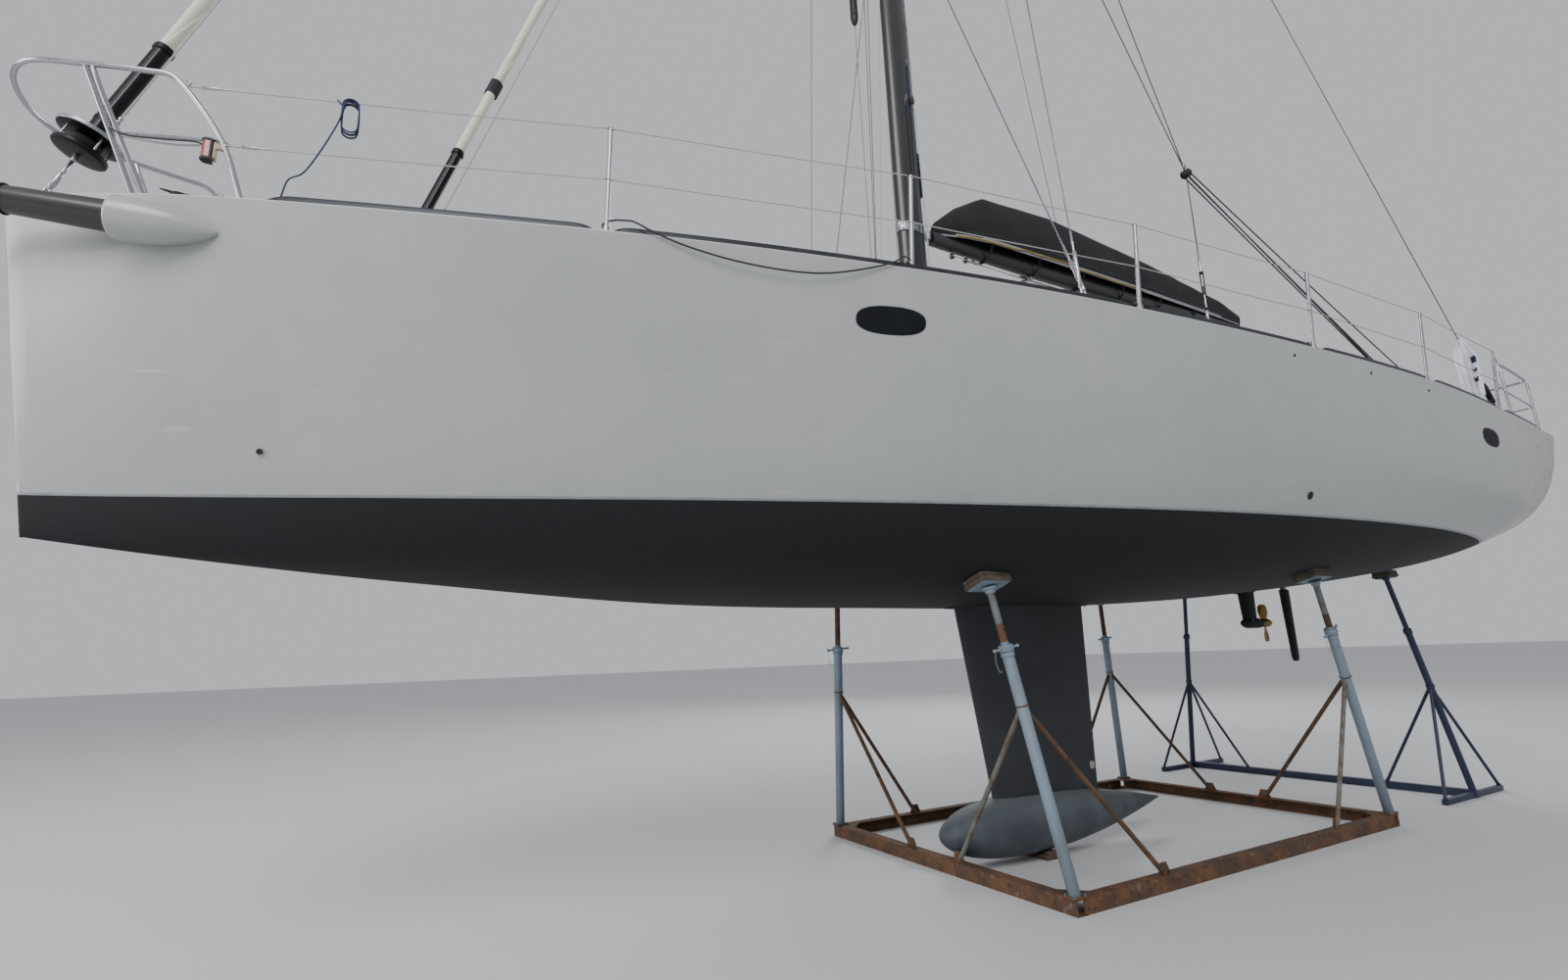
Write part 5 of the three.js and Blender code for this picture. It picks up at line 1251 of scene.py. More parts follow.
buildPulpit()
buildPushpits()
buildLifelines()
print("rails made")


# Mast and spreaders
def oval(z, scale=1.0, extra=0.0, count=44, middle=None):
    s = mast["s"] if middle is None else middle
    return [at(s + (scale * mast["chord"] + extra) * math.cos(a),
               (scale * mast["width"] + extra) * math.sin(a), z) for a in turnsOf(count)]


def mastScale(z):
    start, top = mast["taperFrom"], mast["top"]
    return 1.0 if z < start else 1 - mast["taper"] * (z - start) / (top - start)


# pulley: sheave, two cheeks and its shackle
def block(centre, axis, radius, parts, shell="mouldedNylon", pull=None):
    axis = axis.normalized()
    r = radius
    put(parts, "satinAlloy", turned([(0, -5), (r * 0.86, -5), (r * 0.9, -4), (r * 0.7, 0), (r * 0.9, 4),
                                     (r * 0.86, 5), (0, 5)], centre, axis, 24))
    for k in (1, -1):
        put(parts, shell, turned([(0, 6), (r * 0.7, 6), (r, 7), (r * 1.02, 9), (r * 0.8, 11), (r * 0.3, 12),
                                  (0, 12)], centre, axis * k, 24))
    steel = parts.setdefault("polishedStainless", [])
    steel.append(rod(centre - axis * 0.0135, centre + axis * 0.0135, 5, sides=10))
    if pull is not None:
        d = pull.normalized()
        steel.append(ringOf(centre + d * (r * 1.25 / 1000), axis, r * 0.35, 3))


def lineBetween(a, b, radius, sag=0.0, steps=10):
    return tube([between(a, b, t) - Vector((0, 0, sag / 1000 * 4 * t * (1 - t)))
                 for t in np.linspace(0, 1, steps)], radius, 10)


def buildMast():
    zs = list(np.linspace(mast["step"] + 1, 17000, 18)) + list(np.linspace(17000, 20560, 10)[1:])
    rings = [oval(z, mastScale(z)) for z in zs] + [oval(20588, 0.6), oval(20600, 0.55)]
    parts = {"lacqueredCarbon": [loft(rings)]}
    # luff track down the aft face, in lengths butted together
    track = []
    for z0, z1 in zip(range(5560, 20400, 1850), range(5560 + 1846, 20400, 1850)):
        a, b = (mast["s"] + mastScale(z) * mast["chord"] - 3 for z in (z0, z1))
        section = [(-13, 0), (13, 0), (13, 5), (7, 6), (7, 10), (12, 11), (12, 16), (-12, 16), (-12, 11),
                   (-7, 10), (-7, 6), (-13, 5)]
        track.append(loft([[at(s + v, u, z) for u, v in section] for s, z in ((a, z0), (b, z1))]))
    parts["blackAnodised"] = track
    # batten cars stacked above the boom
    cars = []
    for i in range(6):
        z = 5585 + i * 62
        cars.append(box(mast["s"] + 133, mast["s"] + 172, -21, 21, z, z + 52, 4, 8))
    parts["blackAnodised"] += cars
    # boot at the step and its clamp
    boot = ((4080, 34), (4094, 32), (4110, 17), (4150, 12), (4190, 9), (4192, 1))
    clamp = ((4160, 9), (4160, 13), (4174, 13), (4174, 9))
    parts["blackRubber"] = [loft([oval(z, 1, e) for z, e in boot])]
    parts["polishedStainless"] = [loft([oval(z, 1, e) for z, e in clamp])]
    # halyards from their exit slots down to turning blocks at the step
    lines = (("paleBraid", 5740, 62, 7350), ("navyBraid", 5700, 66, 6900), ("blackBraid", 5650, 76, 6500),
             ("paleBraid", 5745, -60, 7200), ("yellowBraid", 5705, -66, 6800),
             ("blackBraid", 5655, -76, 7500), ("paleBraid", 5560, -68, 8100))
    for surface, s, y, top in lines:
        k = 1 if y > 0 else -1
        base = at(s, y + k * 42, 4128)
        put(parts, surface,
            tube(smoothPath([at(s, y - k * 4, top + 60), at(s, y + k * 6, top),
                             at(s, y + k * 10, top - 500), base + upward * 0.3, base + upward * 0.018], 60),
                 5, 10))
        parts["polishedStainless"].append(loft([[at(s + u, y - k * 3 + k * e, top + v)
                                                 for u, v in circle(11, 20, 62)]
                                                for e in (0, 5, 5.5, 5.6)]))
        block(base + Vector((-0.004, 0, -0.006)), forward, 22, parts)
    # masthead: crane, sheave box and wind wand
    parts["blackAnodised"] += [box(mast["s"] - 130, mast["s"] + 180, -26, 26, 20560, 20640, 8, 12),
                               turned([(0, 0), (26, 0), (30, 8), (30, 60), (24, 78), (0, 84)],
                                      at(mast["s"] - 40, 0, 20640), upward, 28)]
    parts["polishedStainless"] += [tube([at(mast["s"] - 100, 0, 20630), at(mast["s"] - 160, 0, 20700),
                                         at(mast["s"] - 330, 0, 20700)], 4, 8),
                                   rod(at(mast["s"] - 325, 0, 20700), at(mast["s"] - 325, 0, 20790),
                                       5, 2, 10)]
    # stay tangs on the fore face
    for z in (14960, 18900):
        d = stays["fore" if z > 16000 else "inner"]
        steel = parts["polishedStainless"]
        steel.append(rod(d["end"], at(mast["s"], 0, z + 60), 11, sides=16))
        steel.append(loft([oval(z + h, mastScale(z), e) for h, e in ((30, 0), (30, 5), (92, 5), (92, 0))]))
    # small fitting on the port side, above the boom
    put(parts, "mouldedNylon", box(mast["s"] + 60, mast["s"] + 96, 60, 92, 6480, 6540, 5, 9))
    addPiece("mastTube", parts, ["mast"])


def stayLine(foot, top, base, length):
    axis = (top - foot).normalized()
    return {"foot": foot, "top": top, "axis": axis, "base": foot + axis * (base / 1000), "length": length,
            "end": foot + axis * ((base + length + 14) / 1000)}


stays = {"fore": stayLine(at(120, 0, 3925), at(5486, 0, 18900), 283, 15600),
         "inner": stayLine(at(1650, 0, 3850), at(5486, 0, 14960), 62, 11660)}
spreaders = {"spreaders_lower": (9300, 1330), "spreaders_upper": (14300, 1050)}


def buildSpreaders():
    for name, (z, reach) in spreaders.items():
        collar = [loft([oval(z + h, 1, e) for h, e in ((-60, 1), (-60, 9), (-54, 14), (-20, 11), (20, 11),
                                                       (54, 14), (60, 9), (60, 1))])]
        wings, tips, bolts = [], [], []
        for k in (1, -1):
            rings = []
            for part in np.linspace(0, 1, 14):
                y, chord, thick, dz = 60 + (reach - 60) * part, 170 - 80 * part, 52 - 22 * part, 40 * part
                rings.append([at(mast["s"] - chord / 2 + x, k * y, z + dz + h)
                              for x, h in foilSection(chord, thick, 12)])
            wings.append(loft(rings))
            wings.append(loft([[at(mast["s"] + u, k * y, z + h) for u, h in circle(w, 28, t)]
                               for y, w, t in ((76, 96, 40), (84, 98, 42), (100, 92, 36), (150, 80, 28))]))
            tip = at(mast["s"], k * (reach + 6), z + 40)
            tips.append(turned([(0, -20), (14, -20), (17, -15), (17, 15), (14, 20), (0, 20)], tip, upward,
                               20))
            bolts += [turned([(0, 0), (11, 0), (11, 7), (6, 8), (0, 9)], at(mast["s"] + ds, k * 84, z + 41),
                             upward, 6) for ds in (-55, 55)]
        addPiece(name.replace("_l", "L").replace("_u", "U"), {"lacqueredCarbon": collar + wings,
                "satinAlloy": tips, "polishedStainless": bolts}, [name])


# Standing rigging
# Rigging screw from a toggle at foot towards top: jaw, threaded studs, body and the swaged terminal above it
def riggingScrew(foot, top, radius, length, parts, openBody=False, body="polishedStainless"):
    axis = (top - foot).normalized()
    side = axis.cross(Vector((0, 1, 0.02))).normalized()
    r = radius
    p = lambda h: foot + axis * (h / 1000)
    steel = parts.setdefault("polishedStainless", [])
    for k in (-1, 1):
        cheek = [(-1.05 * r, -0.9 * r), (1.05 * r, -0.9 * r), (1.15 * r, 1.2 * r), (0.8 * r, 3.2 * r),
                 (-0.8 * r, 3.2 * r), (-1.15 * r, 1.2 * r)]
        over = axis.cross(side)
        steel.append(plate([p(v) + over * (u / 1000) + side * (k * 0.62 * r / 1000)
                            - side * (0.0015 if k < 0 else 0) for u, v in cheek], side * 0.0045, 0.6))
    steel += [rod(p(0) - side * (1.25 * r / 1000), p(0) + side * (1.25 * r / 1000), 0.42 * r, sides=14),
              ringOf(p(0) + side * (1.3 * r / 1000), side, 0.45 * r, 1.2, 6, 20)]
    a, b = 3 * r, length
    stud = []
    for h0, h1 in ((a, a + 0.16 * (b - a)), (b - 0.16 * (b - a), b)):
        steps = max(2, int((h1 - h0) / 3))
        stud.append([(0.52 * r + (0.05 * r if i % 2 else 0), h0 + (h1 - h0) * i / steps)
                     for i in range(steps + 1)])
    b0, b1 = stud[0][-1][1], stud[1][0][1]
    if openBody:
        steel.append(turned([(0, a)] + stud[0] + [(0, b0)], foot, axis, 16))
        steel.append(turned([(0, b1)] + stud[1] + [(0, b)], foot, axis, 16))
        shell = parts.setdefault(body, [])
        for h in (b0, b1 - 18):
            shell.append(turned([(0, h), (0.95 * r, h), (1.05 * r, h + 3), (1.05 * r, h + 15),
                                 (0.95 * r, h + 18), (0, h + 18)], foot, axis, 24))
        over = axis.cross(side)
        for k in (-1, 1):
            shell.append(rod(p(b0 + 6) + over * (k * 0.72 * r / 1000),
                             p(b1 - 6) + over * (k * 0.72 * r / 1000), 0.3 * r, sides=12))
        steel.append(rod(p(b0 + 10), p(b0 + (b1 - b0) * 0.4), 0.46 * r, sides=12))
        steel.append(rod(p(b1 - (b1 - b0) * 0.38), p(b1 - 10), 0.46 * r, sides=12))
    else:
        steel.append(turned([(0, a), (0.8 * r, a)] + stud[0] + [(0.86 * r, b0), (r, b0 + 4), (r, b1 - 4),
                (0.86 * r, b1)] + stud[1] + [(0, b)], foot, axis, 20))
        steel += [turned([(0, h), (0.85 * r, h), (0.85 * r, h + 6), (0, h + 6)], foot, axis, 6)
                  for h in (b0 - 7, b1 + 1)]
    steel.append(turned([(0, b - 4), (0.78 * r, b - 4), (0.78 * r, b + 10), (0.6 * r, b + 16),
                         (0.6 * r, b + 7 * r), (0.42 * r, b + 7.4 * r), (0, b + 7.5 * r)], foot, axis, 18))
    # split pin and tape ball
    put(parts, "paleWebbing", turned([(0, b0 - 16), (0.66 * r, b0 - 15), (0.72 * r, b0 - 8),
                                      (0.66 * r, b0 - 1), (0, b0)], foot, axis, 14))


def wire(a, b, radius):
    return tube([between(a, b, t) for t in (0, 0.25, 0.5, 0.75, 1)], radius, 10)


def buildShrouds():
    s, y = 5560, 1700
    foot = at(s, y, deckTop(s, y) - 6)
    mastSide = lambda z: at(mast["s"], mast["width"] * mastScale(z) + 10, z)
    tips = [at(mast["s"], reach + 16, z + 40) for z, reach in spreaders.values()]
    capFoot, lowFoot = foot + upward * 0.045, at(s + 60, y, foot.z * 1000 + 45)
    parts = {"polishedStainless": [], "strandedWire": []}
    riggingScrew(capFoot, tips[0], 13, 420, parts)
    riggingScrew(lowFoot, mastSide(9150), 13, 420, parts)
    for a, b in ((capFoot, tips[0]), (tips[0], tips[1]), (tips[1], mastSide(18900)),
                 (lowFoot, mastSide(9150)), (tips[0], mastSide(14150))):
        parts["strandedWire"].append(wire(a, b, 5))
    steel = parts["polishedStainless"]
    blade = [(s - 42, -6), (s + 104, -6), (s + 100, 44), (s + 82, 66), (s + 40, 68), (s + 20, 52), (s, 66),
             (s - 20, 62), (s - 38, 44)]
    steel.append(plate([at(a, y - 5, foot.z * 1000 + h) for a, h in blade], toPort * 0.01, 1))
    steel.append(box(s - 70, s + 110, y - 26, y + 26, foot.z * 1000 + 2, foot.z * 1000 + 11, 2, 10))
    for ds in (-55, 96):
        steel += [turned([(0, 0), (7, 0), (6, 3), (3, 4), (0, 4)], at(s + ds, y + dy, foot.z * 1000 + 11),
                         upward, 14) for dy in (-15, 15)]
    for z in (9150, 14150, 18900):   # tang eyes on the mast's side
        steel.append(rod(mastSide(z) - toPort * 0.014, mastSide(z) + toPort * 0.012, 12, sides=18))
    for tip in tips:
        steel += [rod(tip - upward * 0.05, tip + upward * 0.05, 8, sides=14)]
    addPair("shroudSet", parts, ["shrouds"])


def buildRunners():
    deck = lambda s: onDeck(s, 98, -6)
    plateFoot, tackleFoot = deck(6600), deck(8520)
    head = at(6640, 1880, 4880)
    eye = plateFoot + upward * 0.04
    mastSide = lambda z: at(mast["s"] + 60, mast["width"] * mastScale(z) + 6, z)
    parts = {"sleevedRod": [wire(head, mastSide(14650), 4), wire(head, mastSide(18700), 4),
                            wire(eye, head, 4)], "polishedStainless": [], "blackBraid": []}
    riggingScrew(eye, head, 14, 470, parts, openBody=True, body="blackAnodised")
    steel = parts["polishedStainless"]
    y, z = plateFoot.y * 1000, plateFoot.z * 1000
    steel += [box(6560, 6640, y - 22, y + 22, z + 2, z + 10, 2, 8),
              plate([at(a, y - 4, z + h) for a, h in ((6572, 4), (6628, 4), (6622, 40), (6608, 54),
                                                      (6590, 54), (6578, 40))], toPort * 0.008, 1),
              ringOf(head + upward * 0.062, toPort, 14, 5)]
    # double block at the head, its tackle down to a car and a cleat further aft
    toTackle = (tackleFoot - head).normalized()
    for dy in (-15, 15):
        block(head + Vector((0, dy / 1000, 0)), toPort, 30, parts, "mouldedNylon")
    parts["mouldedNylon"].append(turned([(0, -34), (20, -34), (27, -22), (27, 22), (20, 34), (0, 34)], head,
                                        toPort, 24))
    foot = tackleFoot + upward * 0.062
    block(foot, toPort, 27, parts, "mouldedNylon", toTackle * -1)
    across = toTackle.cross(toPort).normalized()
    low = onDeck(8980, 98, 44)
    for dy, shift in ((-14, 22), (-14, -22), (14, 22)):
        parts["blackBraid"].append(lineBetween(head + across * (shift / 1000) + Vector((0, dy / 1000, 0)),
                                               foot + across * (shift * 0.9 / 1000)
                                               + Vector((0, dy * 0.3 / 1000, 0)), 5, 4))
    parts["blackBraid"].append(lineBetween(head - across * 0.022 + toPort * 0.014, low, 5, 12))
    block(low, toPort, 22, parts, "mouldedNylon", upward * (-1))
    for s, p in ((8520, tackleFoot), (8980, onDeck(8980, 98, -6))):
        y, z = p.y * 1000, p.z * 1000
        put(parts, "blackAnodised", box(s - 40, s + 40, y - 20, y + 20, z + 2, z + 34, 5, 9))
        steel.append(ringOf(at(s, y, z + 40), toPort, 11, 4))
    addPair("runningBackstay", parts, ["runner"])


def buildBackstays():
    s = 10700
    y = beamAt(s) - 42
    eye = at(s, y, deckTop(s, y) + 24)
    top = at(mast["s"] + 90, 40, 20480)
    axis = top - eye
    z = eye.z * 1000
    lug = ((s - 26, -8), (s + 26, -8), (s + 18, 10), (s + 8, 17), (s - 8, 17), (s - 18, 10))
    cylinder = ((0, 14), (13, 14), (13, 34), (21, 40), (24, 44), (24, 212), (20, 220), (20, 232), (12, 236),
                (12, 258), (0, 260))
    rodEnd = ((0, 236), (8, 236), (8, 330), (6, 334), (0, 335))
    parts = {"blackAnodised": [box(s - 45, s + 45, y - 18, y + 18, z - 30, z - 6, 4, 8),
                               plate([at(a, y - 5, z + h) for a, h in lug], toPort * 0.01, 1),
                               turned(cylinder, eye, axis, 28)],
             "polishedStainless": [rod(eye - toPort * 0.016, eye + toPort * 0.016, 6),
                                   turned(rodEnd, eye, axis, 16)],
             "blackRubber": [turned([(24, 60), (25.5, 62), (25.5, 74), (24, 76)], eye, axis, 28),
                             turned([(24, 180), (25.5, 182), (25.5, 194), (24, 196)], eye, axis, 28)],
             "sleevedRod": [wire(onWay(eye, top, 240), top, 4)]}
    addPair("backstayTensioner", parts, ["backstay"])


buildMast()
buildSpreaders()
buildShrouds()
buildRunners()
buildBackstays()
print("mast and rigging made")


# Geometry Nodes: each tree repeats one thing or follows one rule, with its sizes as named inputs
def newTree(name, sockets):
    tree = bpy.data.node_groups.new(name, "GeometryNodeTree")
    for title, kind in [("Geometry", "Geometry")] + sockets:
        tree.interface.new_socket(title, in_out="INPUT", socket_type=f"NodeSocket{kind}")
    tree.interface.new_socket("Geometry", in_out="OUTPUT", socket_type="NodeSocketGeometry")
    return tree, tree.nodes.new("NodeGroupInput").outputs, tree.nodes.new("NodeGroupOutput").inputs[0]


def endTree(tree, geometry, material, end):
    real = output(tree, "GeometryNodeRealizeInstances", {"Geometry": geometry})
    tree.links.new(output(tree, "GeometryNodeSetMaterial", {"Geometry": real, "Material": material}), end)
    return tree


# A sail rolled on its stay: a spiral section that winds as it climbs, fat in the middle, with tight wrinkles
def rolledSailTree():
    tree, given, end = newTree("rolledSail", [("Foot", "Vector"), ("Head", "Vector"), ("Belly", "Float"),
                                              ("Winds", "Float"), ("Step", "Float"), ("Wrinkle", "Float"),
                                              ("Seed", "Float"), ("Material", "Material")])
    line = output(tree, "GeometryNodeCurvePrimitiveLine", {"Start": given["Foot"], "End": given["Head"]})
    line = output(tree, "GeometryNodeResampleCurve", {"Curve": line, "Count": 260})
    up = node(tree, "GeometryNodeSplineParameter").outputs["Factor"]
    line = output(tree, "GeometryNodeSetCurveTilt",
                  {"Curve": line, "Tilt": calc(tree, "MULTIPLY", up, given["Winds"])})
    swell = node(tree, "ShaderNodeFloatCurve", {"Value": up})
    points = swell.mapping.curves[0].points
    points[0].location, points[-1].location = (0, 0.6), (1, 0.24)
    for x, y in ((0.05, 0.61), (0.13, 0.79), (0.31, 1), (0.6, 0.9), (0.86, 0.6), (0.97, 0.37)):
        points.new(x, y)
    swell.mapping.update()
    turn = output(tree, "GeometryNodeCurvePrimitiveCircle", {"Resolution": 44, "Radius": 1.0})
    part = node(tree, "GeometryNodeSplineParameter").outputs["Factor"]
    shrink = calc(tree, "MULTIPLY_ADD", calc(tree, "MULTIPLY", part, given["Step"]), -1.0, 1.0)
    place = output(tree, "GeometryNodeInputPosition")
    spiral = output(tree, "ShaderNodeVectorMath", {0: place, "Scale": shrink}, operation="SCALE")
    turn = output(tree, "GeometryNodeSetPosition", {"Geometry": turn, "Position": spiral})
    roll = output(tree, "GeometryNodeCurveToMesh", {"Curve": line, "Profile Curve": turn, "Fill Caps": True,
                                                    "Scale": calc(tree, "MULTIPLY", swell.outputs[0],
            given["Belly"])})
    stretched = output(tree, "ShaderNodeVectorMath", {0: place, 1: (13, 13, 3.5)}, operation="MULTIPLY")
    noise = output(tree, "ShaderNodeTexNoise", {"Vector": stretched, "W": given["Seed"], "Scale": 1.0,
                                                "Detail": 3.0}, noise_dimensions="4D")
    centred = calc(tree, "ADD", noise, -0.5)
    normal = output(tree, "GeometryNodeInputNormal")
    depth = calc(tree, "MULTIPLY", centred, given["Wrinkle"])
    shift = output(tree, "ShaderNodeVectorMath", {0: normal, "Scale": depth}, operation="SCALE")
    roll = output(tree, "GeometryNodeSetPosition", {"Geometry": roll, "Offset": shift})
    return endTree(tree, roll, given["Material"], end)


# Heads, stitches or beads set along a guide, square to its "up" direction
def fasteningTree():
    tree, given, end = newTree("fasteningRow", [("Spacing", "Float"), ("Radius", "Float"),
                                                ("Height", "Float"), ("Stretch", "Float"),
                                                ("Spread", "Float"), ("Seed", "Int"),
                                                ("Material", "Material")])
    curve = output(tree, "GeometryNodeMeshToCurve", {"Mesh": given["Geometry"]})
    resample = output(tree, "GeometryNodeResampleCurve", {"Curve": curve, "Length": given["Spacing"]},
                      mode="LENGTH")
    up = output(tree, "GeometryNodeInputNamedAttribute", {"Name": "up"}, data_type="FLOAT_VECTOR")
    tangent = output(tree, "GeometryNodeInputTangent")
    facing = output(tree, "FunctionNodeAxesToRotation", {"Primary Axis": up, "Secondary Axis": tangent},
                    primary_axis="Z", secondary_axis="X")
    head = output(tree, "GeometryNodeMeshUVSphere", {"Segments": 12, "Rings": 6, "Radius": 1.0})
    low = calc(tree, "SUBTRACT", 1.0, given["Spread"])
    change = node(tree, "FunctionNodeRandomValue", {2: low, 3: 1.0, "Seed": given["Seed"]}).outputs[1]
    size = output(tree, "ShaderNodeCombineXYZ",
                  {"X": calc(tree, "MULTIPLY", given["Radius"], given["Stretch"]), "Y": given["Radius"],
                   "Z": calc(tree, "MULTIPLY", given["Height"], change)})
    row = output(tree, "GeometryNodeInstanceOnPoints", {"Points": resample, "Instance": head,
                                                        "Rotation": facing, "Scale": size})
    return endTree(tree, row, given["Material"], end)


# Rope or wire wound side by side on a core about an axis
def windingTree():
    tree, given, end = newTree("winding", [("Turns", "Float"), ("Radius", "Float"), ("Height", "Float"),
                                           ("Rope", "Float"), ("Base", "Vector"), ("Axis", "Vector"),
                                           ("Material", "Material")])
    coil = output(tree, "GeometryNodeCurveSpiral", {"Resolution": 30, "Rotations": given["Turns"],
                                                    "Start Radius": given["Radius"],
                                                    "End Radius": given["Radius"],
                                                    "Height": given["Height"]})
    section = output(tree, "GeometryNodeCurvePrimitiveCircle", {"Resolution": 10, "Radius": given["Rope"]})
    wound = output(tree, "GeometryNodeCurveToMesh", {"Curve": coil, "Profile Curve": section,
                                                     "Fill Caps": True})
    facing = output(tree, "FunctionNodeAlignRotationToVector", {"Vector": given["Axis"]}, axis="Z")
    wound = output(tree, "GeometryNodeTransform", {"Geometry": wound, "Translation": given["Base"],
                                                   "Rotation": facing})
    return endTree(tree, wound, given["Material"], end)


rolledSail, fasteningRow, winding = rolledSailTree(), fasteningTree(), windingTree()


# Runs a tree once and keeps the plain mesh it makes
def grown(tree, values, source=None):
    carrier = linked("carrier", source or bpy.data.meshes.new("empty"))
    change = carrier.modifiers.new("grow", "NODES")
    change.node_group = tree
    for item in tree.interface.items_tree:
        if item.in_out == "INPUT" and item.name in values:
            change[item.identifier] = values[item.name]
    graph = bpy.context.evaluated_depsgraph_get()
    mesh = bpy.data.meshes.new_from_object(carrier.evaluated_get(graph), depsgraph=graph)
    bpy.data.objects.remove(carrier)
    return shaded(mesh, 50)


# Guide for a row: runs of (point, up direction)
def guide(runs):
    points = [p for run in runs for p, _ in run]
    edges, start = [], 0
    for run in runs:
        edges += [(start + i, start + i + 1) for i in range(len(run) - 1)]
        start += len(run)
    mesh = bpy.data.meshes.new("guide")
    mesh.from_pydata(points, edges, [])
    ups = mesh.attributes.new("up", "FLOAT_VECTOR", "POINT")
    ups.data.foreach_set("vector", np.array([tuple(u) for run in runs for _, u in run]).ravel())
    return mesh


def addRow(name, runs, surface, body="yacht", spacing=120, radius=4, high=2.4, stretch=1.0,
           spread=0.1, seed=3):
    mesh = grown(fasteningRow, {"Spacing": spacing / 1000, "Radius": radius / 1000, "Height": high / 1000,
                                "Stretch": stretch, "Spread": spread, "Seed": seed,
                                "Material": finish(surface)}, guide(runs))
    return addObject(name, mesh, body)


def addWinding(name, base, axis, turns, radius, high, rope, surface, body="yacht"):
    mesh = grown(winding, {"Turns": float(turns), "Radius": radius / 1000, "Height": high / 1000,
                           "Rope": rope / 1000, "Base": base, "Axis": axis.normalized(),
                           "Material": finish(surface)})
    return addObject(name, mesh, body)


# Furlers, each with its drum, twin sleeve and rolled sail
furlers = {"genoa_furler": dict(stay="fore", low=118, high=146, core=64, floor=42, roof=95,
                                sleeve=(160, 760, 44), sail=(800, 15600, 0.066), foil=(30, 30), winds=62.0,
                                seed=4.0), "staysail_furler": dict(stay="inner", low=92, high=92, core=45,
        floor=34, roof=78, sleeve=(130, 900, 32), sail=(1560, 11660, 0.052), foil=(26, 30), winds=46.0,
        seed=9.0),}


def buildFurler(name, f):
    stay, short = stays[f["stay"]], name.split("_")[0]
    base, axis = stay["base"], stay["axis"]
    p = lambda h: base + axis * (h / 1000)
    low, high, core, floor, roof = f["low"], f["high"], f["core"], f["floor"], f["roof"]
    black = [turned([(0, 0), (low * 0.78, 0), (low - 6, 4), (low, 10), (low, floor - 16),
                     (low - 4, floor - 11), (core + 6, floor - 3), (core - 8, floor), (core - 8, roof),
                     (core + 10, roof + 3), (high - 10, roof + 9), (high - 4, roof + 11), (0, roof + 11)],
                    base, axis, 56), turned([(0, roof + 31), (high * 0.55, roof + 31),
                                             (high * 0.5, roof + 40), (f["sleeve"][2], f["sleeve"][0]),
                                             (0, f["sleeve"][0])], base, axis, 48)]
    silver = [turned([(0, roof + 11), (high - 4, roof + 11), (high, roof + 15), (high, roof + 28),
                      (high - 4, roof + 32), (high * 0.6, roof + 33), (0, roof + 33)], base, axis, 64)]
    side = toPort
    over = axis.cross(side)
    for i in range(4):   # guard rods between the flanges
        a = math.pi / 4 + i * math.pi / 2
        d = (side * math.cos(a) + over * math.sin(a)) * ((low - 16) / 1000)
        silver.append(rod(p(floor - 14) + d, p(roof + 12) + d, 5, sides=12))
    for i in range(8):   # screws through the upper flange
        a = i * math.pi / 4
        d = (side * math.cos(a) + over * math.sin(a)) * ((high * 0.78) / 1000)
        black.append(turned([(0, 0), (7, 0), (7, 4), (3.4, 4.2), (3, 2.4), (0, 2.4)], p(roof + 32.5) + d,
                            axis, 6))
    h0, h1, r = f["sleeve"]
    for k in (1, -1):   # the twin sleeve: two half shells with a pale seam facing each side
        arc = [math.radians(4 + 172 * i / 18) for i in range(19)]
        section = [(k * r * math.sin(a), r * math.cos(a)) for a in arc] + [(k * (r - 7) * math.sin(a),
                (r - 7) * math.cos(a)) for a in arc[::-1]]
        black.append(loft([[p(h) + over * (u / 1000) + side * (v / 1000) for u, v in section]
                           for h in (h0, h0 + 3, h1 - 3, h1)]))
    seams = [sweep([p(h0 + 4) + side * (k * (r - 4) / 1000), p(h1 - 4) + side * (k * (r - 4) / 1000)],
                   [(-2.6, -2), (2.6, -2), (2.6, 2.6), (-2.6, 2.6)], up=side) for k in (1, -1)]
    black += [turned([(0, h1 - 2), (r + 4, h1), (r + 6, h1 + 4), (r + 6, h1 + 26), (r + 2, h1 + 36),
                      (0, h1 + 40)], base, axis, 40),
              turned([(r, h0 + 60), (r + 3, h0 + 62), (r + 3, h0 + 84), (r, h0 + 86)], base, axis, 40)]
    sail0, sail1, belly = f["sail"]
    bottom, foilRadius = f["foil"]
    foil = turned([(0, h1), (bottom, h1)] + [(foilRadius, h) for h in np.linspace(h1 + 20, sail0 + 60, 8)]
                  + [(0, sail0 + 60)], base, axis, 32)
    # swivel at the head
    black.append(turned([(0, sail1 - 260), (30, sail1 - 256), (34, sail1 - 250), (34, sail1 - 150),
                         (26, sail1 - 140), (0, sail1 - 138)], base, axis, 32))
    silver.append(rod(p(sail1 - 160), p(sail1), 13, sides=18))
    addPiece(short + "Drum", {"blackAnodised": black, "satinAlloy": silver, "paleWebbing": seams,
                              "windedSailcloth": [foil]}, [name], name)
    addWinding(short + "LineTurns", p(floor + 4), axis, (roof - floor - 8) / 10, core - 4, roof - floor - 8,
               5, "blackBraid", name)
    mesh = grown(rolledSail, {"Foot": p(sail0), "Head": p(sail1 - 240), "Belly": belly, "Winds": f["winds"],
                              "Step": 0.13, "Wrinkle": 0.007, "Seed": f["seed"],
                              "Material": finish("windedSailcloth")})
    addObject(short + "Roll", mesh, name)


for name, f in furlers.items():
    buildFurler(name, f)
inner = stays["inner"]
addWinding("staysailCollar", inner["base"] + inner["axis"] * 1.448, inner["axis"], 11, 36, 108, 6,
           "blackBraid", "staysail_furler")


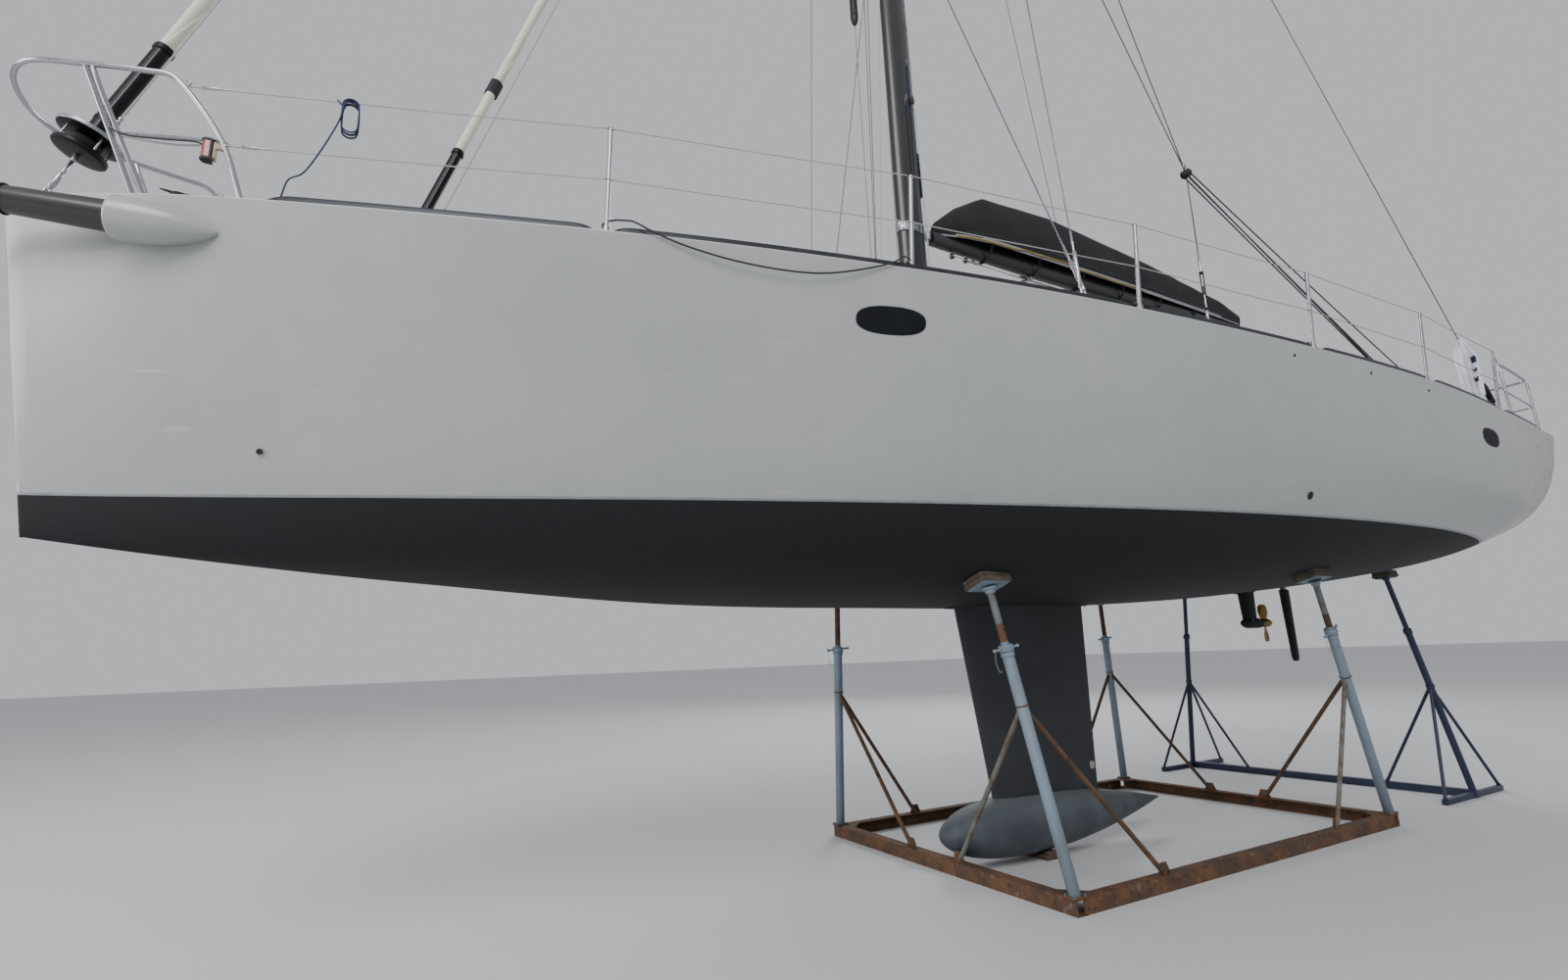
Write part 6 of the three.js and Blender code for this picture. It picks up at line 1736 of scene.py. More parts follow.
def buildLinks():
    fore = stays["fore"]
    on = lambda stay, h: stay["foot"] + stay["axis"] * (h / 1000)
    parts = {"polishedStainless": []}
    riggingScrew(on(fore, 0), fore["top"], 14, 172, parts)
    parts["polishedStainless"] += [rod(on(fore, 240), on(fore, 282), 13, sides=20),
                                   rod(on(fore, -10), on(fore, 24), 9, sides=14)]
    addPiece("forestayToggle", parts, ["forestay_link"])
    z = deckTop(1650, 0)
    plates = [box(1590, 1710, -34, 34, z - 3, z + 8, 2, 12)]
    for y in (-12, 6):
        plates.append(plate([at(a, y, z + h) for a, h in ((1620, 6), (1676, 6), (1668, 46), (1652, 60),
                                                          (1634, 60), (1620, 46))], toPort * 0.006, 0.8))
    plates += [rod(at(1646, -18, z + 40), at(1646, 18, z + 40), 7, sides=14),
               rod(on(inner, 8), on(inner, 60), 11, sides=16),
               turned([(0, 0), (16, 0), (16, 12), (11, 16), (0, 16)], on(inner, 30), inner["axis"], 6)]
    addPiece("innerStayToggle", {"polishedStainless": plates}, ["inner_stay_link"])


buildLinks()
print("furlers made")


# Boom, its stowed sail and cover, vang and gooseneck
def rounded(outline, times=2):   # corner cutting of a closed outline
    for _ in range(times):
        outline = [q for a, b in zip(outline, outline[1:] + outline[:1]) for q in (between(a, b, 0.25),
                between(a, b, 0.75))]
    return outline


boomRows = {"s": (5865, 7200, 9800, 10520), "half": (55, 75, 75, 60), "height": (80, 105, 100, 70)}
pivot = {"s": 5835, "z": 5205, "vangZ": 4350, "radius": 29.5}
coverRows = {"s": (5900, 6180, 6480, 7340, 8800, 10100, 10500), "topHalf": (20, 60, 80, 95, 95, 80, 60),
             "half": (40, 110, 150, 150, 130, 90, 70), "height": (95, 330, 505, 530, 395, 235, 140)}
coverSteps, coverThick = 60, 0.0024   # points from hem to hem, metres


def linearColumn(table, name, s):
    return float(np.interp(s, table["s"], table[name]))


def boomRing(s, grow=0.0):
    half, high = (linearColumn(boomRows, n, s) for n in ("half", "height"))
    z, side = pivot["z"], half + grow
    outline = [(side * 0.6, z - high - grow), (side, z - high * 0.5), (side, z + high * 0.6 + grow),
               (-side, z + high * 0.6 + grow), (-side, z - high * 0.5), (-side * 0.6, z - high - grow)]
    return rounded([at(s, y, h) for y, h in outline], 3)


# How far the tight cover stands off its smooth form: diagonal creases that come and go, slack between battens
def coverFold(s, v):
    crease = math.sin(s / 88 + 11 * v + 2 * math.sin(s / 371)) * math.sin(s / 517 + 4 * v)
    slack = math.sin(s / 236 + 2.4 * math.sin(s / 640)) + 0.5 * math.sin(v * 19 + s / 1300)
    batten = max(0, math.cos(2 * math.pi * (s - 6480) / 930)) ** 16
    return (2.4 * crease + 1.7 * slack + 3 * batten) * abs(math.sin(2 * math.pi * v)) ** 0.7


def coverSection(s):
    topHalf, half, high = (linearColumn(coverRows, n, s) for n in ("topHalf", "half", "height"))
    z = pivot["z"] + 40
    side = [(half - 6, z - 26), (half + 2, z + 4), (half + 10, z + high * 0.4),
            (topHalf + 8, z + high - 40), (topHalf * 0.55, z + high - 12), (0, z + high)]
    path = smoothPath([at(s, y, h) for y, h in side + [(-y, h) for y, h in side[-2::-1]]], 14)
    total = len(path) - 1
    return [path[round(i * total / coverSteps)] for i in range(coverSteps + 1)]


def coverShape():
    rings = []
    for s in np.linspace(5900, 10500, 240):
        path = coverSection(s)
        outer = []
        for i, p in enumerate(path):
            v = i / coverSteps
            across = (path[min(i + 1, coverSteps)] - path[max(i - 1, 0)]).normalized()
            normal = across.cross(forward)
            outer.append(p + normal * (coverFold(s, v) / 1000))
        inner = []
        for i, p in enumerate(outer):
            across = (outer[min(i + 1, coverSteps)] - outer[max(i - 1, 0)]).normalized()
            inner.append(p - across.cross(forward) * coverThick)
        rings.append((outer, inner))
    closed = [outer + inner[::-1] for outer, inner in rings]
    # each end is drawn shut on the boom by a cord in its hem
    for s, fore in ((5900, 1), (10500, -1)):
        middle = at(s, 0, pivot["z"] + 45)
        hem = closed[0 if fore > 0 else -1]
        gathered = [[middle + (p - middle) * part + Vector((fore * out / 1000, 0, 0)) for p in hem]
                    for out, part in ((9, 0.88), (14, 0.6), (15, 0.3), (13, 0.05))]
        closed = gathered[::-1] + closed if fore > 0 else closed + gathered
    return loft(closed), [outer for outer, _ in rings]


def buildBoom():
    stations = np.linspace(5865, 10490, 30)
    parts = {"lacqueredCarbon": [loft([boomRing(s) for s in stations])]}
    # cast end with its sheaves, gone red-brown
    cap = []
    for s, k, g in ((10478, 1, 3), (10490, 1, 4), (10512, 0.96, 2), (10530, 0.82, 0), (10540, 0.55, 0)):
        ring = [between(at(s, 0, pivot["z"] - 20), p, k) for p in boomRing(10490, g)]
        cap.append([p + Vector((-(s - 10490) / 1000, 0, 0)) for p in ring])
    parts["weatheredCap"] = [loft(cap)]
    for y in (-20, 20):
        put(parts, "satinAlloy", turned([(0, -5), (24, -5), (26, -3), (20, 0), (26, 3), (24, 5), (0, 5)],
                                        at(10520, y, pivot["z"] - 20), toPort, 24))
    # fork at the fore end, about the gooseneck pin
    for z in (28, -46):
        parts["satinAlloy"].append(box(5869, 5960, -30, 30, pivot["z"] + z, pivot["z"] + z + 18, 3, 8))
    # blocks for the reefing lines and mainsheet under the boom
    for s in (6100, 6260, 9480, 9640):
        z = pivot["z"] - linearColumn(boomRows, "height", s)
        parts["satinAlloy"].append(ringOf(at(s, 0, z - 8), toPort, 12, 4))
        block(at(s, 0, z - 46), toPort, 27, parts, "mouldedNylon", upward)
    put(parts, "paleBraid", lineBetween(at(6100, 12, 5078), at(9480, 12, 5064), 4.5, 42, 26))
    put(parts, "blackBraid", lineBetween(at(6260, -12, 5078), at(10420, -10, 5120), 4.5, 30, 26))
    addPiece("boomSpar", parts, ["boom"], "boom")
    shape, outers = coverShape()
    cloth = addPiece("boomCoverCloth", {"acrylicCanvas": [shape]}, ["boom_cover"], "boom",
                     60)
    trims, ties = [], []
    for side, order in ((1, 0), (-1, -1)):
        edge = [o[order] for o in outers[2:-2]]
        near = [o[2 if order == 0 else -3] for o in outers[2:-2]]
        trims.append(loft([[a + Vector((0, side * 0.0012, 0)), b + Vector((0, side * 0.0012, 0)),
                            b + Vector((0, side * 0.003, 0)), a + Vector((0, side * 0.003, 0))]
                           for a, b in zip(edge, near)]))
    ridge = tube([o[coverSteps // 2] + upward * 0.002 for o in outers[1:-1]], 5, 8)
    for s in range(6480, 10200, 620):   # webbing under the boom
        half = linearColumn(coverRows, "half", s)
        low = pivot["z"] - linearColumn(boomRows, "height", s) - 10
        path = smoothPath([at(s, half - 4, pivot["z"] + 30), at(s, half * 0.72, pivot["z"] - 50),
                           at(s, 20, low), at(s, -20, low), at(s, -half * 0.72, pivot["z"] - 50),
                           at(s, 4 - half, pivot["z"] + 30)], 16)
        ties.append(sweep(path, [(-11, -1), (11, -1), (11, 1), (-11, 1)], up=forward))
    line = [outers[i][1] + Vector((0, 0.009, -0.003 * (i % 4))) for i in range(10, 150, 7)]
    trim = addPiece("coverTrim", {"paleWebbing": trims, "acrylicCanvas": ties,
                                  "yellowBraid": [tube(smoothPath(line, 30), 6, 10)],
                                  "blackRubber": [ridge]}, body="boom")
    half = [outers[i][5] for i in range(4, 236)]
    stitches = addRow("coverStitches", [[(p, toPort) for p in half],
                                        [(acrossShip(p), -toPort) for p in half]], "paleWebbing",
                      "boom", spacing=9, radius=0.8, high=0.6, stretch=3.2)
    strut = at(5905, 0, pivot["vangZ"])
    head = at(7140, 0, pivot["z"] - 90)
    axis = head - strut
    length = axis.length * 1000
    vang = {"lacqueredCarbon": [turned([(0, 30), (30, 30), (32, 36), (31, 40), (29, length * 0.55),
                                        (31, length * 0.56), (31, length * 0.6), (0, length * 0.6)], strut,
                                       axis, 32)],
            "polishedStainless": [turned([(0, length * 0.58), (19, length * 0.6), (19, length * 0.93),
                                          (0, length * 0.94)], strut, axis, 24)],
            "satinAlloy": [box(5865, 5925, -14, 14, pivot["vangZ"] - 25, pivot["vangZ"] + 25, 3, 8),
                           turned([(0, 6), (22, 10), (26, 22), (26, 40), (0, 44)], strut, axis, 24),
                           turned([(0, length * 0.92), (24, length * 0.925), (26, length * 0.94),
                                   (26, length - 20), (16, length - 6), (0, length)], strut, axis, 24)]}
    over = toPort * 0.034
    for dy in (1, -1):
        put(vang, "blackBraid", lineBetween(between(strut, head, 0.08) + over * dy,
                                            between(strut, head, 0.93) + over * dy * 0.8, 4, 6))
    block(between(strut, head, 0.1) - upward * 0.045, toPort, 24, vang)
    addPiece("vangStrut", vang, ["vang"], "boom")


def buildGoosenecks():
    for name, z in (("gooseneck", pivot["z"]), ("vang_bracket", pivot["vangZ"])):
        collar = loft([oval(z + h, 1, e) for h, e in ((-45, 0.5), (-45, 8), (-41, 12), (-34, 9), (34, 9),
                                                      (41, 12), (45, 8), (45, 0.5))])
        arms = [box(5762, 5818, -14, 14, z - 35, z + 35, 3, 6)]
        arms.append(turned([(0, -40), (20, -40), (pivot["radius"] - 2, -38), (pivot["radius"], -35),
                            (pivot["radius"], 35), (pivot["radius"] - 2, 38), (20, 40), (0, 40)],
                           at(pivot["s"], 0, z), upward, 36))
        heads = [turned([(0, 0), (9, 0), (9, 6), (0, 7)],
                        at(mast["s"] + 147 * math.cos(a), 87 * math.sin(a), z + h),
                        Vector((-math.cos(a), math.sin(a), 0)), 6)
                 for h in (-22, 22) for a in (math.radians(d) for d in (38, 90, 142, 218, 270, 322))]
        nut = [turned([(0, 0), (13, 0), (13, 9), (0, 10)], at(pivot["s"], 0, z + 40), upward, 6)]
        parts = {"satinAlloy": [collar] + arms, "polishedStainless": heads + nut}
        addPiece(name.split("_")[0] + "Fitting", parts, [name])


buildBoom()
buildGoosenecks()
print("boom made")

# Cradle
frameBox = {"s0": 5510, "s1": 9454, "y0": -1540, "y1": 1142, "high": 95, "wide": 84, "web": 7, "flange": 9}


# Channel laid along a line; out is the side its web faces
def channel(a, b, out):
    w, h, t, f = (frameBox[k] for k in ("wide", "high", "web", "flange"))
    section = [(0, 0), (w, 0), (w, f * 0.7), (t + 6, f), (t, f + 6), (t, h - f - 6), (t + 6, h - f),
               (w, h - f * 0.7), (w, h), (0, h)]
    along = (b - a).normalized()
    inward = -out.normalized()
    return loft([[p + inward * (u / 1000) + Vector((0, 0, v / 1000)) for u, v in section]
                 for p in (a, a + along * 0.002, b - along * 0.002, b)])


def weld(centre, axis, radius, thick=4):
    return ringOf(centre, axis, radius, thick, 8, 28)


def padShapes(head, along, across, layers, lift):
    s, y = bowX - head.x * 1000, abs(head.y * 1000)
    slope = math.atan2(bottomAt(s, y + 60) - bottomAt(s, y - 60), 120) * (1 if head.y > 0 else -1)
    turn = Matrix.Translation(head) @ Matrix.Rotation(slope, 4, "X")
    shapes = []
    for z0, z1, grow in layers:
        flat = box(bowX - along / 2 - grow, bowX + along / 2 + grow, -across / 2 - grow, across / 2 + grow,
                   lift + z0, lift + z1, 2.5, 8)
        shapes.append(placed(flat, turn))
    return shapes, turn


cradleLegs = {
    "fore_port": dict(corner=(1, 1), pad=(5250, 940), low="galvanisedTube", high="weatheredSteel",
                      fore="paintedBrace", aft="rustedChannel"),
    "fore_stbd": dict(corner=(1, -1), pad=(5400, -1130), low="galvanisedTube", high="rustedChannel",
                      fore="rustedChannel", aft="rustedChannel"),
    "aft_port": dict(corner=(-1, 1), pad=(8500, 1310), low="galvanisedTube", high="weatheredSteel",
                     fore="rustedChannel", aft="paintedBrace"),
    "aft_stbd": dict(corner=(-1, -1), pad=(9200, -1350), low="galvanisedTube", high="rustedChannel",
                     fore="rustedChannel", aft="rustedChannel"),
}


def buildCradle():
    f = frameBox
    s0, s1, y0, y1, w, high = (f[k] for k in ("s0", "s1", "y0", "y1", "wide", "high"))
    steel = {"rustedChannel": [channel(at(s0, y0, 0), at(s0, y1, 0), forward),
                               channel(at(s1, y0, 0), at(s1, y1, 0), aftward),
                               channel(at(s0 + w - 20, y1, 0), at(s1 - w + 20, y1, 0), toPort),
                               channel(at(s0 + w - 20, y0, 0), at(s1 - w + 20, y0, 0), toPort * (-1))]}
    for name, leg in cradleLegs.items():
        ks, ky = leg["corner"]
        s, y = (s0 + w / 2 if ks > 0 else s1 - w / 2), (y1 - w / 2 if ky > 0 else y0 + w / 2)
        padS, padY = leg["pad"]
        foot, head = at(s, y, high - 10), at(padS, padY, bottomAt(padS, abs(padY)) - 75)
        axis = (head - foot).normalized()
        joint, low = between(foot, head, 0.78), between(foot, head, 0.6)
        lower = steel.setdefault(leg["low"], [])
        lower.append(tube([foot, joint], 38, 30))
        steel["rustedChannel"] += [box(s - 58, s + 58, y - 46, y + 46, high - 1, high + 9, 1.5, 4),
                                   weld(foot + upward * 0.021, axis, 40), weld(low, axis, 39, 5)]
        bolts = [turned([(0, 0), (10, 0), (10, 7), (5, 7), (5, 15), (0, 16)], at(s + ds, y + dy, high + 9),
                        upward, 6) for ds in (-46, 46) for dy in (-34, 34)]
        lower += [turned([(38, 0), (44, 2), (44, 26), (38, 28)], joint - axis * 0.03, axis, 32)] + bolts
        for surface, end in ((leg["fore"], at(s, y - ky * 1030, high)),
                             (leg["aft"], at(s + ks * 850, y, high))):
            start = low + (end - low).normalized() * 0.03
            put(steel, surface, tube([start, end - upward * 0.004], 17, 18))
            steel["rustedChannel"] += [weld(end + (low - end).normalized() * 0.014, low - end, 18.5, 3.5)]
            flat = toPort if abs(end.x - foot.x) < 0.1 else forward
            gusset = [end + flat * 0.062 + upward * 0.001, end - flat * 0.062 + upward * 0.001,
                      end - flat * 0.03 + upward * 0.07, end + flat * 0.03 + upward * 0.07]
            steel["rustedChannel"].append(plate(gusset, flat.cross(upward) * 0.006))
        # screw part: collar nut with its bar, thinner tube, plate and plywood pad
        p = lambda h: joint + axis * (h / 1000)
        parts = {leg["high"]: [tube([p(0), head - axis * 0.02], 24, 28)], "galvanisedTube": []}
        gal = parts["galvanisedTube"]
        gal += [turned([(24, 0), (46, 1), (48, 4), (48, 40), (44, 45), (27, 46), (26, 60), (24, 62)],
                       joint, axis, 40),
                turned([(0, -44), (30, -44), (34, -38), (34, -22), (46, -16), (50, -8), (50, 0), (0, 2)],
                       head + axis * 0.006, axis, 36)]
        flat = axis.cross(forward).normalized()
        across = forward - axis * axis.x
        across.normalize()
        gal.append(rod(p(22) - across * 0.105, p(22) + across * 0.105, 8.5, sides=16))
        gal += [ball(p(22) + across * k, 12, 14) for k in (-0.105, 0.105)]
        chain = [p(22) + across * 0.09, p(22) + across * 0.1 - upward * 0.03,
                 p(22) + across * 0.095 - upward * 0.09, p(22) + across * 0.07 - upward * 0.14,
                 p(22) + across * 0.05 - upward * 0.13]
        gal.append(tube(smoothPath(chain, 8), 1.8, 8))
        ridges = [(24 + (1.6 if i % 2 else 0), 64 + i * 4) for i in range(30)]
        put(parts, "rustedChannel", turned([(20, 62)] + ridges + [(20, 64 + 30 * 4)], joint, axis, 24))
        steelPlate, turn = padShapes(head, 236, 166, ((-17, -9, 0),), 40 - 17)
        parts["weatheredPly"] = padShapes(head, 260, 190, ((-30, 6, 0), (8, 36, -3)), 40)[0]
        gal += steelPlate
        gal += [placed(turned([(0, 0), (8, 0), (8, 5), (0, 6)], at(bowX + ds, dy, 40 - 34), upward * (-1),
                              6), turn) for ds in (-98, 98) for dy in (-64, 64)]
        addPiece("prop" + name.title().replace("_", ""), parts, ["prop_" + name])
    # gussets and clamp bolts that hold the side beams
    for s, ks in ((s0, 1), (s1, -1)):
        for y, ky in ((y0, 1), (y1, -1)):
            a, b = s + ks * (w + 2), y + ky * (w + 2)
            steel["rustedChannel"].append(plate([at(a, b, high - 8), at(a + ks * 130, b, high - 8),
                                                 at(a, b + ky * 130, high - 8)], upward * 0.008))
    addPiece("cradleFrame", steel, ["cradle"])
    edge = [[(at(s, y, high + 0.5), upward) for s in (s0 + 400, s1 - 400)] for y in (y0 + 20, y1 - 20)]
    addRow("frameBoltHeads", edge, "rustedChannel", spacing=524, radius=11, high=8,
           spread=0.3, seed=5)


# Stand under the stern
stand = {"s": 11300, "y0": -1900, "y1": 1000, "tube": 70, "runner": 620, "legs": ((1000, -1, 10750, 880),
        (-1900, 1, 10750, -1300))}


def buildStand():
    s, tubeHigh = stand["s"], stand["tube"]
    edge = tubeHigh / 2 + 1
    paint = [box(s - edge, s + edge, stand["y0"] - edge, stand["y1"] + edge, 0, tubeHigh, 3, 5)]
    dark, ply = [], []
    for y, inward, padS, padY in stand["legs"]:
        foot, head = at(s, y, tubeHigh - 8), at(padS, padY, bottomAt(padS, abs(padY)) - 60)
        axis = (head - foot).normalized()
        low = between(foot, head, 0.48)
        joint = between(foot, head, 0.74)
        paint += [tube([foot, joint], 30, 26), box(s - stand["runner"], s + stand["runner"], y - 25, y + 25,
                                                   0, 50, 3, 4)]
        dark += [tube([joint - axis * 0.01, head], 23, 24),
                 turned([(23, -30), (36, -28), (37, -24), (37, 20), (33, 26), (23, 28)], joint, axis, 32)]
        dark.append(rod(joint - axis.cross(toPort).normalized() * 0.075,
                        joint + axis.cross(toPort).normalized() * 0.075, 7, sides=14))
        for end in (at(s, y + inward * 720, tubeHigh), at(s - stand["runner"] + 20, y, 48),
                    at(s + stand["runner"] - 20, y, 48)):
            d = (end - low).normalized()
            paint += [tube([low + d * 0.02, end - upward * 0.004], 15, 16), weld(end - d * 0.01, d, 17, 3)]
        paint.append(turned([(30, -16), (36, -14), (36, 14), (30, 16)], low, axis, 28))
        for ds in (-stand["runner"], stand["runner"]):
            dark.append(box(s + ds - (2 if ds < 0 else -2) - 1, s + ds - (2 if ds < 0 else -2) + 1, y - 22,
                            y + 22, 3, 47, 0.6, 3))
        ply += padShapes(head, 200, 160, ((-34, -6, 0), (-4, 30, -4)), 32)[0]
        dark += padShapes(head, 176, 130, ((-44, -35, 0),), 32)[0]
        dark.append(turned([(0, -40), (28, -40), (34, -32), (34, -20), (0, -18)], head + axis * 0.012, axis,
                           30))
    addPiece("sternStand", {"bluePaintedSteel": paint + dark, "weatheredPly": ply},
             ["stern_stand"])


buildCradle()
buildStand()
print("cradle and stand made")


# Winches: base, waisted drum with its ribs, self-tailing jaws and the socket for the handle
winches = {"primary": dict(place=(9900, 1450, deckTop(9900, 1450) - 25), rope="navyBraid", turns=4),
           "roof": dict(place=(8000, 720, roofTop(8000) - 62), rope="paleBraid", turns=3)}


def winchParts(base):
    lathe = lambda profile, sides=44: turned(profile, base, upward, sides)
    on = lambda r, a, h: base + Vector((r * math.cos(a), r * math.sin(a), h)) / 1000
    drum = [(0, 60), (73, 61), (76, 64), (76, 68), (69, 78), (64, 90), (62, 106), (62, 122), (64, 136),
            (70, 147), (71, 150), (0, 151)]
    lowJaw = [(0, 151), (74, 151), (76, 154), (76, 158), (68, 161), (59, 167), (0, 167)]
    topJaw = [(0, 168), (59, 168), (68, 174), (76, 178), (76, 184), (72, 189), (0, 189)]
    cap = [(15, 180), (15, 199), (18, 202), (36, 202), (41, 199), (42, 190), (0, 189), (0, 180)]
    ribs, teeth = [], []
    for a in turnsOf(30):
        ribs.append(tube([on(r, a, h) for r, h in ((68.5, 79), (64, 90), (62, 106), (62, 122), (64, 136),
                                                   (69, 145))], 1.7, 6))
    for a in turnsOf(24):
        teeth += [rod(on(58, a, 166.5), on(73, a + 0.05, 160.5), 1.6, sides=6),
                  rod(on(58, a, 169), on(73, a + 0.05, 176), 1.6, sides=6)]
    feeder = [on(24, 0.9, 193), on(60, 0.9, 196), on(82, 0.9, 190), on(88, 0.92, 172), on(80, 0.95, 154),
              on(66, 1.0, 146)]
    foot = lathe([(0, 0), (93, 0), (95, 3), (95, 50), (92, 56), (84, 60), (0, 61)])
    arm = sweep(smoothPath(feeder, 8), circle(9, 12, 3.5), up=upward)
    return {"blackAnodised": [foot] + teeth, "satinAlloy": [lathe(drum), lathe(cap, 36), arm] + ribs,
            "mouldedNylon": [lathe(lowJaw), lathe(topJaw)]}


for name, w in winches.items():
    s, y, z = w["place"]
    addPair(name + "Winch", winchParts(at(s, y, z)), ["winch_" + name])
    for k, side in ((1, "Port"), (-1, "Stbd")):
        addWinding(f"{name}Turns{side}", at(s, k * y, z + 88), upward, w["turns"], 69, 12.6 * w["turns"], 6,
                   w["rope"])
print("winches made")


# Side lamps: ribbed lens on the fore half, black housing, cream bracket behind on the pulpit
def buildSideLamps():
    for name, side, lens in (("Port", 1, "redLens"), ("Stbd", -1, "greenLens")):
        def outline(grow, back, z):
            nose = [(824 - (26 + grow) * math.cos(a), (27 + grow) * math.sin(a))
                    for a in np.linspace(-math.pi / 2, math.pi / 2, 19)]
            return [at(s, side * (478 + y), z) for s, y in nose + [(back, 27 + grow), (back, -27 - grow)]]
        glass = plate(outline(-2, 836, 4049), upward * 0.089, 0.6)
        caps = [plate(outline(1, 847, z), upward * 0.015, 3) for z in (4035.5, 4136.5)]
        back = box(835, 848, side * 478 - 27, side * 478 + 27, 4044, 4143, 3, 5)
        visor = box(806, 846, side * 478 - 20, side * 478 + 20, 4150, 4154, 1, 8)
        bracket = [box(848, 862, side * 478 - 22, side * 478 + 22, 4050, 4138, 2, 5),
                   box(858, 900, side * 492 - 12, side * 492 + 12, 4102, 4126, 2, 5)]
        screws = [turned([(0, 0), (4, 0), (3.4, 1.6), (0, 2.4)], at(s, side * 478 + dy, 4151), upward, 10)
                  for s, dy in ((814, 0), (838, 17), (838, -17))]
        parts = {lens: [glass], "mouldedNylon": caps + [back, visor], "creamBracket": bracket,
                 "polishedStainless": screws + [ringOf(at(900, side * 500, 4128),
                                                       Vector((0.4, 0.3 * side, 1)), 13, 3)]}
        addPiece("sideLamp" + name, parts,
                 ["nav_light_" + ("port" if side > 0 else "stbd")])


buildSideLamps()


# Hatches
def roundedLoop(s0, s1, y0, y1, corner, z, count=7):
    points = []
    for k, (cs, cy) in enumerate(((s0, y0), (s1, y0), (s1, y1), (s0, y1))):
        ks, ky = (1 if cs == s0 else -1), (1 if cy == y0 else -1)
        for step in range(count):
            a = math.pi * (1 + k / 2) + step * math.pi / 2 / (count - 1)
            points.append(at(cs + ks * corner + corner * math.cos(a), cy + ky * corner
                             + corner * math.sin(a), z))
    return points


def hatchParts(s, half, z, thick):
    h = thick
    edge = roundedLoop(s - half + 20, s + half - 20, 20 - half, half - 20, 34, z)
    frameSection = [(-20, 0), (20, 0), (20, h - 7), (17, h - 2), (13, h), (-12, h), (-18, h - 4),
                    (-20, h - 10)]
    pane = roundedLoop(s - half + 34, s + half - 34, 34 - half, half - 34, 22, z + 10)
    parts = {"satinAlloy": [sweep(edge, frameSection, up=upward, looped=True)],
             "smokedAcrylic": [plate(pane, upward * ((h - 13) / 1000), 1.5)],
             "blackRubber": [tube(roundedLoop(s - half + 38, s + half - 38, 38 - half, half - 38, 18,
                                              z + h - 3.5), 3, 8, looped=True)]}
    for ky in (1, -1):
        y = ky * (half - 100)
        put(parts, "mouldedNylon", turned([(0, 0), (25, 0), (27, 3), (24, 7), (10, 9), (0, 9)],
                                          at(s + half - 78, y, z + h - 4), upward, 28))
        parts["mouldedNylon"].append(turned([(0, -30), (9, -30), (11, -26), (11, -2), (0, 0)],
                                            at(s + half - 78, y, z + 12), upward, 20))
        # leaf and knuckle of the hinge, on the fore edge
        parts["satinAlloy"] += [box(s - half - 2, s - half + 46, y - 17, y + 17, z + h - 3, z + h + 2, 1,
                                    3), rod(at(s - half, y - 15, z), at(s - half, y + 15, z), 5.5,
                                            sides=16)]
        parts["satinAlloy"].append(box(s - half - 4, s - half + 3, y - 15, y + 15, z, z + h + 1, 0.8, 2))
        parts.setdefault("polishedStainless", []).extend(turned([(0, 0), (4.5, 0), (3.8, 1.6), (0, 2.6)],
                at(s - half + ds, y + dy, z + h + 2), upward, 12) for ds in (14, 32) for dy in (-8, 8))
    return parts


def frameKnuckles(s, half, z):   # what stays on the coaming when a lid opens
    parts = []
    for ky in (1, -1):
        y = ky * (half - 100)
        for dy in (-27, 27):
            parts.append(rod(at(s - half, y + dy - 10, z), at(s - half, y + dy + 10, z), 5.5, sides=16))
            parts.append(box(s - half - 3, s - half + 5.5, y + dy - 10, y + dy + 10, z - 22, z - 1, 0.8, 2))
        parts.append(rod(at(s - half, y - 39, z), at(s - half, y + 39, z), 2.4, sides=12))
    return {"satinAlloy": parts}


for name, hatch, replaced, thick in (("foreHatch", foreHatch, "fore_hatch", 34), ("roofHatch", roofHatch,
        "roof_hatch", 30)):
    s, half, z = hatch["s"], hatch["half"], hatch["z"] + 0.3
    addPiece(name + "Lid", hatchParts(s, half, z, thick), [replaced], replaced)
    addPiece(name + "Knuckles", frameKnuckles(s, half, z))


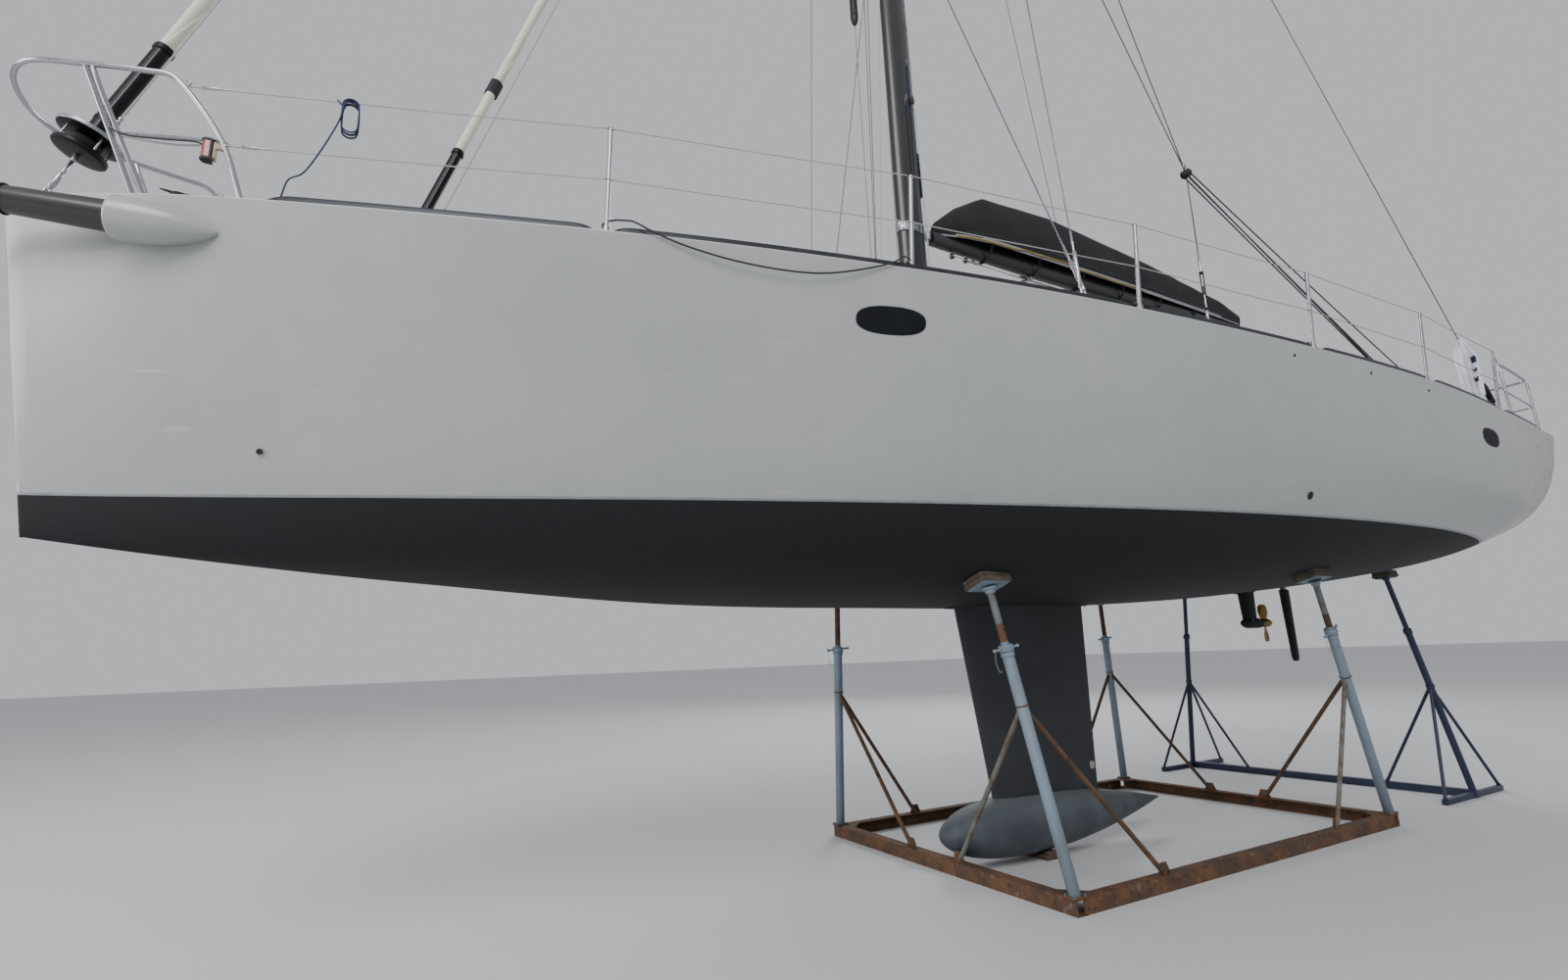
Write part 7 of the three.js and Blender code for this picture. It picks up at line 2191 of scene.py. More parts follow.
def buildCompanionway():
    s0, s1, y, z = wayDown["s0"] - 20, wayDown["s1"] - 30, wayDown["half"] + 45, slideZ + 0.3
    pane = roundedLoop(s0 + 8, s1 - 10, 14 - y, y - 14, 26, z + 9)
    ribs = [box(s0 + 30, s1 - 40, k * 150 - 11, k * 150 + 11, z + 22, z + 29, 2, 4) for k in (-1, 1)]
    runners = [box(s0 + 2, s1 - 2, *sorted((k * (y - 18), k * y)), z, z + 27, 2.5, 4) for k in (-1, 1)]
    ends = [box(s0, s0 + 20, 4 - y, y - 4, z + 1, z + 35, 4, 6),
            box(s1 - 22, s1, 4 - y, y - 4, z + 1, z + 33, 4, 6)]
    grip = bent([at(s1 - 52, -120, z + 26), at(s1 - 52, -112, z + 62), at(s1 - 52, 112, z + 62),
                 at(s1 - 52, 120, z + 26)], 26)
    feet = [turned([(0, 0), (17, 0), (17, 3), (12, 6), (0, 6)], at(s1 - 52, dy, z + 22), upward, 24)
            for dy in (-120, 120)]
    parts = {"smokedAcrylic": [plate(pane, upward * 0.014, 2)], "anodisedRail": ribs + runners + ends,
             "polishedStainless": [tube(grip, 8, 16)] + feet}
    addPiece("companionSlide", parts, ["companion_slide"], "companion_slide")
    rows = [[(at(s, k * (y - 9), z + 27), upward) for s in (s0 + 40, s1 - 40)] for k in (1, -1)]
    rows += [[(at(s, k * 150, z + 29), upward) for s in (s0 + 60, s1 - 70)] for k in (1, -1)]
    addRow("slideScrews", rows, "polishedStainless", "companion_slide", spacing=95,
           radius=4.2, high=2, seed=8)
    # two lapped boards in their channels, with a vent, a lock and finger pulls
    s0, s1, y = wayDown["s1"] - 55, wayDown["s1"] - 25, wayDown["half"] - 0.3
    boards = [box(s0, s1, -y, y, 2961, 3553, 2, 4), box(s0, s1, -y, y, 3556, slideZ - 6, 2, 4)]
    vent = [box(s1 - 1, s1 + 3, -150, 150, 3790, 3900, 1.5, 8)] + [plate([at(s1 + 2, -134, h),
            at(s1 + 2, 134, h), at(s1 + 11, 134, h - 9), at(s1 + 11, -134, h - 9)], upward * 0.0022, 0.4)
            for h in range(3808, 3895, 15)]
    channels = [box(s1 + 1, s1 + 13, *sorted((k * (y - 24), k * (y - 1))), 3276, slideZ - 8, 2, 3)
                for k in (1, -1)]
    lock = [turned([(0, 0), (19, 0), (19, 4), (15, 8), (0, 9)], at(s1, 0, slideZ - 50), aftward, 28),
            turned([(0, 8), (6, 8), (6, 11), (0, 11)], at(s1, 0, slideZ - 50), aftward, 16)]
    pulls = [ringOf(at(s1 + 1, dy, h), forward, 22, 3) for dy, h in ((0, 3480), (0, 3980))]
    steel = lock + pulls + [turned([(0, 0), (20, 0), (20, 1.5), (0, 2)], at(s1, 0, h), aftward, 24)
                            for h in (3480, 3980)]
    addPiece("washboards", {"smokedAcrylic": boards, "mouldedNylon": vent, "anodisedRail": channels,
                            "polishedStainless": steel}, ["washboard"])


buildCompanionway()
print("hatches made")


# Steering: wheels in stitched leather, consoles with compass and instruments
wheel = {"s": 10980, "y": 700, "z": 3620, "radius": 400, "rim": 14, "spokes": 5, "start": 0.3}


def buildWheels():
    w = wheel
    centre = at(w["s"], w["y"], w["z"])
    out = lambda a, r: centre + Vector((0, math.cos(a), math.sin(a))) * (r / 1000)
    turns = [a + w["start"] for a in turnsOf(w["spokes"])]
    spokes = [rod(out(a, 36), out(a, 390), 9, 7, 16) for a in turns]
    collars = [turned([(0, 0), (10, 0), (12, 6), (16, 14), (0, 16)], out(a, 372), out(a, 400) - centre, 20)
               for a in turns]
    hub = [turned([(0, -25), (38, -25), (45, -20), (45, -4), (36, 2), (36, 8), (43, 12), (43, 22), (36, 30),
                   (0, 30)], centre, aftward, 40)]
    cap = [turned([(0, 30), (26, 30), (26, 36), (20, 42), (0, 43)], centre, aftward,
                  32)] + [turned([(0, 30), (4, 30), (4, 34), (0, 34)],
                                 centre + Vector((0, math.cos(a), math.sin(a))) * 0.034, aftward, 6)
                          for a in (0.4 + i * math.pi / 3 for i in range(6))]
    parts = {"stitchedLeather": [ringOf(centre, aftward, w["radius"], w["rim"], 16, 110)],
             "polishedStainless": spokes + hub + collars, "blackAnodised": cap}
    addPair("wheel", parts, ["wheel"], ("wheel_port", "wheel_stbd"))
    for k, side in ((1, "port"), (-1, "stbd")):
        middle = at(w["s"], k * w["y"], w["z"])
        loop = [(Vector((0, math.cos(a), math.sin(a))), Vector((0, -math.cos(a), -math.sin(a))))
                for a in (2 * math.pi * i / 120 for i in range(121))]
        run = [(middle + d * ((w["radius"] - w["rim"]) / 1000), u) for d, u in loop]
        addRow("rimStitches" + side.title(), [run], "paleWebbing", "wheel_" + side, spacing=15,
               radius=1.1, high=0.9, stretch=4.5, seed=2)


def buildPedestals():
    y, z = wheel["y"], wheel["z"]
    rows = ((2961, 10782, 10938, 118, 26), (2968, 10781, 10939, 119, 26), (2974, 10786, 10934, 114, 24),
            (2980, 10793, 10927, 106, 30), (3300, 10797, 10924, 100, 34), (3560, 10792, 10928, 98, 36),
            (3640, 10790, 10930, 102, 36), (3682, 10794, 10928, 100, 36), (3696, 10802, 10918, 92, 32),
            (3701, 10815, 10905, 80, 26))
    console = loft([roundedLoop(a, b, y - half, y + half, corner, h) for h, a, b, half, corner in rows])
    compassBase = at(10858, y, 3698)
    ring = turned([(0, 0), (66, 0), (68, 4), (66, 14), (58, 19), (0, 19)], compassBase, upward, 44)
    dome = turned([(0, 18), (57, 18), (56, 30), (50, 46), (38, 60), (20, 69), (0.5, 72), (0, 72)],
                  compassBase, upward, 44)
    hoop = bent([at(10858, y - 96, 3640), at(10858, y - 98, 3810), at(10858, y + 98, 3810),
                 at(10858, y + 96, 3640)], 55, 9)
    feet = [turned([(0, 0), (20, 0), (20, 4), (15, 9), (0, 9)], at(10858, y + k * 96, 3655),
                   Vector((0, k, 0)), 24) for k in (1, -1)]
    shaft = [turned([(0, 0), (38, 0), (38, 8), (31, 12), (30, 34.7), (0, 34.7)], at(10920, y, z), aftward,
                    36)]
    screen = [box(10926, 10934, y - 58, y + 58, 3500, 3578, 3, 7),
              box(10926, 10934, y - 40, y + 40, 3404, 3484, 3, 7)]
    glass = [box(10932, 10935.5, y - 47, y + 47, 3510, 3568, 0.8, 4),
             box(10932, 10935.5, y - 30, y + 30, 3414, 3474, 0.8, 4)]
    brace = bent([at(10935, y - 70, 3080), at(10990, y - 70, 3085), at(10990, y + 70, 3085),
                  at(10935, y + 70, 3080)], 30)
    screws = [turned([(0, 0), (5, 0), (4.2, 1.8), (0, 2.8)], at(s0, y + dy, 2974), upward, 12)
              for s0 in (10790, 10930) for dy in (-104, 104)]
    parts = {"deckGelcoat": [console], "mouldedNylon": [ring] + screen, "smokedAcrylic": [dome] + glass,
             "satinAlloy": shaft,
             "polishedStainless": [tube(hoop, 11, 18), tube(brace, 11, 18)] + feet + screws}
    addPair("steeringConsole", parts, ["pedestal"])
    y = 100 - wheel["y"]   # engine lever, on the inner side of the starboard console
    lever = [turned([(0, 0), (34, 0), (36, 3), (36, 14), (30, 20), (0, 21)], at(10870, y - 2, 3430), toPort,
                    36), rod(at(10870, y + 24, 3430), at(10850, y + 30, 3560), 6, 5, 14)]
    knob = [turned([(0, 0), (12, 2), (16, 10), (16, 26), (11, 34), (0, 36)], at(10850, y + 30, 3548),
                   Vector((0.02, 0, 0.1)), 24)]
    addPiece("engineLever", {"polishedStainless": lever, "mouldedNylon": knob})


buildWheels()
buildPedestals()
print("steering made")


# Rudder, saildrive and propeller
def blade(rows, count=18):
    zs = [r[3] for r in rows][::-1]
    rings = []
    for z in np.linspace(zs[-1], zs[0], count):
        s0, chord, thick = (float(np.interp(z, zs, [r[i] for r in rows][::-1])) for i in (0, 1, 2))
        rings.append(foilRing(s0, chord, thick, z))
    return rings


def buildRudder():
    stock, helmAngle = 10520, math.radians(22)
    rings = blade(((10425, 430, 92, 2100), (10440, 330, 70, 1400)), 24)
    for s0, chord, thick, z in ((10445, 312, 66, 1376), (10453, 286, 58, 1356), (10465, 250, 45, 1344),
                                (10490, 190, 26, 1340)):
        rings.append(foilRing(s0, chord, thick, z))
    turn = (Matrix.Translation(at(stock, 0, 0)) @ Matrix.Rotation(helmAngle, 4, "Z")
            @ Matrix.Translation(-at(stock, 0, 0)))
    post = rod(at(stock, 0, 2000), at(stock, 0, 2440), 34, sides=36)
    cover = turned([(0, 2096), (46, 2096), (46, 2102), (36, 2108), (0, 2108)], at(stock, 0, 0), upward, 36)
    parts = {"rolledAntifouling": [loft(rings)], "polishedStainless": [post], "mouldedNylon": [cover]}
    addPiece("rudderBlade", {k: [placed(shape, turn) for shape in v] for k, v in parts.items()},
             ["rudder"], "rudder")


def buildDrive():
    shaftZ = 1750
    leg = blade(((9660, 300, 100, 2300), (9700, 220, 84, 1760)), 16)
    body = [(0, 0), (9, 1), (20, 7), (30, 20), (41, 46), (49, 72), (52, 96), (52, 280), (49, 306),
            (43, 330), (37, 346), (34, 350), (0, 350)]
    flange = []
    for x, y in foilSection(308, 138, 30):
        flange.append(at(9657 + x, y, bottomAt(9657 + x, abs(y)) - 3))
    screws = [turned([(0, 0), (6, 0), (6, 4), (0, 5)], at(9760 + ds, k * 49, shaftZ + 28),
                     Vector((0, k, 0.25)), 6) for ds in (0, 120) for k in (1, -1)]
    slots = [box(9716, 9722, *sorted((k * 20, k * (38 + i))), 1850 + i * 22, 1860 + i * 22, 1, 2)
             for i in range(4) for k in (1, -1)]
    parts = {"rolledAntifouling": [loft(leg), turned(body, at(9640, 0, shaftZ), aftward, 40),
                                   tube(flange, 8, 10, looped=True)],
             "castZinc": [turned([(30, 0), (41, 0), (42, 3), (40, 22), (36, 24), (30, 24)],
                                 at(9962, 0, shaftZ), aftward, 36)],
             "polishedStainless": screws + [rod(at(9985, 0, shaftZ), at(10028, 0, shaftZ), 14, sides=24)],
             "blackRubber": slots}
    addPiece("saildriveLeg", parts, ["saildrive"])
    # two blades with washed-out pitch on a turned hub, with its nut and cone
    hub = [turned([(15, 0), (38, 0), (41, 4), (44, 30), (45, 60), (44, 96), (38, 118), (30, 130), (0, 130),
                   (0, 32), (15, 32)], at(9998, 0, shaftZ), aftward, 40),
           turned([(0, 128), (19, 128), (19, 146), (0, 146)], at(9998, 0, shaftZ), aftward, 6)]
    blades = []
    radii, chords = (26, 60, 120, 165, 188, 195), (46, 70, 92, 84, 62, 36)
    pitches = (0.92, 0.78, 0.6, 0.5, 0.46, 0.45)
    for a in (math.pi / 2, 1.5 * math.pi):
        rings = []
        out = Vector((0, math.cos(a), math.sin(a)))
        for r in np.linspace(26, 195, 22):
            chord, pitch = (float(np.interp(r, radii, v)) for v in (chords, pitches))
            across = Vector((math.sin(pitch), -math.sin(a) * math.cos(pitch),
                             math.cos(a) * math.cos(pitch)))
            thick = across.cross(out).normalized()
            middle = at(10045, 0, shaftZ) + out * (r / 1000)
            rings.append([middle + across * (u / 1000) + thick * (v / 1000)
                          for u, v in circle(chord / 2, 28, 5 - 3.4 * r / 195)])
        blades.append(loft(rings))
    addPiece("propellerTwoBlade", {"castBronze": hub + blades,
                                   "castZinc": [turned([(0, 146), (24, 146), (24, 150), (16, 172), (6, 184),
                                                        (0, 185)], at(9998, 0, shaftZ), aftward, 32)]},
             ["propeller"], "propeller")


buildRudder()
buildDrive()
print("underwater gear made")


# Ensign: a limp flag tied to the port backstay and gathered at its top
ensign = {"flat": (0.42, 0.6), "area": 0.24, "top": 4262, "low": 3762, "s": 10500, "y": 1960,
          "across": (0.5, 0.866), "folds": 2.7, "navy": ((0.3, 0.42), (0.52, 0.58), (0.68, 0.75)),
          "navyAcross": (0.6, 0.86)}


def ensignShape():
    rows, cols = 46, 96
    aft, out = ensign["across"]   # the cloth's width runs aft and outboard from its tie
    front = []
    for i in range(rows):
        part = i / (rows - 1)
        z = ensign["top"] + (ensign["low"] - ensign["top"]) * part
        hang = at(ensign["s"], ensign["y"], z)
        spread = math.sin(min(1, part / 0.36) * math.pi / 2) ** 2
        width = 0.045 + 0.125 * spread - 0.02 * part
        ring = []
        for j in range(cols):
            u = j / (cols - 1)
            # folds of unequal width that lean over, wander as they fall and hang past each other at the hem
            drift = u + 0.07 * math.sin(2 * math.pi * (1.2 * u + 0.3 * part))
            turn = 2 * math.pi * ensign["folds"] * drift + 0.9 * math.sin(2.9 * part + 2.6 * u)
            deep = ((0.006 + 0.028 * spread) * (1 - 0.3 * u)
                    * (math.sin(turn) + 0.2 * math.sin(2.3 * turn + 3 * part)))
            wide = (width * (u - 0.4) + 0.012 * spread * math.sin(2 * turn + 0.9)
                    + 0.01 * math.sin(4.2 * part + 0.5) * u)
            low = (-0.06 * u * spread * part - 0.03 * math.sin(math.pi * u) * part
                   + 0.016 * part * math.sin(turn + 0.6))
            deep += 0.0016 * math.sin(37 * u + 17 * part + 3 * math.sin(9 * part))
            deep += 0.012 + 0.02 * part   # hangs clear of the stay
            ring.append(hang + Vector((out * deep - aft * wide, out * wide + aft * deep, low)))
        front.append(ring)
    # the cloth's other face, 1 mm behind
    back = []
    for i in range(rows):
        ring = []
        for j in range(cols):
            down = front[min(i + 1, rows - 1)][j] - front[max(i - 1, 0)][j]
            along = front[i][min(j + 1, cols - 1)] - front[i][max(j - 1, 0)]
            ring.append(front[i][j] + down.cross(along).normalized() * 0.001)
        back.append(ring)
    return front, back


def buildEnsign():
    front, back = ensignShape()
    points, faces, uvs = loft([a + b[::-1] for a, b in zip(front, back)])
    cols = len(front[0])
    plain, patch, plainUv, patchUv = [], [], [], []
    corner = 0
    for number, face in enumerate(faces):
        row, col = divmod(number, 2 * cols)
        u = (col if col < cols else 2 * cols - 1 - col) / cols
        v = row / (len(front) - 1) + 0.03 * math.sin(14 * u)
        near, far = ensign["navyAcross"]
        navy = len(face) == 4 and near < u < far and any(a < v < b for a, b in ensign["navy"])
        (patch if navy else plain).append(face)
        (patchUv if navy else plainUv).append(uvs[corner:corner + len(face)])
        corner += len(face)
    cloth = addPiece("ensignCloth", {"flagPolyester": [(points, plain, np.concatenate(plainUv))],
                                     "flagNavy": [(points, patch, np.concatenate(patchUv))]},
                     ["ensign"], crease=70)
    knot = front[0][20]
    ties = {"paleBraid": [ringOf(knot, Vector((0.3, 0.1, 1)), 12, 2.2, 8, 24),
                          tube(smoothPath([knot, knot + Vector((0.012, 0.01, -0.03)),
                                           knot + Vector((0.004, 0.016, -0.09))], 8), 1.8, 8)]}
    tie = addPiece("ensignTie", ties)


buildEnsign()
print("ensign made")


# Hull fittings, seen as dark spots on the topsides
# s, z, radius
skinFittings = ((1167, 2628, 15), (7474, 2554, 30), (7289, 3522, 12), (8206, 3510, 12), (9063, 3485, 12))


def onSide(s, z):   # point on the port side and the way straight out of it
    here = at(s, hullHalf(s, z), z)
    aft, rise = at(s + 30, hullHalf(s + 30, z), z) - here, at(s, hullHalf(s, z + 30), z + 30) - here
    return here, aft.cross(rise).normalized()


def buildSkinFittings():
    rims, boreShadeDiscs = [], []
    for s, z, r in skinFittings:
        here, way = onSide(s, z)
        rims.append(turned([(0.62 * r, -2), (0.62 * r, 2.4), (0.76 * r, 3), (r, 1.6), (r, -2)], here, way,
                           32))
        # black disc set in each bore: painted shade standing in for the open hole
        boreShadeDiscs.append(turned([(0, -2), (0.61 * r, -2), (0.61 * r, 1), (0, 1)], here, way, 24))
    addPair("skinFittings", {"mouldedNylon": rims, "blackRubber": boreShadeDiscs})


buildSkinFittings()


# Deck gear
def roofAt(s, y):
    top, y = column(roofColumns, "top", s), abs(y)
    outer = max(0, (y - top * 0.5) / (top * 0.5 - 40))
    return roofTop(s) - 10 * min(1, y / (top * 0.5)) ** 2 - 35 * outer ** 1.5


def cleat(s, y, half=115):
    z = deckTop(s, y) - 1
    bend = ((-1, 60), (-0.6, 54), (0, 52), (0.6, 54), (1, 60))
    horns = smoothPath([at(s + part * half, y, z + high) for part, high in bend], 10)
    sizes = [1 - 0.62 * abs(2 * i / (len(horns) - 1) - 1) ** 2.5 for i in range(len(horns))]
    legs = [rod(at(s + ds, y, z), at(s + ds, y, z + 50), 11, 9, 18) for ds in (-34, 34)]
    return [sweep(horns, circle(10, 16, 8), up=upward, sizes=sizes),
            box(s - 62, s + 62, y - 20, y + 20, z, z + 7, 2.5, 12)] + legs


def cleatTurns(s, y, half=115):   # figure of eight, three times round the horns
    z = deckTop(s, y)
    steps = 84
    loops = [(2 * math.pi * 3 * i / steps, i / steps) for i in range(steps + 1)]
    return tube([at(s + 0.6 * half * math.sin(t), y + 24 * math.sin(2 * t) + 3 * math.cos(t),
                    z + 26 + 20 * part + 5 * math.cos(2 * t)) for t, part in loops], 7, 10)


def buildCleats():
    parts = {"blackAnodised": [], "blackBraid": [cleatTurns(745, 310)]}
    for s, y in ((745, 310), (6300, beamAt(6300) - 120), (11700, beamAt(11700) - 120)):
        parts["blackAnodised"] += cleat(s, y)
    addPair("mooringCleats", parts)


def trackRings(s0, s1, y):
    section = ((-16, 0), (16, 0), (16, 5), (8, 6), (8, 12), (15, 14), (15, 20), (-15, 20), (-15, 14),
               (-8, 12), (-8, 6), (-16, 5))
    return loft([[at(s, y + u, deckTop(s, y) - 1 + v) for u, v in section]
                 for s in np.linspace(s0, s1, 12)])


def buildTracks():
    s0, s1, y, car = 6760, 8340, 1420, 7540
    z = deckTop(car, y)
    parts = {"blackAnodised": [trackRings(s0, s1, y), box(car - 70, car + 70, y - 24, y + 24, z + 10,
                                                          z + 38, 5, 9)]}
    for s in (s0, s1):
        end = deckTop(s, y)
        put(parts, "mouldedNylon", box(s - 18, s + 18, y - 22, y + 22, end - 1, end + 30, 4, 8))
    block(at(car, y, z + 78), Vector((0, 1, 0.1)), 34, parts, "mouldedNylon", upward * (-1))
    addPair("genoaTrack", parts)
    for k, side in ((1, "Port"), (-1, "Stbd")):
        row = [(at(s, k * y, deckTop(s, y) + 19), upward) for s in np.linspace(s0 + 40, s1 - 40, 20)]
        addRow("trackScrews" + side, [row], "polishedStainless", spacing=100, radius=4, high=1.6,
               seed=11)


def buildRoofGear():
    parts = {"polishedStainless": [], "mouldedNylon": []}
    # hand rails on their feet
    rail = (6300, 6330, 6800, 7250, 7700, 7730)
    sideOf = lambda s: column(roofColumns, "top", s) - 190
    points = [at(s, sideOf(s), roofAt(s, sideOf(s)) + (2 if i in (0, len(rail) - 1) else 62))
              for i, s in enumerate(rail)]
    parts["polishedStainless"].append(tube(bent(points, 30), 11, 18))
    for s in (6300, 6800, 7250, 7730):
        foot = at(s, sideOf(s), roofAt(s, sideOf(s)) - 3)
        parts["polishedStainless"] += [footPlate(foot, 24, 8)] + ([rod(foot, foot + upward * 0.062, 9,
                sides=16)] if 6400 < s < 7700 else [])
    # halyards led aft from the blocks at the mast through an organiser to their clutches
    turnS, clutchS = 6110, 7600
    for s0, y0, y, surface in ((5740, 104, 430, "paleBraid"), (5700, 108, 480, "navyBraid"),
                               (5650, 118, 530, "blackBraid")):
        high, low = roofAt(turnS, y) + 24, roofAt(clutchS, y) + 20
        path = [at(s0 + 4, y0 + 12, 4112), at(turnS - 26, y - 42, high), at(turnS, y - 22, high),
                at(turnS + 60, y - 20, high), at(clutchS, y, low), at(clutchS + 150, y, low)]
        put(parts, surface, tube(smoothPath(path, 45), 5, 10))
        put(parts, "satinAlloy", turned([(0, -8), (22, -8), (24, -6), (18, 0), (24, 6), (22, 8), (0, 8)],
                                        at(turnS, y - 44, high), upward, 28))
        z = roofAt(clutchS, y)
        parts["mouldedNylon"] += [box(clutchS, clutchS + 140, y - 20, y + 20, z - 4, z + 44, 5, 7),
                                  box(clutchS + 14, clutchS + 108, y - 10, y + 10, z + 42, z + 54, 4, 5)]
        parts["satinAlloy"].append(rod(at(clutchS + 118, y - 21, z + 30), at(clutchS + 118, y + 21, z + 30),
                                       5, sides=14))
    z = roofAt(turnS, 440)
    parts["blackAnodised"] = [box(turnS - 34, turnS + 34, 352, 522, h, h + 5, 2, 16)
                              for h in (z + 6, z + 36)] + [box(turnS - 26, turnS + 26, 360, 514, z - 8,
            z + 7, 2, 10)]
    # the middle halyard's tail goes on to the winch
    w = winches["roof"]["place"]
    tail = [at(clutchS + 140, 480, roofAt(7740, 480) + 20), at(7850, 560, roofAt(7850, 560) + 40),
            at(7950, 672, w[2] + 92), at(8000, 650, w[2] + 92)]
    parts["navyBraid"].append(tube(smoothPath(tail, 30), 5, 10))
    addPair("roofGear", parts)


# Long windows let into the sides of the coachroof, with their pale bead
def roofWindow():
    def onRoof(s, z, out):
        half = roofRing(s)[:46]
        return at(s, float(np.interp(z, [p.z * 1000 for p in half], [p.y * 1000 for p in half])) + out, z)
    rings, edge = [], ([], [])
    s0, s1, corner = 5600, 8460, 70
    fore, aft = [s0, s0 + 12, s0 + 35, s0 + 70], [s1 - 70, s1 - 35, s1 - 12, s1]
    for s in fore + list(np.linspace(s0 + 120, s1 - 120, 30)) + aft:
        near = min(1, min(s - s0, s1 - s) / corner)
        top = roofTop(s) - 112
        full = min(135, 0.42 * column(roofColumns, "height", s))
        tall = full * (0.25 + 0.75 * math.sqrt(1 - (1 - near) ** 2))
        middle = top - full / 2
        heights = [middle + tall * (i / 8 - 0.5) for i in range(9)]
        rings.append([onRoof(s, z, 3) for z in heights] + [onRoof(s, z, -6) for z in heights[::-1]])
        edge[0].append(onRoof(s, heights[0], 2))
        edge[1].append(onRoof(s, heights[-1], 2))
    return {"smokedAcrylic": [loft(rings)], "greySealant": [tube(edge[0] + edge[1][::-1], 3.5, 8,
            looped=True)]}


def buildForedeck():
    lid = deckPanel(610, 880, lambda s: 0, lambda s: 205, lambda s, y: deckTop(s, y) + 3, 40)
    hinge = box(868, 884, 98, 142, deckTop(876, 120) + 3, deckTop(876, 120) + 9, 2, 4)
    latch = turned([(0, 0), (17, 0), (17, 2), (12, 4), (0, 4)], at(640, 0.5, deckTop(640, 0) + 4), upward, 24)
    steel = [hinge] + mirrored([hinge]) + [latch]
    addPiece("lockerLid", {"nonSlip": [lid] + mirrored([lid]), "polishedStainless": steel})


def buildRailScrews():
    inner = lambda s: at(s, deckHalf(s) - 31, sheerAt(s) + 15)
    runs = [[(inner(s), upward) for s in np.linspace(s0 + 60, s1 - 60, 16)] for s0, s1 in railRuns]
    runs += [[(acrossShip(p), up) for p, up in run] for run in runs]
    addRow("railScrews", runs, "polishedStainless", spacing=150, radius=3.6, high=1.6, seed=6)


buildCleats()
buildTracks()
buildRoofGear()
addPair("roofWindow", roofWindow(), crease=50)
buildForedeck()
buildRailScrews()
print("deck gear made")


# Running rigging that the photograph shows
def snapShackle(p, way, parts):
    side = way.orthogonal().normalized()
    put(parts, "polishedStainless", ringOf(p + way * 0.02, side, 19, 4, 10, 28),
        turned([(0, 38), (8, 38), (11, 44), (11, 62), (7, 66), (7, 74), (11, 76), (11, 84), (0, 86)], p,
               way, 20), ringOf(p + way * 0.096, side, 11, 3.5, 10, 24))


def deckEye(foot):
    return [ringOf(foot - upward * 0.012, toPort, 14, 4),
            turned([(0, 0), (22, 0), (22, 3), (12, 8), (0, 8)], foot - upward * 0.024, upward, 28)]


def buildSpareHalyards():
    parts = {"paleBraid": [], "polishedStainless": []}
    # clipped to the pulpit's lower rail, up beside the genoa
    clip, high = at(412, 297, 4188), at(5500, 40, 18700)
    way = (high - clip).normalized()
    snapShackle(clip, way, parts)
    parts["paleBraid"] += [wire(clip + way * 0.1, high, 4.5),
                           rod(clip + way * 0.1, clip + way * 0.24, 7, 5, 14)]
    # behind the staysail, from its own eye in the deck
    foot, middle = at(1790, 0, deckTop(1790, 0) + 22), at(1916, 0, 4357)
    parts["polishedStainless"] += deckEye(foot)
    snapShackle(foot, (middle - foot).normalized(), parts)
    parts["paleBraid"] += [wire(foot + (middle - foot).normalized() * 0.1, middle, 4.5),
                           wire(middle, at(5480, 0, 14700), 4.5)]
    # in front of the mast, down to a ring on the coachroof
    foot = at(5225, 0, roofTop(5225) + 22)
    parts["polishedStainless"] += deckEye(foot)
    parts["paleBraid"].append(wire(foot, at(5494, 0, 7700), 5))
    # car and shackle left on the mast's track
    for z, radius in ((6609, 15), (5990, 12)):
        put(parts, "blackAnodised", box(5768, 5800, -20, 20, z - 34, z + 34, 4, 8))
        parts["polishedStainless"].append(ringOf(at(5806, 0, z), toPort, radius, 4))
    addPiece("spareHalyards", parts)


# Signal halyard under the starboard spreader with a black reflector tube on it
def buildSignalHalyard():
    s, y = mast["s"], -600
    spread = spreaders["spreaders_lower"][0] + 40 * (600 - 60) / (spreaders["spreaders_lower"][1] - 60)
    foot, top = at(s + 12, y, roofAt(s, y) + 30), at(s, y, spread - 26)
    low = between(foot, top, (7902 - foot.z * 1000) / (top.z * 1000 - foot.z * 1000))
    tubeProfile = [(0, 0), (12, 2), (26, 22), (36, 60), (40, 90), (40, 600), (34, 640), (12, 662), (0, 664)]
    parts = {"blackBraid": [wire(foot, top, 2.5)], "mouldedNylon": [turned(tubeProfile, low, upward, 36)],
             "blackRubber": [turned([(40, h), (42, h + 2), (42, h + 12), (40, h + 14)], low, upward, 36)
                             for h in (110, 560)],
             "polishedStainless": [ringOf(top + upward * 0.004, toPort, 10, 3),
                                   ringOf(foot - upward * 0.012, toPort, 12, 3.5),
                                   turned([(0, 0), (18, 0), (18, 3), (10, 7), (0, 7)],
                                          foot - upward * 0.034, upward, 24)]}
    addPiece("signalHalyard", parts)


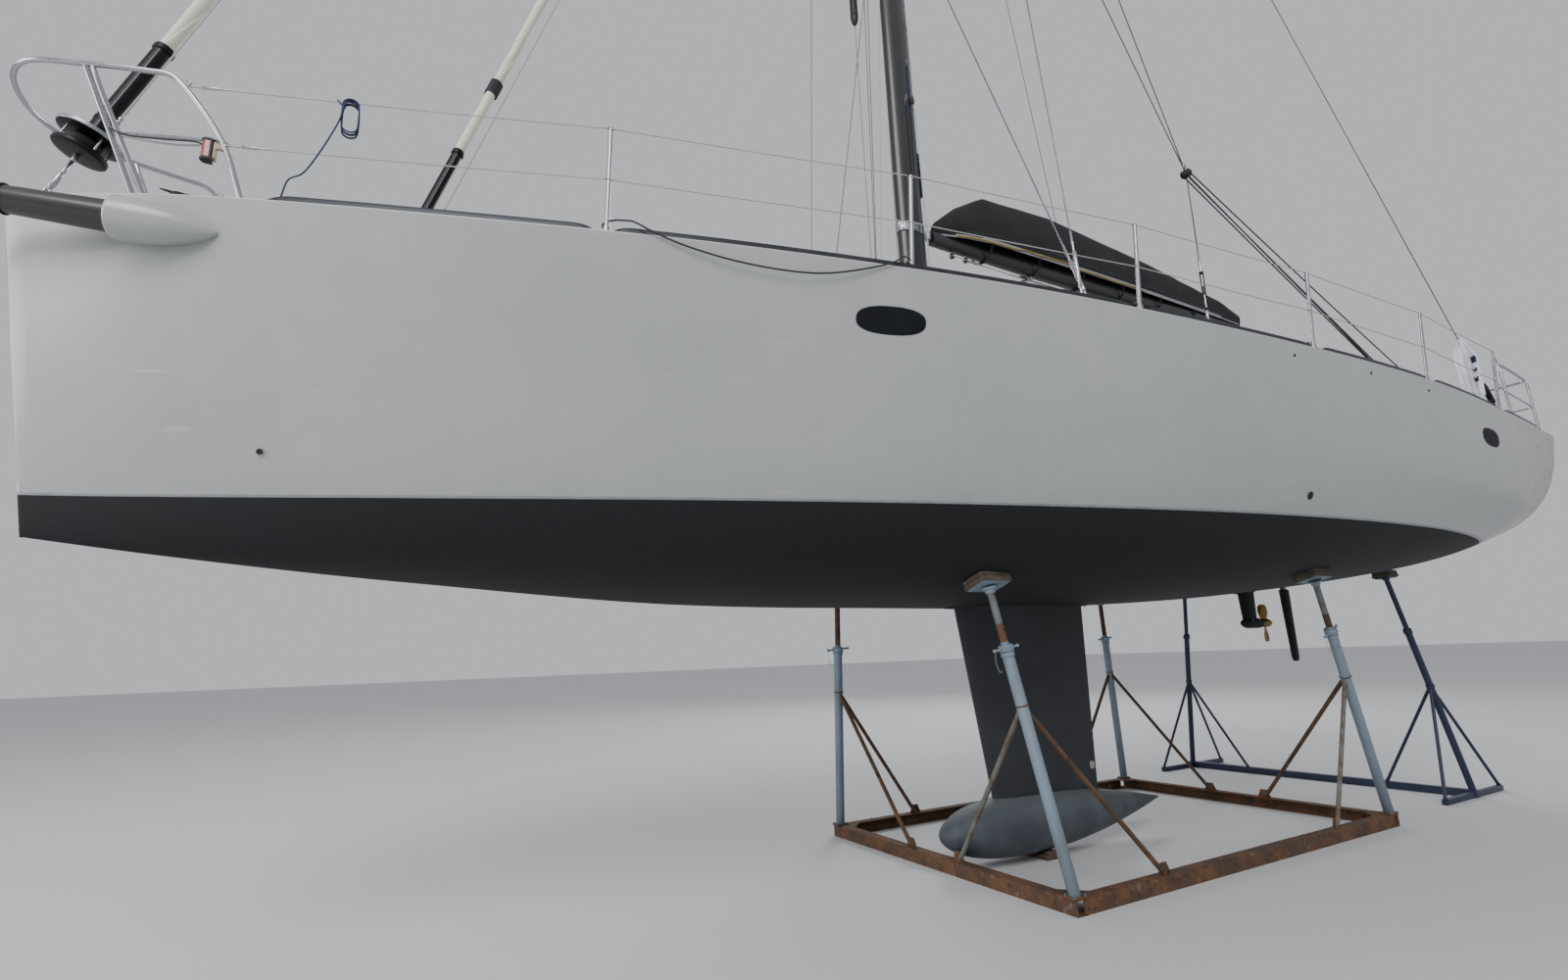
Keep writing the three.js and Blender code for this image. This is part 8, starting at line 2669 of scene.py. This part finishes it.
# The furling line goes on aft through the fairleads to a cleat beside the cockpit
def buildFurlingLead():
    lead = [onDeck(s, stanchions["inset"] + 30, 66) for s in stanchions["at"][1:5]]
    end = at(9560, beamAt(9560) - 190, deckTop(9560, beamAt(9560) - 190) + 22)
    lines = [lineBetween(a, b, 5, 46, 14) for a, b in zip(lead, lead[1:])]
    lines.append(lineBetween(lead[-1], end, 5, 6, 8))
    s, y, z = 9600, beamAt(9560) - 190, end.z * 1000
    jam = [box(s - 46, s + 40, y - 24, y + 24, z - 24, z - 8, 3, 8)]
    jam += [box(s - 34, s + 30, *sorted((y + k * 7, y + k * 22)), z - 9, z + 14, 4, 5) for k in (1, -1)]
    addPiece("furlingLead", {"blackBraid": lines, "blackAnodised": jam})


buildSpareHalyards()
buildSignalHalyard()
buildFurlingLead()
print("running rigging made")


# Floor and light: plain studio, soft key from the port bow as under the photograph's overcast sky
studio = {"floor": "C9CACB", "rough": 0.75, "reach": 160, "below": -0.002, "air": "D5D8DC",
          "airStrength": 0.85}
lamps = (
    dict(name="key", place=(13, 15, 17), aim=(0, 0, 2.5), size=13, power=3600),
    dict(name="bowFill", place=(17, 1, 6), aim=(2, 0, 2.5), size=9, power=900),
    dict(name="sternRim", place=(-13, -13, 14), aim=(-1, 0, 4), size=9, power=1500),
)


def addStudio():
    floorMaterial = bpy.data.materials.new("matPlasterFloor")
    floorMaterial.use_nodes = True
    shader = floorMaterial.node_tree.nodes["Principled BSDF"]
    shader.inputs["Base Color"].default_value = linear(studio["floor"])
    shader.inputs["Roughness"].default_value = studio["rough"]
    mesh = bpy.data.meshes.new("floor")
    reach, z = studio["reach"], studio["below"]
    corners = [(-reach, -reach, z), (reach, -reach, z), (reach, reach, z), (-reach, reach, z)]
    mesh.from_pydata(corners, [], [(0, 1, 2, 3)])
    mesh.materials.append(floorMaterial)
    linked("floor", mesh)
    for lamp in lamps:
        data = bpy.data.lights.new(lamp["name"], "AREA")
        data.shape, data.size, data.energy = "DISK", lamp["size"], lamp["power"]
        light = linked(lamp["name"], data)
        light.location = lamp["place"]
        towards = Vector(lamp["aim"]) - Vector(lamp["place"])
        light.rotation_euler = towards.to_track_quat("-Z", "Y").to_euler()
    world = bpy.data.worlds.new("overcastAir")
    world.use_nodes = True
    back = world.node_tree.nodes["Background"]
    back.inputs["Color"].default_value = linear(studio["air"])
    back.inputs["Strength"].default_value = studio["airStrength"]
    bpy.context.scene.world = world


addStudio()
